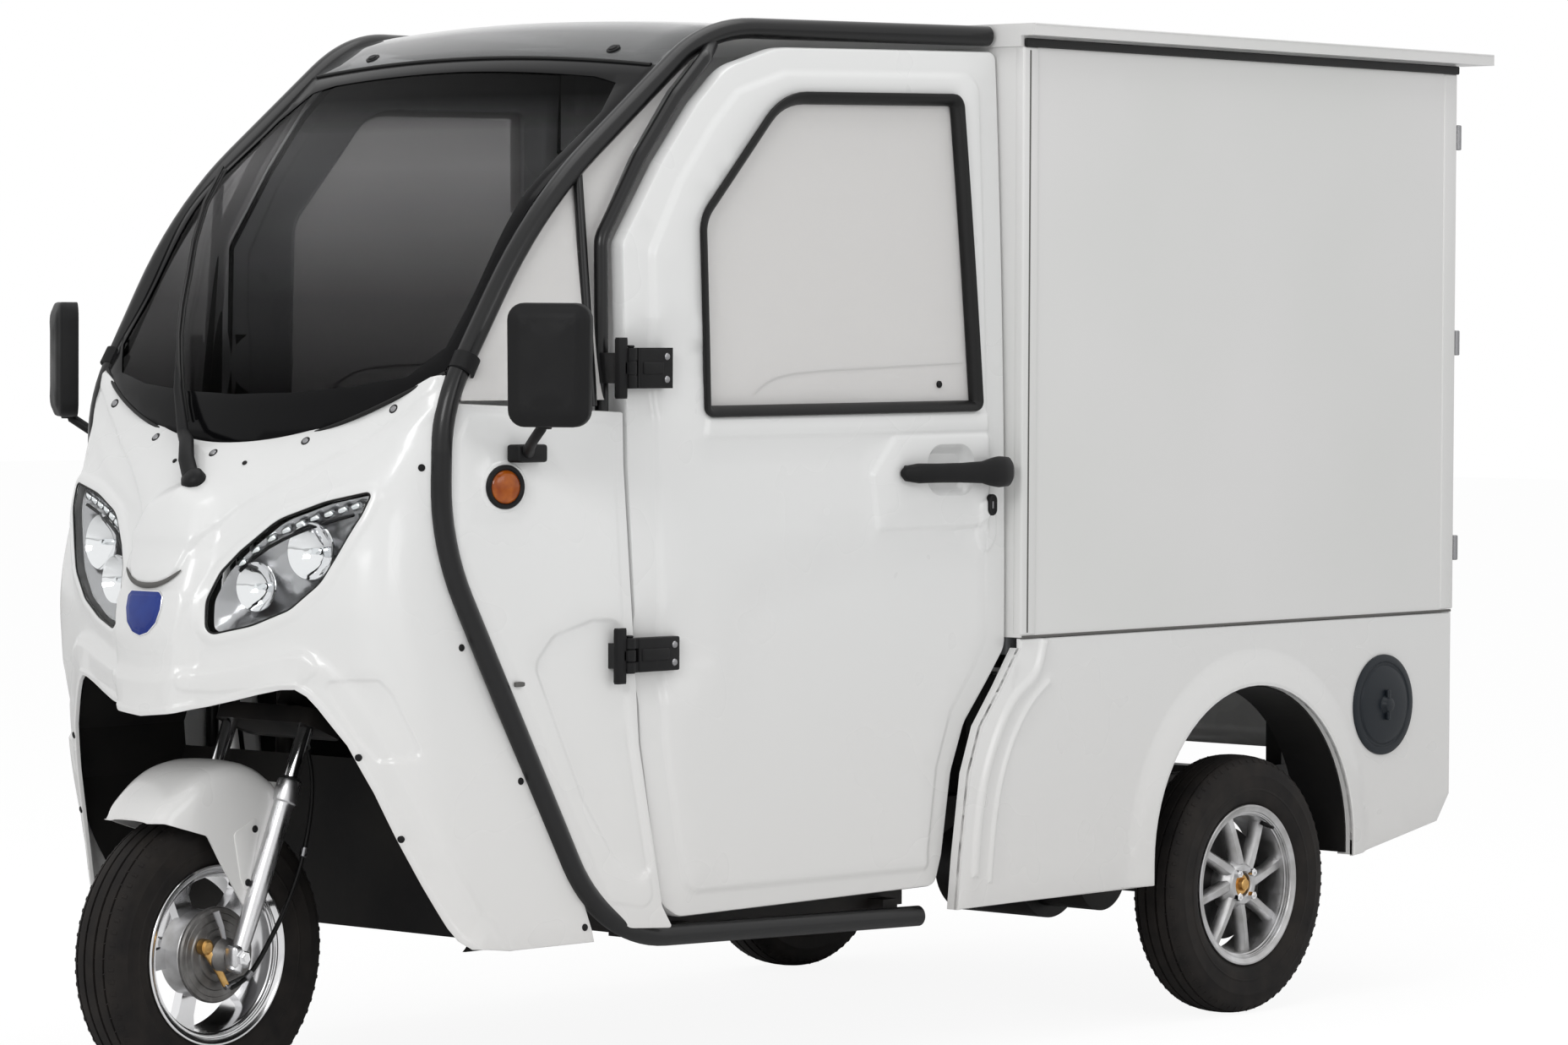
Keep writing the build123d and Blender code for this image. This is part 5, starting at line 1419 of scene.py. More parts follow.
pivot = Vector(on_nose(np.array([0.006]), np.array([0.964]), np.array([0.011]))[0])
blade = [over_screen(x, z, 8.0) for x, z in BLADE]
spine = [p + Vector((0.0, -0.006, 0.005)) for p in blade]
arm = [pivot + Vector((0, -0.008, 0.004)), Vector(on_nose([-0.022], [0.986], [0.030])[0]),
       Vector(on_nose([-0.052], [1.012], [0.032])[0]), over_screen(-88, 1045, 26),
       over_screen(-122, 1110, 19), over_screen(-160, 1166, 14)]
arm_part = bar(arm, [0.0135, 0.0130, 0.0120, 0.0095, 0.0065, 0.0040], 14, 0.6)
cap = solid_turned([(-0.006, 0.020), (0.010, 0.020), (0.016, 0.016), (0.019, 0.008)], pivot,
                   Vector(on_nose(np.array([0.006]), np.array([0.964]), np.array([0.03]))[0]) - pivot, 28)
piece("wiper_arm", *joined(arm_part, cap), black_plastic, "root", "dark_plastic", 40, ["wiper"])
piece("wiper_blade", *joined(bar(blade, 0.0034, 8, 0.6), bar(spine, 0.0028, 8)), seal_rubber,
      "root", "dark_plastic")
print("wiper blade length:", round(sum((b - a).length for a, b in zip(blade, blade[1:])), 3))

# %% [markdown]
# ## Doors
# Each door is a moulded panel with a round outer edge, a raised main field, a ledge under the
# window, a pad behind the handle and a long sunk field below it. Here `u` is y and `v` is z.

# %% Door skin
def side_x(y, z):
    """How far out the cab's side is."""
    lean = 0.032 * np.clip((np.asarray(z, float) - 0.7) / 1.06, 0, None) ** 1.9
    return 0.540 - lean + 0.07 * np.asarray(y, float)


def on_side(u, v, h):
    """Corners on the door's side of the cab."""
    return np.column_stack([side_x(u, v) + h, u, v])


DOOR_EDGE = [
    (104, 1682), (-405, 1670), (-524, 1634), (-592, 1574), (-674, 1478), (-764, 1349),
    (-762, 1000), (-744, 700), (-735, 560), (-690, 300), (-650, 277), (-62, 287), (-46, 338),
    (-25, 476), (6, 556), (60, 622), (104, 680),
]
EDGE_RADII = [16, 150, 120, 90, 100, 22, 90, 90, 90, 40, 40, 22, 60, 90, 60, 60, 40]
WINDOW_EDGE = [(-4, 1597), (-410, 1588), (-596, 1390), (-594, 1082), (27, 1087)]
WINDOW_RADII = [14, 120, 60, 8, 8]
MAIN_FIELD = [
    (54, 1640), (-400, 1629), (-506, 1596), (-562, 1544), (-640, 1450), (-706, 1336),
    (-702, 1000), (-690, 700), (-684, 560), (-650, 380), (-636, 316), (-84, 318), (-86, 345),
    (-66, 486), (-32, 578), (22, 648), (54, 700),
]
LEDGE = [(-596, 1072), (60, 1076), (60, 1044), (-180, 1043), (-602, 1040)]
HANDLE_PAD = [(-172, 1037), (-226, 976), (-213, 884), (22, 888), (62, 905), (62, 1040)]
LOCK_BOSS = [(26, 930), (78, 930), (78, 868), (66, 848), (52, 842), (38, 848), (28, 866)]
CUP = [(-96, 946), (-88, 1016), (4, 1016), (10, 946)]
SUNK_FIELD = [(-552, 786), (-430, 820), (-290, 848), (-140, 869), (24, 884), (54, 884),
              (54, 700), (22, 648), (-32, 578), (-66, 486), (-86, 345), (-548, 330)]
door_outline = rounded([(a * MM, b * MM) for a, b in DOOR_EDGE], [r * MM for r in EDGE_RADII], 0.014)
window_outline = rounded([(a * MM, b * MM) for a, b in WINDOW_EDGE], [r * MM for r in WINDOW_RADII], 0.014)


def on_door(u, v, h):
    """The door's skin: the sunk field fades out towards its lower front corner."""
    points = np.column_stack([u, v])
    fade = np.clip((np.asarray(v) - 0.40) / 0.40, 0, 1) * np.clip((np.asarray(u) + 0.60) / 0.10, 0, 1)
    sink = 0.0055 * fade * soft_step(signed_distance(points, field(SUNK_FIELD, 0.02)), 0.005)
    scoop = np.zeros(len(points))
    for y, z, reach_y, reach_z in ((-0.700, 0.698, 0.105, 0.075), (-0.690, 1.152, 0.100, 0.075)):
        away = ((points[:, 0] - y) / reach_y) ** 2 + ((points[:, 1] - z) / reach_z) ** 2
        scoop = np.maximum(scoop, 0.009 * np.clip(1 - away, 0, 1) ** 0.7)
    return on_side(u, v, h - sink - scoop - 0.0075)


door_fields = [
    (rounded([(a * MM, b * MM) for a, b in MAIN_FIELD], [0.03] * len(MAIN_FIELD), 0.014), 0.0075, 0.008),
    (field(LEDGE, 0.006), 0.0050, 0.006),
    (field(HANDLE_PAD, 0.010), 0.0060, 0.006),
    (field(LOCK_BOSS, 0.014, 0.006), 0.0040, 0.004),
    (field(CUP, 0.026, 0.006), -0.0180, 0.008),
]
hinge_rings = [ring(field(((-800, z0), (-600, z0), (-600, z1), (-800, z1)), 0.02), 0.0) for z0, z1 in
               ((620, 780), (1080, 1230))]
corners, faces = panel(door_outline, door_fields, on_door, 0.020, holes=(window_outline,),
                       edge=0.006, grid=0.035, extra=[field(SUNK_FIELD, 0.02)] + hinge_rings)
pair("door_skin", corners, faces, white_coat, "door_SIDE", "body_white", 32, ["door_shell_SIDE"])
print("door corners:", len(corners))

# %% [markdown]
# A rubber seal runs round each window and round the door's edge. The pane is clear, and a
# second sliding pane with a small knob sits behind it.

# %% Door seals and lock
window_seal = [tuple(p) for p in on_side(*window_outline.T, np.full(len(window_outline), -0.0005))]
pair("window_seal", *bar(window_seal, 0.0130, 10, 0.5, closed=True), seal_rubber,
     "door_SIDE", "dark_plastic", 60)
edge_seal = [tuple(p) for p in on_side(*ring(door_outline, -0.010).T, np.full(len(door_outline), -0.029))]
pair("door_seal", *bar(edge_seal, 0.0045, 8, closed=True), seal_rubber, "door_SIDE", "dark_plastic", 60)
slide_line = [(-475, 1108), (-458, 1122), (-430, 1134), (-390, 1141), (-320, 1146), (-180, 1151), (6, 1158)]
slide_line = [Vector(on_side([y * MM], [z * MM], [-0.0142])[0]) for y, z in slide_line]
pair("sliding_pane_rail", *bar(slide_line, 0.0016, 8), shadow_grey, "door_SIDE", "dark_plastic", 60)
knob = solid_turned([(0, 0.006), (0.004, 0.006), (0.006, 0.004)],
                    on_side([-0.05], [1.123], [-0.014])[0], (1, 0, 0), 20)
pair("sliding_pane_knob", *knob, black_plastic, "door_SIDE", "dark_plastic")
lock_place = Vector(on_side([0.052], [0.921], [0.003])[0])
lock_oval = soft_rectangle(-0.011, -0.018, 0.011, 0.018, 0.0108, 0.004)
lock_plate = panel(lock_oval, [(ring(lock_oval, -0.004), -0.0015, 0.001)],
                   lambda u, v, h: np.column_stack([lock_place.x + 0.0095 + h,
                                                    lock_place.y + u, lock_place.z + v]),
                   0.008, edge=0.0015, grid=0.008)
keyway = rounded_block((lock_place.x + 0.0070, lock_place.y - 0.0015, lock_place.z - 0.006),
                       (lock_place.x + 0.0090, lock_place.y + 0.0015, lock_place.z + 0.006), 0.0004, 1)
pair("door_lock", *lock_plate, black_plastic, "door_SIDE", "dark_plastic")
pair("door_keyway", *keyway, screw_steel, "door_SIDE", "bright_steel")
print("seal points:", len(window_seal), len(edge_seal))


# %% Door handle
HANDLE_Z = 0.977


def handle_body():
    """A grip that is slim in front and deep behind, bowed out from two feet."""
    stations = [
        # y, out, half height, half depth
        (-0.166, 0.008, 0.006, 0.006), (-0.160, 0.011, 0.013, 0.010), (-0.140, 0.017, 0.0165, 0.012),
        (-0.105, 0.0235, 0.0160, 0.0085), (-0.050, 0.0275, 0.0165, 0.0080), (0.000, 0.0290, 0.0185, 0.0085),
        (0.022, 0.0285, 0.0235, 0.0105), (0.045, 0.0240, 0.0262, 0.0150), (0.066, 0.0200, 0.0250, 0.0165),
        (0.078, 0.0155, 0.0190, 0.0130), (0.083, 0.0125, 0.0090, 0.0070),
    ]
    sides = 24
    corners = []
    base_x = float(side_x(-0.04, HANDLE_Z)) + 0.0065
    for y, out, half_z, half_x in stations:
        for k in range(sides):
            t = 2 * math.pi * k / sides
            cx, cz = math.cos(t), math.sin(t)
            x = base_x + 0.07 * (y + 0.04) + out + math.copysign(abs(cx) ** 0.7, cx) * half_x
            corners.append((x, y, HANDLE_Z + math.copysign(abs(cz) ** 0.8, cz) * half_z))
    faces = wrapped(len(stations), sides)
    faces.append(tuple(reversed(range(sides))))
    faces.append(tuple((len(stations) - 1) * sides + k for k in range(sides)))
    return cleaned(corners, faces)


foot_x = float(side_x(-0.13, HANDLE_Z))
front_foot = rounded_block((foot_x - 0.006, -0.156, 0.966), (foot_x + 0.022, -0.128, 0.990), 0.004)
rear_x = float(side_x(0.055, HANDLE_Z))
rear_foot = rounded_block((rear_x - 0.006, 0.036, 0.958), (rear_x + 0.022, 0.076, 0.997), 0.006)
pair("handle_grip", *joined(handle_body(), front_foot, rear_foot), black_plastic,
     "door_SIDE", "dark_plastic", 45, ["door_handle_SIDE"])
print("handle made")

# %% [markdown]
# The hinges are thick black leaves with a rolled knuckle and countersunk bolts. Inside, the
# door has a plain lining with a pull strap.

# %% Hinge leaves and door lining
HINGE_Y = -0.774
hinge_x = float(side_x(HINGE_Y, 0.7)) + 0.008
for label, low, high, reach_y in (("lower", 0.672, 0.728, 0.112), ("upper", 1.120, 1.184, 0.092)):
    middle = (low + high) / 2
    leaf_x = float(side_x(HINGE_Y + reach_y / 2, middle))
    leaf = rounded_block((leaf_x - 0.010, -0.758, low + 0.001),
                         (hinge_x + 0.006, HINGE_Y + reach_y - 0.001, high - 0.001), 0.003)
    ridge = rounded_block((leaf_x, -0.752, middle - 0.010),
                          (hinge_x + 0.009, HINGE_Y + reach_y * 0.75, middle + 0.010), 0.003)
    third = (high - low) / 3
    upper = capsule_bar((hinge_x, HINGE_Y, high - third + 0.0006), (hinge_x, HINGE_Y, high), 0.0095)
    lower = capsule_bar((hinge_x, HINGE_Y, low), (hinge_x, HINGE_Y, low + third - 0.0006), 0.0095)
    tongues = [rounded_block((hinge_x - 0.004, -0.770, z),
                             (hinge_x + 0.004, -0.752, z + third - 0.002), 0.001, 1)
               for z in (low + 0.001, high - third + 0.001)]
    pair(f"{label}_hinge_leaf", *joined(leaf, ridge, upper, lower, *tongues), black_plastic, "door_SIDE",
         "dark_plastic", 40)
    body_knuckle = capsule_bar((hinge_x, HINGE_Y, low + third), (hinge_x, HINGE_Y, high - third), 0.0098)
    pin_cap = capsule_bar((hinge_x, HINGE_Y, high), (hinge_x, HINGE_Y, high + 0.004), 0.006)
    plate = rounded_block((hinge_x - 0.009, -0.803, low - 0.015),
                          (hinge_x + 0.003, -0.783, high + 0.015), 0.0025)
    tongue = rounded_block((hinge_x - 0.006, -0.790, low + third + 0.001),
                           (hinge_x + 0.003, HINGE_Y, high - third - 0.001), 0.001, 1)
    pair(f"{label}_hinge_base", *joined(body_knuckle, pin_cap, plate, tongue), black_plastic,
         "root", "dark_plastic", 40)
    bolt_places = [(Vector((hinge_x + 0.0055, HINGE_Y + reach_y - 0.014, z)),
                    Vector((1, 0, 0)), Vector((0, 1, 0)))
                   for z in (low + 0.014, high - 0.014)]
    copies_pair(f"{label}_hinge_bolts", screw_head, bolt_places, screw_steel, "door_SIDE", "bright_steel")
lining_keep = rounded([(a * MM, b * MM) for a, b in
                       ((46, 1060), (-640, 1055), (-690, 900), (-672, 560), (-640, 345), (-96, 340),
                        (-72, 480), (-30, 585), (46, 700))],
                      [0.03] * 9, 0.02)
lining_field = ring(lining_keep, -0.05)
lining = panel(lining_keep, [(lining_field, -0.006, 0.006)],
               lambda u, v, h: np.column_stack([side_x(u, v) - 0.0300 - h, u, v]), 0.002,
               edge=0.003, grid=0.05)
pair("door_lining", *lining, black_plastic, "door_SIDE", "dark_plastic", 40)
strap = [Vector((float(side_x(y, z)) - 0.036 - out, y, z)) for y, z, out in
         ((-0.16, 0.90, 0.0), (-0.14, 0.905, 0.022), (-0.04, 0.905, 0.026), (0.0, 0.90, 0.0))]
pair("door_pull", *bar(strap, 0.009, 12, 0.6), black_plastic, "door_SIDE", "dark_plastic", 50)
print("hinges and lining made")

# %% [markdown]
# ## Cowl sides and mirrors
# Between the roll tube and the door is a small white panel with a rolled border and a sunk
# field. It carries the round indicator and the mirror's foot.

# %% Cowl side
def cowl_x(y, z):
    """How far out the cowl's side is: it toes in towards the nose."""
    lean = 0.0056 * np.clip((np.asarray(z, float) - 0.7) / 0.45, 0, None)
    return 0.5400 + (0.07 - 0.245) * -0.764 - lean + 0.245 * np.asarray(y, float)


def on_cowl(u, v, h):
    """Corners on the cowl's skin."""
    return np.column_stack([cowl_x(u, v) + h, u, v])


COWL_EDGE = [(-1066, 1098), (-1092, 1050), (-1094, 884), (-808, 270), (-680, 264), (-700, 300),
             (-744, 560), (-753, 700), (-771, 1000), (-772, 1083)]
cowl_outline = rounded([(a * MM, b * MM) for a, b in COWL_EDGE],
                       [0.004, 0.05, 0.09, 0.09, 0.004, 0.02, 0.1, 0.1, 0.1, 0.004], 0.014)
COWL_SUNK = [(-936, 690), (-900, 735), (-830, 757), (-778, 756), (-766, 600), (-716, 325),
             (-790, 380), (-850, 480)]
COWL_BORDER = [(-1048, 1082), (-1068, 1040), (-1070, 890), (-965, 668), (-800, 312),
               (-716, 296), (-764, 560), (-774, 700), (-790, 1000), (-790, 1066)]
cowl_fields = [
    (field(COWL_BORDER, 0.02), 0.0030, 0.005),
    (field(COWL_SUNK, 0.03), -0.0055, 0.006),
    (field(on_circle((-990, 968), 40, range(0, 360, 20)), 0.004), 0.003, 0.002),
]
corners, faces = panel(cowl_outline, cowl_fields, lambda u, v, h: on_cowl(u, v, h - 0.0035), 0.008,
                       edge=0.003, grid=0.03)
pair("cowl_skin", corners, faces, white_coat, "root", "body_white", 30, ["cowl_side_SIDE"])
notch_low = Vector(on_cowl([-0.962], [0.661], [0.0])[0])
notch = rounded_block((notch_low.x - 0.004, notch_low.y - 0.012, notch_low.z - 0.004),
                      (notch_low.x + 0.0015, notch_low.y + 0.012, notch_low.z + 0.004), 0.002)
pair("cowl_notch", *notch, shadow_grey, "root", "dark_plastic")
lamp_spot = Vector(on_cowl([-0.990], [0.968], [0.0])[0])
lamp_facing = Vector((1.0, -0.245, 0.012)).normalized()
lamp_ring = turned([(-0.004, 0.026), (0.006, 0.026), (0.0085, 0.0285), (0.0085, 0.0325),
                    (0.006, 0.0345), (-0.004, 0.0345)],
                   lamp_spot, lamp_facing, 48)
lens_profile = [(-0.003, 0.027), (0.004, 0.027), (0.0068, 0.0255), (0.0092, 0.021),
                (0.0105, 0.014), (0.0110, 0.006)]
lens = solid_turned(lens_profile, lamp_spot, lamp_facing, 40)
pair("indicator_ring", *lamp_ring, black_plastic, "root", "dark_plastic")
pair("indicator_lens", *lens, amber_lens, "root", "lamp_lens", 50)
print("cowl corners:", len(corners))


# %% Mirrors
def mirror_case():
    """A mirror housing: a rounded block with a softly domed back and a glass in its rear face."""
    yaw = Matrix.Rotation(math.radians(35), 3, "Z")
    centre = Vector((0.561, -1.028, 1.158))
    outline = rounded([(-0.063, -0.095), (0.063, -0.095), (0.065, 0.095), (-0.065, 0.095)], [0.026] * 4,
                      0.012)

    def place(u, v, h):
        local = np.column_stack([u, -np.asarray(h), v])
        return local @ np.array(yaw).T + np.array(centre)

    dome = [(ring(outline, -0.012), 0.006, 0.010), (ring(outline, -0.034), 0.003, 0.020)]
    case = panel(outline, dome, lambda u, v, h: place(u, v, h + 0.010), 0.024, edge=0.006, grid=0.018)
    glass_outline = ring(outline, -0.007)
    glass = panel(glass_outline, [], lambda u, v, h: place(u, v, h - 0.0165), 0.002, edge=0.001, grid=0.03)
    lip = bar([tuple(p) for p in place(*ring(outline, -0.004).T, np.full(len(outline), -0.0165))],
              0.0034, 8, closed=True)
    return case, glass, lip


case, glass, lip = mirror_case()
stalk = [(0.549, -1.026, 1.090), (0.540, -1.024, 1.060), (0.512, -1.012, 1.042), (0.478, -0.985, 1.030),
         (0.452, -0.964, 1.020)]
foot_places = rounded_block((0.432, -0.990, 1.006), (0.462, -0.926, 1.034), 0.005)
ball = solid_turned([(-0.014, 0.011), (-0.004, 0.014), (0.004, 0.014), (0.014, 0.011)],
                    (0.549, -1.026, 1.074), (0, 0, 1), 24)
pair("mirror_case", *joined(case, lip), black_plastic, "root", "dark_plastic", 40, ["mirror_SIDE"])
pair("mirror_face", *glass, mirror_glass, "root", "clear_glass", 30)
pair("mirror_stalk", *joined(bar(stalk, [0.009, 0.0085, 0.008, 0.009, 0.011], 16), foot_places, ball),
     black_plastic, "root", "dark_plastic", 45)
clip = turned([(-0.016, 0.0172), (-0.014, 0.0215), (0.014, 0.0215), (0.016, 0.0172)],
              (0.402, -1.052, 1.158), (-0.02, 0.52, 0.85), 32)
pair("tube_clip", *clip, black_plastic, "root", "dark_plastic", 45)
print("mirror case corners:", len(case[0]))

# %% [markdown]
# ## Rear sides
# The side panel round the rear wheel has a broad raised band that follows the arch and a
# double rib along the door's corner. The load box above it is flat sheet with folded trims.

# %% Rear side panel
SIDE_EDGE = [(114, 694), (1383, 694), (1383, 356), (1344, 306), (1104, 264), (1062, 262), (1062, 291)]
arch_centre = (0.767, 0.291)
ARCH_RADIUS = 0.295
arch_arc = on_circle(arch_centre, ARCH_RADIUS, range(0, 181, 5))
skirt_points = [(a * MM, b * MM) for a, b in SIDE_EDGE[:6]] + arch_arc
skirt_points += [(0.472, 0.2505), (0.416, 0.2505), (-0.048, 0.2480), (-0.038, 0.338),
                 (-0.017, 0.474), (0.013, 0.551), (0.067, 0.616), (0.114, 0.678)]
skirt_outline = divided(skirt_points, 0.014)


def arch_ring(radius):
    """A half round over upright sides, for the fields that follow the arch."""
    top = on_circle(arch_centre, radius, range(0, 181, 5))
    return divided(top + [(arch_centre[0] - radius, 0.20), (arch_centre[0] + radius, 0.20)], 0.014)


def on_skirt(u, v, h):
    """Corners on the rear side, with a swell that rises towards the wheel opening."""
    away = np.hypot(np.asarray(u) - arch_centre[0], np.clip(np.asarray(v) - arch_centre[1], 0, None))
    swell = 0.0125 * np.clip(1 - (away - ARCH_RADIUS) / 0.056, 0, 1) ** 0.6
    return np.column_stack([0.565 + swell + h, u, v])


RIB_LINE = [(-6, 300), (6, 400), (26, 478), (56, 540), (108, 602), (152, 632), (176, 690)]
rib = [(a * MM, b * MM) for a, b in RIB_LINE]


def along_line(points, side, count=40):
    """An evenly spaced smooth line through points, moved sideways."""
    points = np.array(points)
    run = np.concatenate([[0], np.cumsum(np.linalg.norm(np.diff(points, axis=0), axis=1))])
    line = smooth_rows(run, points, np.linspace(0, run[-1], count))
    tangent = np.gradient(line, axis=0)
    tangent /= np.linalg.norm(tangent, axis=1)[:, None]
    return line + np.stack([tangent[:, 1], -tangent[:, 0]], 1) * side


def band(points, half):
    """A closed outline round a line."""
    return divided(list(along_line(points, half)) + list(along_line(points, -half)[::-1]), 0.014)


skirt_fields = [
    (band(rib, 0.008), 0.0060, 0.006),
    (band([(a + 0.040, b - 0.012) for a, b in rib[:-1]], 0.005), 0.0040, 0.005),
    # no height: this one only gives the mesh an even line under the upper edge
    (divided([(0.10, 0.688), (0.10, 0.30), (1.372, 0.36), (1.372, 0.688)], 0.02), 0.0, 0.004),
]
corners, faces = panel(skirt_outline, skirt_fields, on_skirt, 0.005, edge=0.004, grid=0.04,
                       extra=[arch_ring(0.303), arch_ring(0.318), arch_ring(0.336),
                              arch_ring(0.351), arch_ring(0.362)])
pair("skirt_skin", corners, faces, white_coat, "root", "body_white", 30, ["skirt_SIDE"])
lip_corners = []
for (y, z) in [(arch_centre[0] + ARCH_RADIUS, 0.264)] + arch_arc + [(arch_centre[0] - ARCH_RADIUS, 0.252)]:
    for x, grow in ((0.5765, 0.000), (0.5775, 0.004), (0.541, 0.004), (0.541, 0.000)):
        if z > arch_centre[1]:
            away = Vector((y - arch_centre[0], z - arch_centre[1])).normalized()
        else:
            away = Vector((math.copysign(1, y - arch_centre[0]), 0))
        lip_corners.append((x, y + away.x * grow, z + away.y * grow))
rows = len(lip_corners) // 4
lip_faces = wrapped(rows, 4) + [(3, 2, 1, 0), tuple(rows * 4 - 4 + k for k in range(4))]
pair("arch_return", *cleaned(lip_corners, lip_faces), white_coat, "root", "body_white", 40)
front_return = [(0.114, 0.678), (0.067, 0.616), (0.013, 0.551), (-0.017, 0.474),
                (-0.038, 0.338), (-0.048, 0.248)]
return_corners = []
for y, z in front_return:
    for x, dy in ((0.5645, 0.0), (0.5645, 0.004), (0.541, 0.004), (0.541, 0.0)):
        return_corners.append((x, y + dy, z))
rows = len(front_return)
return_faces = wrapped(rows, 4) + [(3, 2, 1, 0), tuple(rows * 4 - 4 + k for k in range(4))]
pair("skirt_front_return", *cleaned(return_corners, return_faces), white_coat, "root", "body_white", 40)
base = rounded_block((0.541, 0.0, 0.2490), (0.5635, 0.470, 0.2540), 0.002, 1)
pair("skirt_base", *base, white_coat, "root", "body_white")
print("rear side corners:", len(corners))

# %% Hatch and box trims
hatch_at = Vector((0.5655, 1.164, 0.532))
hatch_profile = [(0, 0.092), (0.0035, 0.0915), (0.0048, 0.089), (0.0048, 0.079),
                 (0.0030, 0.077), (0.0030, 0.073),
                 (0.0060, 0.070), (0.0080, 0.058), (0.0088, 0.030), (0.0088, 0.017), (0.0105, 0.0155),
                 (0.0185, 0.0125), (0.0195, 0.009)]
piece("hatch_disc", *solid_turned(hatch_profile, hatch_at, (1, 0, 0), 64), dark_hatch, "root",
      "dark_plastic", 30, ["charging_hatch"])
grip_bar = rounded_block((0.5745, 1.160, 0.504), (0.5830, 1.168, 0.560), 0.003)
piece("hatch_grip", *grip_bar, dark_hatch, "root", "dark_plastic")
front_post = rounded_block((0.549, 0.1095, 0.700), (0.5685, 0.150, 1.690), 0.004)
post_groove = rounded_block((0.567, 0.1245, 0.704), (0.5692, 0.1285, 1.684), 0.0006, 1)
rear_post = rounded_block((0.560, 1.345, 0.700), (0.5672, 1.3845, 1.690), 0.003)
joint = rounded_block((0.560, 0.116, 0.6945), (0.5668, 1.380, 0.6990), 0.001, 1)
under_eave = rounded_block((0.5651, 0.112, 1.6890), (0.5730, 1.384, 1.7040), 0.002, 1)
pair("front_post", *front_post, box_coat, "root", "body_white")
pair("post_groove", *post_groove, shadow_grey, "root", "dark_plastic")
pair("rear_post", *rear_post, box_coat, "root", "body_white")
pair("box_joint", *joint, shadow_grey, "root", "dark_plastic")
pair("eave_shadow_strip", *under_eave, seal_rubber, "root", "dark_plastic")
eave_bead = [(0.5945, 0.106, 1.7265), (0.5945, 1.461, 1.7265)]
pair("eave_bead", *capsule_bar(*eave_bead, 0.0018, 0.0006, 10), box_coat, "root", "body_white")
print("trims made")

# %% [markdown]
# ## Fork, mudguard and front brake
# The fork leans back by 22.5 degrees. Every place on it is given by a distance up the rake from
# the axle and an offset behind the legs.

# %% Fork legs
RAKE = math.radians(22.5)
AXLE_Y, AXLE_Z = -1.233, 0.230


def up_rake(distance, offset=0.0, x=0.0):
    """A point on the steering assembly, in metres."""
    y = AXLE_Y + distance * math.sin(RAKE) + offset * math.cos(RAKE)
    z = AXLE_Z + distance * math.cos(RAKE) - offset * math.sin(RAKE)
    return Vector((x, y, z))


rake_up = Vector((0.0, math.sin(RAKE), math.cos(RAKE)))
leg_profile = [(-24, 9.5), (-22, 12.5), (-6, 13.2), (30, 14.0), (88, 15.8), (92, 16.2),
               (250, 16.2), (254, 17.0), (256, 19.4), (258, 20.0), (288, 20.0), (291, 19.0), (292, 16.5)]
chrome_profile = [(290, 12.6), (400, 12.6)]
cap_profile = [(291.5, 17.6), (295, 17.2), (297, 14.2)]
for label, profile, coat in (("slider", leg_profile, fork_alloy), ("stanchion", chrome_profile, chrome),
                             ("dust_cap", cap_profile, seal_rubber)):
    part = solid_turned([(a * MM, r * MM) for a, r in profile], (0.088, -1.233, 0.230), rake_up, 36)
    pair(f"fork_{label}", *part, coat, "steering", "bright_steel", 30, ["fork"])
boss = rounded_block((0.0735, -1.251, 0.212), (0.100, -1.215, 0.250), 0.007)
axle_nut = solid_turned([(0, 0.0125), (0.008, 0.0125), (0.0095, 0.0105),
                         (0.0095, 0.0068), (0.0125, 0.0062)],
                        (0.0965, -1.233, 0.230), (1, 0, 0), 6)
pair("axle_boss", *boss, fork_alloy, "steering", "bright_steel", 40)
pair("axle_nut", *axle_nut, chrome, "steering", "bright_steel", 20)
shaft = capsule_bar((-0.074, -1.233, 0.230), (0.074, -1.233, 0.230), 0.0078)
piece("front_shaft", *shaft, chrome, "steering", "bright_steel")
crown_outline = soft_rectangle(-0.109, -0.046, 0.109, 0.043, 0.02, 0.015)


def crown_at(distance):
    """A place function for a clamp across the fork."""
    middle = up_rake(distance, 0.0225)
    back = Vector((0.0, math.cos(RAKE), -math.sin(RAKE)))

    def place(u, v, h):
        return (np.array(middle) + np.outer(u, (1, 0, 0)) + np.outer(v, tuple(back))
                + np.outer(np.asarray(h), tuple(rake_up)))

    return place


crown = panel(crown_outline, [], crown_at(0.410), 0.0245, edge=0.004, grid=0.03)
piece("fork_crown", *crown, chassis_paint, "steering", "dark_plastic", 40)
steerer = bar([up_rake(0.389, 0.045), up_rake(0.606, 0.045)], 0.0148, 24)
piece("steerer", *steerer, chassis_paint, "steering", "frame_black")
head_cap = solid_turned([(0, 0.026), (0.010, 0.026), (0.014, 0.020)], up_rake(0.5785, 0.045), rake_up, 32)
piece("head_cap", *head_cap, screw_steel, "steering", "bright_steel")
print("fork legs:", 2)

# %% Drum brake, hose and cables
brake_profile = [(0.0330, 0.0758), (0.0375, 0.0758), (0.0405, 0.0735), (0.0405, 0.0665),
                 (0.0415, 0.0655), (0.0415, 0.0560),
                 (0.0440, 0.0545), (0.0440, 0.0420), (0.0470, 0.0405), (0.0470, 0.0300), (0.0600, 0.0290),
                 (0.0690, 0.0220), (0.0740, 0.0160)]
piece("brake_plate", *solid_turned(brake_profile, (0, -1.233, 0.230), (1, 0, 0), 64),
      brake_grey, "steering", "bright_steel", 26)
cam = Vector((0.047, -1.268, 0.246))
lever = bar([cam, Vector((0.056, -1.262, 0.232)), Vector((0.060, -1.246, 0.206)),
             Vector((0.062, -1.234, 0.184))],
            [0.0085, 0.0075, 0.0060, 0.0055], 14, 0.5)
cam_boss = solid_turned([(-0.002, 0.013), (0.010, 0.012), (0.013, 0.008)], cam, (1, 0, 0), 24)
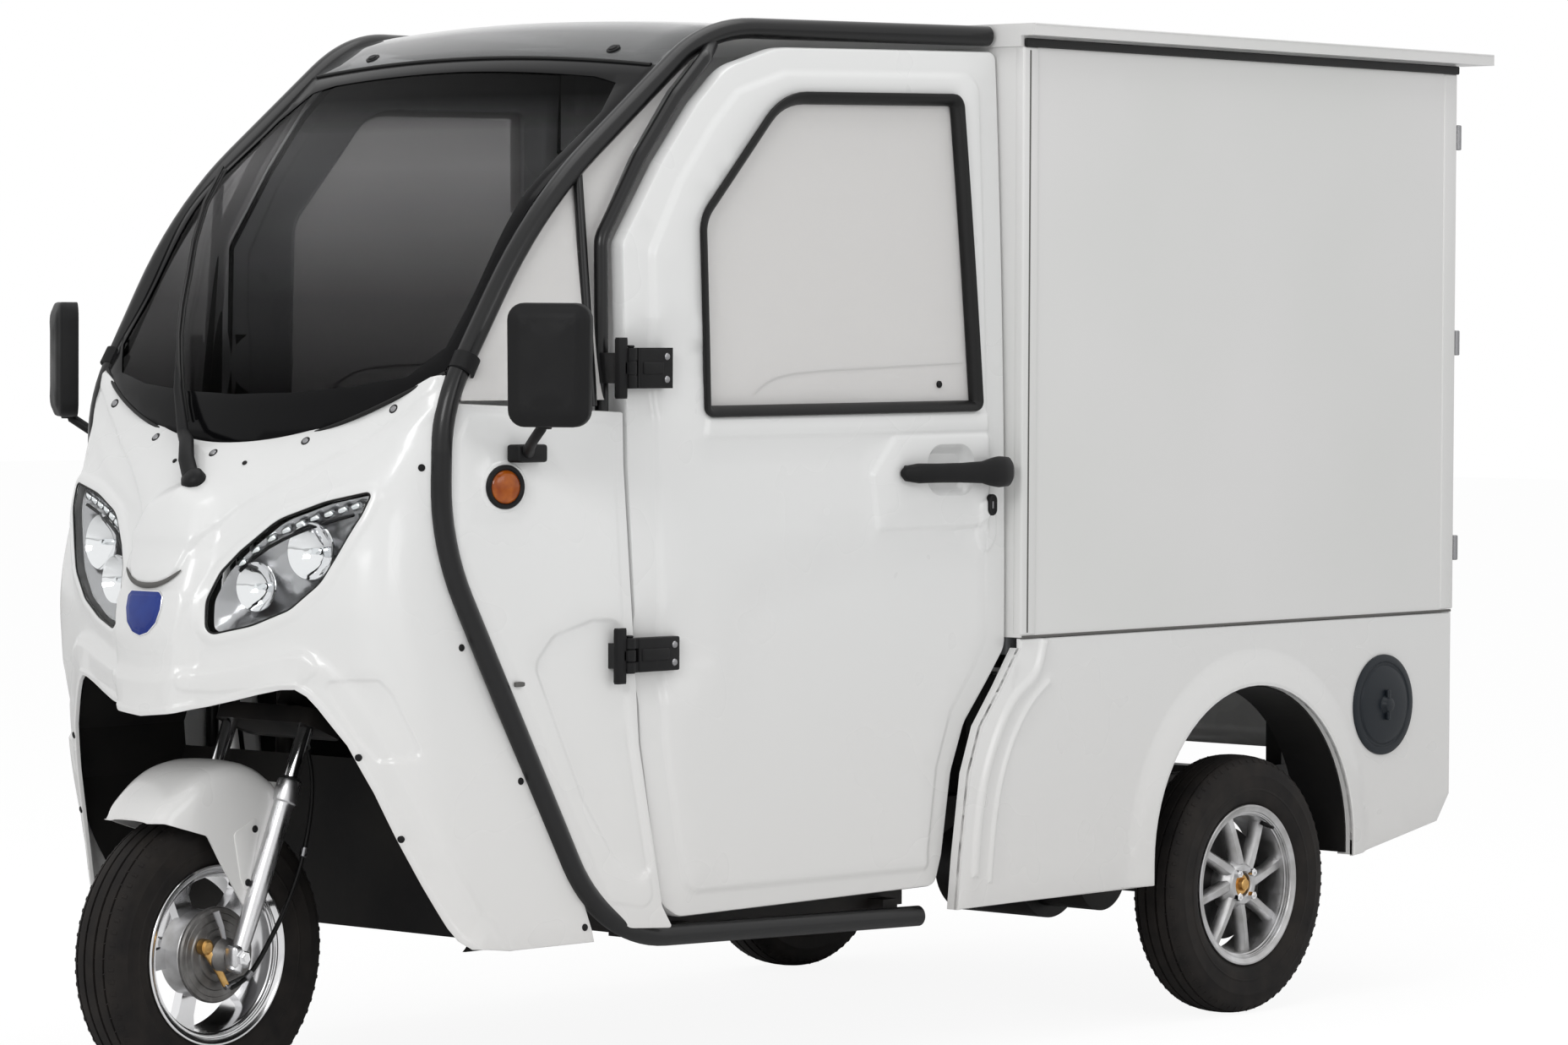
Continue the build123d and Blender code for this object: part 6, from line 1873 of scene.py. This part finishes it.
piece("brake_arm", *joined(lever, cam_boss), plated_brass, "steering", "bright_steel", 35)
adjuster = capsule_bar((0.062, -1.236, 0.181), (0.062, -1.196, 0.192), 0.0052, 0.001)
small_lever = bar([Vector((0.052, -1.246, 0.300)), Vector((0.058, -1.240, 0.276)),
                   Vector((0.060, -1.236, 0.256))], [0.006, 0.005, 0.004], 12, 0.5)
piece("brake_adjuster", *joined(adjuster, small_lever), screw_steel, "steering", "bright_steel", 35)
hose_knots = np.array([(0.066, -1.227, 0.180), (0.066, -1.200, 0.190), (0.066, -1.153, 0.236),
                       (0.066, -1.092, 0.330),
                       (0.066, -1.061, 0.420), (0.066, -1.057, 0.520), (0.060, -1.078, 0.590)])
hose_run = np.concatenate([[0], np.cumsum(np.linalg.norm(np.diff(hose_knots, axis=0), axis=1))])
hose = smooth_rows(hose_run, hose_knots, np.linspace(0, hose_run[-1], 48))
piece("brake_cable", *bar([tuple(p) for p in hose], 0.0040, 10), seal_rubber,
      "steering", "dark_plastic", 60)
collar_places = [(Vector(hose[k]), Vector(hose[k + 1] - hose[k]).normalized(), Vector((1, 0, 0)))
                 for k in (4, 26, 43)]
cable_end = solid_turned([(-0.008, 0.0045), (-0.007, 0.0062), (0.007, 0.0062), (0.008, 0.0045)],
                         (0, 0, 0), (0, 0, 1), 16)
copies("cable_ends", cable_end, collar_places, screw_steel, "steering", "bright_steel")
print("hose length:", round(hose_run[-1], 3))

# %% [markdown]
# The mudguard is a list of cross sections that go round the tyre: each has a crest, a lower
# edge and a half width. The part near the fork leg reaches down to a point.

# %% Front mudguard
GUARD_STATIONS = [
    # crest y, crest z, edge y, edge z, half width
    (-1383, 452, -1381, 447, 58), (-1366, 472, -1366, 446, 68), (-1338, 494, -1341, 438, 75),
    (-1302, 517, -1314, 430, 79),
    (-1262, 531, -1290, 423, 80.5), (-1225, 535.5, -1262, 378, 81), (-1195, 532, -1232, 334, 81),
    (-1172, 523, -1208, 300, 81), (-1150, 509, -1190, 312, 81), (-1128, 493, -1165, 430, 80.5),
    (-1105, 475, -1112, 452, 78), (-1088, 492, -1088, 488, 74),
]


def guard_section(crest_y, crest_z, edge_y, edge_z, half):
    """Points over the tyre from one lower edge to the other, round at the shoulders."""
    points = []
    depth = crest_z - edge_z
    crown = [(0.0, 0.0), (0.30, 0.0006), (0.60, 0.0024), (0.78, 0.0058), (0.89, 0.0115), (0.96, 0.0215),
             (0.992, 0.0360), (1.0, 0.0560)]
    lower = [(1.0, 0.0560 + (1 - 0.0) * max(depth - 0.056, 0.0) * k / 5) for k in range(1, 6)]
    for share, drop in crown + lower:
        drop = min(drop, depth)
        along = drop / depth if depth > 1e-6 else 0.0
        points.append((share * half, crest_y + (edge_y - crest_y) * along, crest_z - drop))
    return [(-x, y, z) for x, y, z in reversed(points[1:])] + points


stations = np.array([[v * MM for v in row] for row in GUARD_STATIONS])
run = np.concatenate([[0], np.cumsum(np.linalg.norm(np.diff(stations[:, :2], axis=0), axis=1))])
fine = np.linspace(0, run[-1], 61)
crest_curve = smooth_rows(run, stations[:, [0, 1, 4]], fine)
edge_curve = np.stack([np.interp(fine, run, stations[:, k]) for k in (2, 3)], 1)
outer = [guard_section(c[0], c[1], e[0], e[1], c[2]) for c, e in zip(crest_curve, edge_curve)]
count = len(outer[0])
guard_corners, guard_faces = [], []
for inset in (0.0, 0.003):
    for section in outer:
        for x, y, z in section:
            out_x = x - math.copysign(min(inset, abs(x)), x)
            guard_corners.append((out_x, y, z - inset * (1 - min(abs(x) / 0.08, 1.0))))
size = len(outer) * count
for i in range(len(outer) - 1):
    for k in range(count - 1):
        a = i * count + k
        guard_faces.append((a, a + count, a + count + 1, a + 1))
        guard_faces.append((a + size, a + size + 1, a + size + count + 1, a + size + count))
loop = [k for k in range(count)] + [i * count + count - 1 for i in range(1, len(outer))]
loop += [size - 1 - k for k in range(1, count)] + [i * count for i in range(len(outer) - 2, 0, -1)]
for i, a in enumerate(loop):
    b = loop[(i + 1) % len(loop)]
    guard_faces.append((a, b, b + size, a + size))
guard_corners, guard_faces = cleaned(guard_corners, guard_faces)
piece("mudguard_shell", guard_corners, guard_faces, white_coat, "steering", "body_white",
      35, ["front_mudguard"])
WING = [(-1236, 424), (-1190, 446), (-1180, 430), (-1206, 322), (-1222, 352)]
wing_outline = field(WING, 0.008, 0.006)
wing = panel(wing_outline, [], lambda u, v, h: np.column_stack([0.0826 + h, u, v]), 0.003,
             edge=0.0016, grid=0.02)
pair("mudguard_wing", *wing, white_coat, "steering", "body_white", 40)
wing_screws = [(Vector((0.0830, y * MM, z * MM)), Vector((1, 0, 0)), Vector((0, 1, 0)))
               for y, z in ((-1192, 428), (-1207, 345))]
copies_pair("mudguard_screws", screw_head, wing_screws, black_plastic, "steering", "dark_plastic")
print("mudguard corners:", len(guard_corners))

# %% [markdown]
# ## Handlebar and cab inside
# The cab is seen through smoked glass, so its big shapes matter most: the bar with its grips,
# the dash, the seat and the bars that hold the roof.

# %% Handlebar
bar_top = up_rake(0.900, 0.045)
bar_y, bar_z = bar_top.y, bar_top.z
half_bend = [(0.0, 0.0, 0.0), (0.070, 0.0, 0.0), (0.110, 0.003, 0.002), (0.150, 0.010, 0.006),
             (0.190, 0.022, 0.007), (0.330, 0.070, 0.010)]
full = [(-x, bar_y + y, bar_z + z) for x, y, z in reversed(half_bend[1:])] + [(x, bar_y + y, bar_z + z)
                                                                              for x, y, z in half_bend]
piece("bar_tube", *bar(full, 0.0108, 18), chrome, "steering", "bright_steel", 40, ["handlebar"])
stem = bar([up_rake(0.606, 0.045), bar_top], 0.0148, 22)
piece("bar_stem", *stem, tube_paint, "steering", "frame_black", 40)
grip_start = Vector((0.214, bar_y + 0.030, bar_z + 0.0075))
grip_end = Vector((0.329, bar_y + 0.0695, bar_z + 0.010))
grip_path = [grip_start.lerp(grip_end, k / 22) for k in range(23)]
grip = bar(grip_path, [0.0168 - 0.0014 * (k % 2) for k in range(23)], 20)
pair("bar_grip", *grip, seal_rubber, "steering", "dark_plastic", 50)
lever_path = [Vector((0.165, bar_y + 0.006, bar_z + 0.004)), Vector((0.200, bar_y - 0.012, bar_z)),
              Vector((0.260, bar_y - 0.004, bar_z - 0.002)), Vector((0.322, bar_y + 0.012, bar_z))]
pair("brake_lever", *bar(lever_path, [0.007, 0.006, 0.005, 0.0065], 12, 0.7), screw_steel,
     "steering", "bright_steel", 50)
switch = rounded_block((0.160, bar_y - 0.010, bar_z - 0.014), (0.206, bar_y + 0.036, bar_z + 0.024), 0.007)
pair("switch_block", *switch, black_plastic, "steering", "dark_plastic")
pod = rounded_block((-0.074, -0.034, -0.021), (0.074, 0.034, 0.021), 0.012)
pod = moved(pod, (0, bar_y - 0.010, bar_z + 0.022), (25, (1, 0, 0)))
glass = moved(rounded_block((-0.056, -0.022, 0.0205), (0.056, 0.022, 0.0228), 0.001, 1),
              (0, bar_y - 0.010, bar_z + 0.022), (25, (1, 0, 0)))
piece("instrument_pod", *pod, black_plastic, "steering", "dark_plastic")
piece("instrument_face", *glass, black_gloss, "steering", "clear_glass")
print("handlebar points:", len(full))

# %% Dash and vents
dash_rows = [(-1.078, 0.985), (-1.080, 0.905), (-1.012, 0.864), (-0.978, 0.900),
             (-0.988, 0.958), (-1.030, 0.990)]
dash_outline = rounded(dash_rows, [0.01, 0.01, 0.03, 0.02, 0.02, 0.012], 0.012)
dash_corners = []
for x, shrink in ((-0.330, 0.006), (-0.324, 0.0), (0.324, 0.0), (0.330, 0.006)):
    dash_corners += [(x, y, z) for y, z in ring(dash_outline, -shrink)]
count = len(dash_outline)
dash_faces = wrapped(4, count) + [tuple(range(count)), tuple(3 * count + k for k in range(count))]
piece("dash_shell", *cleaned(dash_corners, dash_faces), black_plastic, "root",
      "dark_plastic", 35, ["dash_panel"])
dash_vents = [(Vector((x, -0.9925, 0.930)), Vector((0, 0.98, 0.17)), Vector((1, 0, 0)))
              for x in (-0.24, -0.20, 0.20, 0.24)]
vent = joined(*[rounded_block((-0.014, -0.018 + k * 0.009, -0.004), (0.014, -0.014 + k * 0.009, 0.002),
                              0.001, 1) for k in range(4)])
copies("dash_vents", vent, dash_vents, seal_rubber, "root", "dark_plastic")
print("dash corners:", len(dash_corners))


# %% Padded seat
def pressed_pad(name, node):
    """A cloth pad grown from the CAD block: remeshed, blown up a little and smoothed."""
    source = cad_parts[node]
    mesh = source.data.copy()
    obj = bpy.data.objects.new(name, mesh)
    bpy.context.collection.objects.link(obj)
    remesh = obj.modifiers.new("even_faces", "REMESH")
    remesh.mode = "VOXEL"
    remesh.voxel_size = 0.006
    graph = bpy.context.evaluated_depsgraph_get()
    obj.data = bpy.data.meshes.new_from_object(obj.evaluated_get(graph))
    obj.modifiers.clear()
    rest = np.array([v.co[:] for v in obj.data.vertices])
    cloth = obj.modifiers.new("pressed", "CLOTH")
    cloth.settings.use_pressure = True
    cloth.settings.uniform_pressure_force = 4.0
    cloth.settings.effector_weights.gravity = 0.0
    cloth.settings.shrink_min = -0.02
    cloth.point_cache.frame_start, cloth.point_cache.frame_end = 1, 20
    for number in range(1, 21):
        bpy.context.scene.frame_set(number)
    graph = bpy.context.evaluated_depsgraph_get()
    blown = bpy.data.meshes.new_from_object(obj.evaluated_get(graph))
    moved_to = np.array([v.co[:] for v in blown.vertices])
    change = moved_to - rest
    length = np.maximum(np.linalg.norm(change, axis=1), 1e-9)
    change *= np.minimum(1.0, 0.020 / length)[:, None]
    obj.modifiers.clear()
    obj.data.vertices.foreach_set("co", (rest + change).astype(np.float32).ravel())
    bpy.context.scene.frame_set(1)
    obj.data.materials.clear()
    obj.data.materials.append(seat_vinyl)
    obj.data.polygons.foreach_set("use_smooth", [True] * len(obj.data.polygons))
    obj.data.set_sharp_from_angle(angle=math.radians(60))
    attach(obj, "root")
    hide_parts(node)
    return obj


cushion = pressed_pad("cushion_pad", "seat_cushion")
back = pressed_pad("backrest_pad", "seat_back")
print("cushion faces:", len(cushion.data.polygons), "back faces:", len(back.data.polygons))

# %% [markdown]
# ## The rear
# The photograph doesn't show the rear. It is finished from the type: two leaves with pressed
# fields, a locking bar with a handle, lamps at the lower corners and a blank plate.

# %% Rear doors
REAR_FACE_Y = 1.385


def on_rear(u, v, h):
    """Corners on the rear face of the load box."""
    return np.column_stack([u, REAR_FACE_Y + np.asarray(h), v])


leaf_outline = soft_rectangle(0.0035, 0.7025, 0.5625, 1.6835, 0.004, 0.03)
leaf_fields = [(soft_rectangle(0.060, z0, 0.500, z1, 0.02, 0.02), -0.0050, 0.008)
               for z0, z1 in ((0.780, 1.060), (1.260, 1.610))]
leaf = panel(leaf_outline, leaf_fields, on_rear, 0.018, edge=0.002, grid=0.06)
pair("rear_leaf", *leaf, box_coat, "rear_door_SIDE",
     "body_white", 30, ["rear_door_SIDE"])
lock_bar = capsule_bar((0.040, 1.3930, 0.730), (0.040, 1.3930, 1.660), 0.0075)
guides = [rounded_block((0.028, 1.3845, z), (0.052, 1.4015, z + 0.030), 0.003)
          for z in (0.745, 1.000, 1.330, 1.615)]
pair("lock_bar", *joined(lock_bar, *guides), screw_steel, "rear_door_SIDE", "bright_steel", 40)
pull = joined(rounded_block((0.030, 1.384, 1.148), (0.058, 1.398, 1.214), 0.004),
              bar([(0.044, 1.398, 1.196), (0.046, 1.403, 1.180), (0.050, 1.4045, 1.140),
                   (0.052, 1.4045, 1.094)],
                  [0.008, 0.0085, 0.0075, 0.0065], 14, 0.6))
pair("rear_pull", *pull, black_plastic, "rear_door_SIDE", "dark_plastic", 45)
for z in (0.790, 1.170, 1.550):
    strap = rounded_block((0.476, 1.3848, z + 0.003), (0.556, 1.3895, z + 0.043), 0.0018)
    knuckle = capsule_bar((0.563, 1.393, z), (0.563, 1.393, z + 0.046), 0.0068)
    label = f"rear_hinge_{round(z * 1000)}"
    pair(label, *joined(strap, knuckle), screw_steel, "rear_door_SIDE", "bright_steel", 40)
    bolts = [(Vector((x, 1.3895, z + dz)), Vector((0, 1, 0)), Vector((1, 0, 0))) for x in (0.490, 0.530)
             for dz in (0.012, 0.034)]
    copies_pair(label + "_bolts", screw_head, bolts, screw_steel, "rear_door_SIDE", "bright_steel")
leaf_seal = [tuple(p) for p in on_rear(*ring(leaf_outline, -0.004).T, np.full(len(leaf_outline), -0.0185))]
pair("leaf_seal", *bar(leaf_seal, 0.0022, 8, closed=True), seal_rubber,
     "rear_door_SIDE", "dark_plastic", 60)
print("rear leaf corners:", len(leaf[0]))

# %% Tail panel, lamps and plate
tail_outline = soft_rectangle(-0.538, 0.421, 0.538, 0.689, 0.012, 0.03)
tail_field = soft_rectangle(-0.440, 0.452, 0.440, 0.655, 0.02, 0.02)
tail = panel(tail_outline, [(tail_field, -0.0045, 0.008)], on_rear, 0.010, edge=0.003, grid=0.06)
piece("tail_skin", *tail, white_coat, "root", "body_white", 30, ["tail_board"])
case_outline = soft_rectangle(0.462, 0.440, 0.528, 0.640, 0.014, 0.012)
pair("tail_lamp_case", *panel(case_outline, [], lambda u, v, h: on_rear(u, v, h + 0.009), 0.010,
                              edge=0.002, grid=0.03),
     black_plastic, "root", "dark_plastic", 40)
for label, z0, z1, coat in (("stop", 0.560, 0.633, red_lens), ("turn", 0.503, 0.555, amber_lens),
                            ("reverse", 0.447, 0.498, lamp_cover)):
    shape = soft_rectangle(0.469, z0, 0.521, z1, 0.008, 0.008)
    ribs = [(ring(rounded([(0.469 + 0.013 * k, z0 + 0.004), (0.475 + 0.013 * k, z0 + 0.004),
                           (0.475 + 0.013 * k, z1 - 0.004),
                           (0.469 + 0.013 * k, z1 - 0.004)], [0.002] * 4, 0.01), 0.0), 0.0008, 0.0015)
                           for k in range(4)]
    lens = panel(shape, ribs, lambda u, v, h: on_rear(u, v, h + 0.0165), 0.008, edge=0.003, grid=0.02)
    pair(f"tail_{label}_lens", *lens, coat, "root", "lamp_lens", 40)
plate_outline = soft_rectangle(-0.110, 0.490, 0.110, 0.580, 0.006, 0.02)
holder = soft_rectangle(-0.150, 0.471, 0.150, 0.599, 0.01, 0.02)
piece("plate_holder", *panel(holder, [], lambda u, v, h: on_rear(u, v, h + 0.0035), 0.009,
                             edge=0.0015, grid=0.05),
      black_plastic, "root", "dark_plastic", 40)
piece("blank_plate", *panel(plate_outline, [(ring(plate_outline, -0.005), -0.0006, 0.001)],
                            lambda u, v, h: on_rear(u, v, h + 0.0052), 0.002, edge=0.0006, grid=0.04),
      box_coat, "root", "bright_steel", 40)
plate_lamp = rounded_block((-0.030, 1.386, 0.603), (0.030, 1.402, 0.622), 0.004)
piece("plate_lamp", *plate_lamp, black_plastic, "root", "dark_plastic")
print("tail corners:", len(tail[0]))

# %% [markdown]
# The load box's roof is a folded plate. Its edge has a drip bead, and the top is crowned by
# three shallow pressings.

# %% Box roof and floor details
ROOF_PLATE_Z = 1.7262


def on_roof_plate(u, v, h):
    """Corners on the load box's roof."""
    return np.column_stack([u, v, ROOF_PLATE_Z + np.asarray(h)])


roof_plate_outline = soft_rectangle(-0.544, 0.142, 0.544, 1.343, 0.004, 0.04)
pressings = [(soft_rectangle(-0.480, y0, 0.480, y0 + 0.30, 0.03, 0.03), 0.0022, 0.010)
             for y0 in (0.200, 0.590, 0.980)]
piece("roof_pressings", *panel(roof_plate_outline, pressings, on_roof_plate, 0.0018, edge=0.001, grid=0.08),
      box_coat, "root", "body_white", 30)
planks = [rounded_block((-0.545 + 0.1092 * k, 0.130, 0.6955), (-0.443 + 0.1092 * k, 1.360, 0.7000), 0.002,
                        1) for k in range(10)]
piece("load_floor_ribs", *joined(*planks), floor_steel, "root", "floor_steel", 35)
mat = panel(soft_rectangle(-0.425, -0.780, 0.425, -0.330, 0.03, 0.03),
            [(rounded([(-0.39 + 0.135 * k, -0.74), (-0.30 + 0.135 * k, -0.74), (-0.30 + 0.135 * k, -0.37),
                       (-0.39 + 0.135 * k, -0.37)],
                      [0.01] * 4, 0.02), 0.0025, 0.003) for k in range(6)],
            lambda u, v, h: np.column_stack([u, v, 0.3500 + np.asarray(h)]), 0.004, edge=0.001, grid=0.06)
piece("cab_mat", *mat, seal_rubber, "root", "dark_plastic", 40)
print("roof and floors dressed")
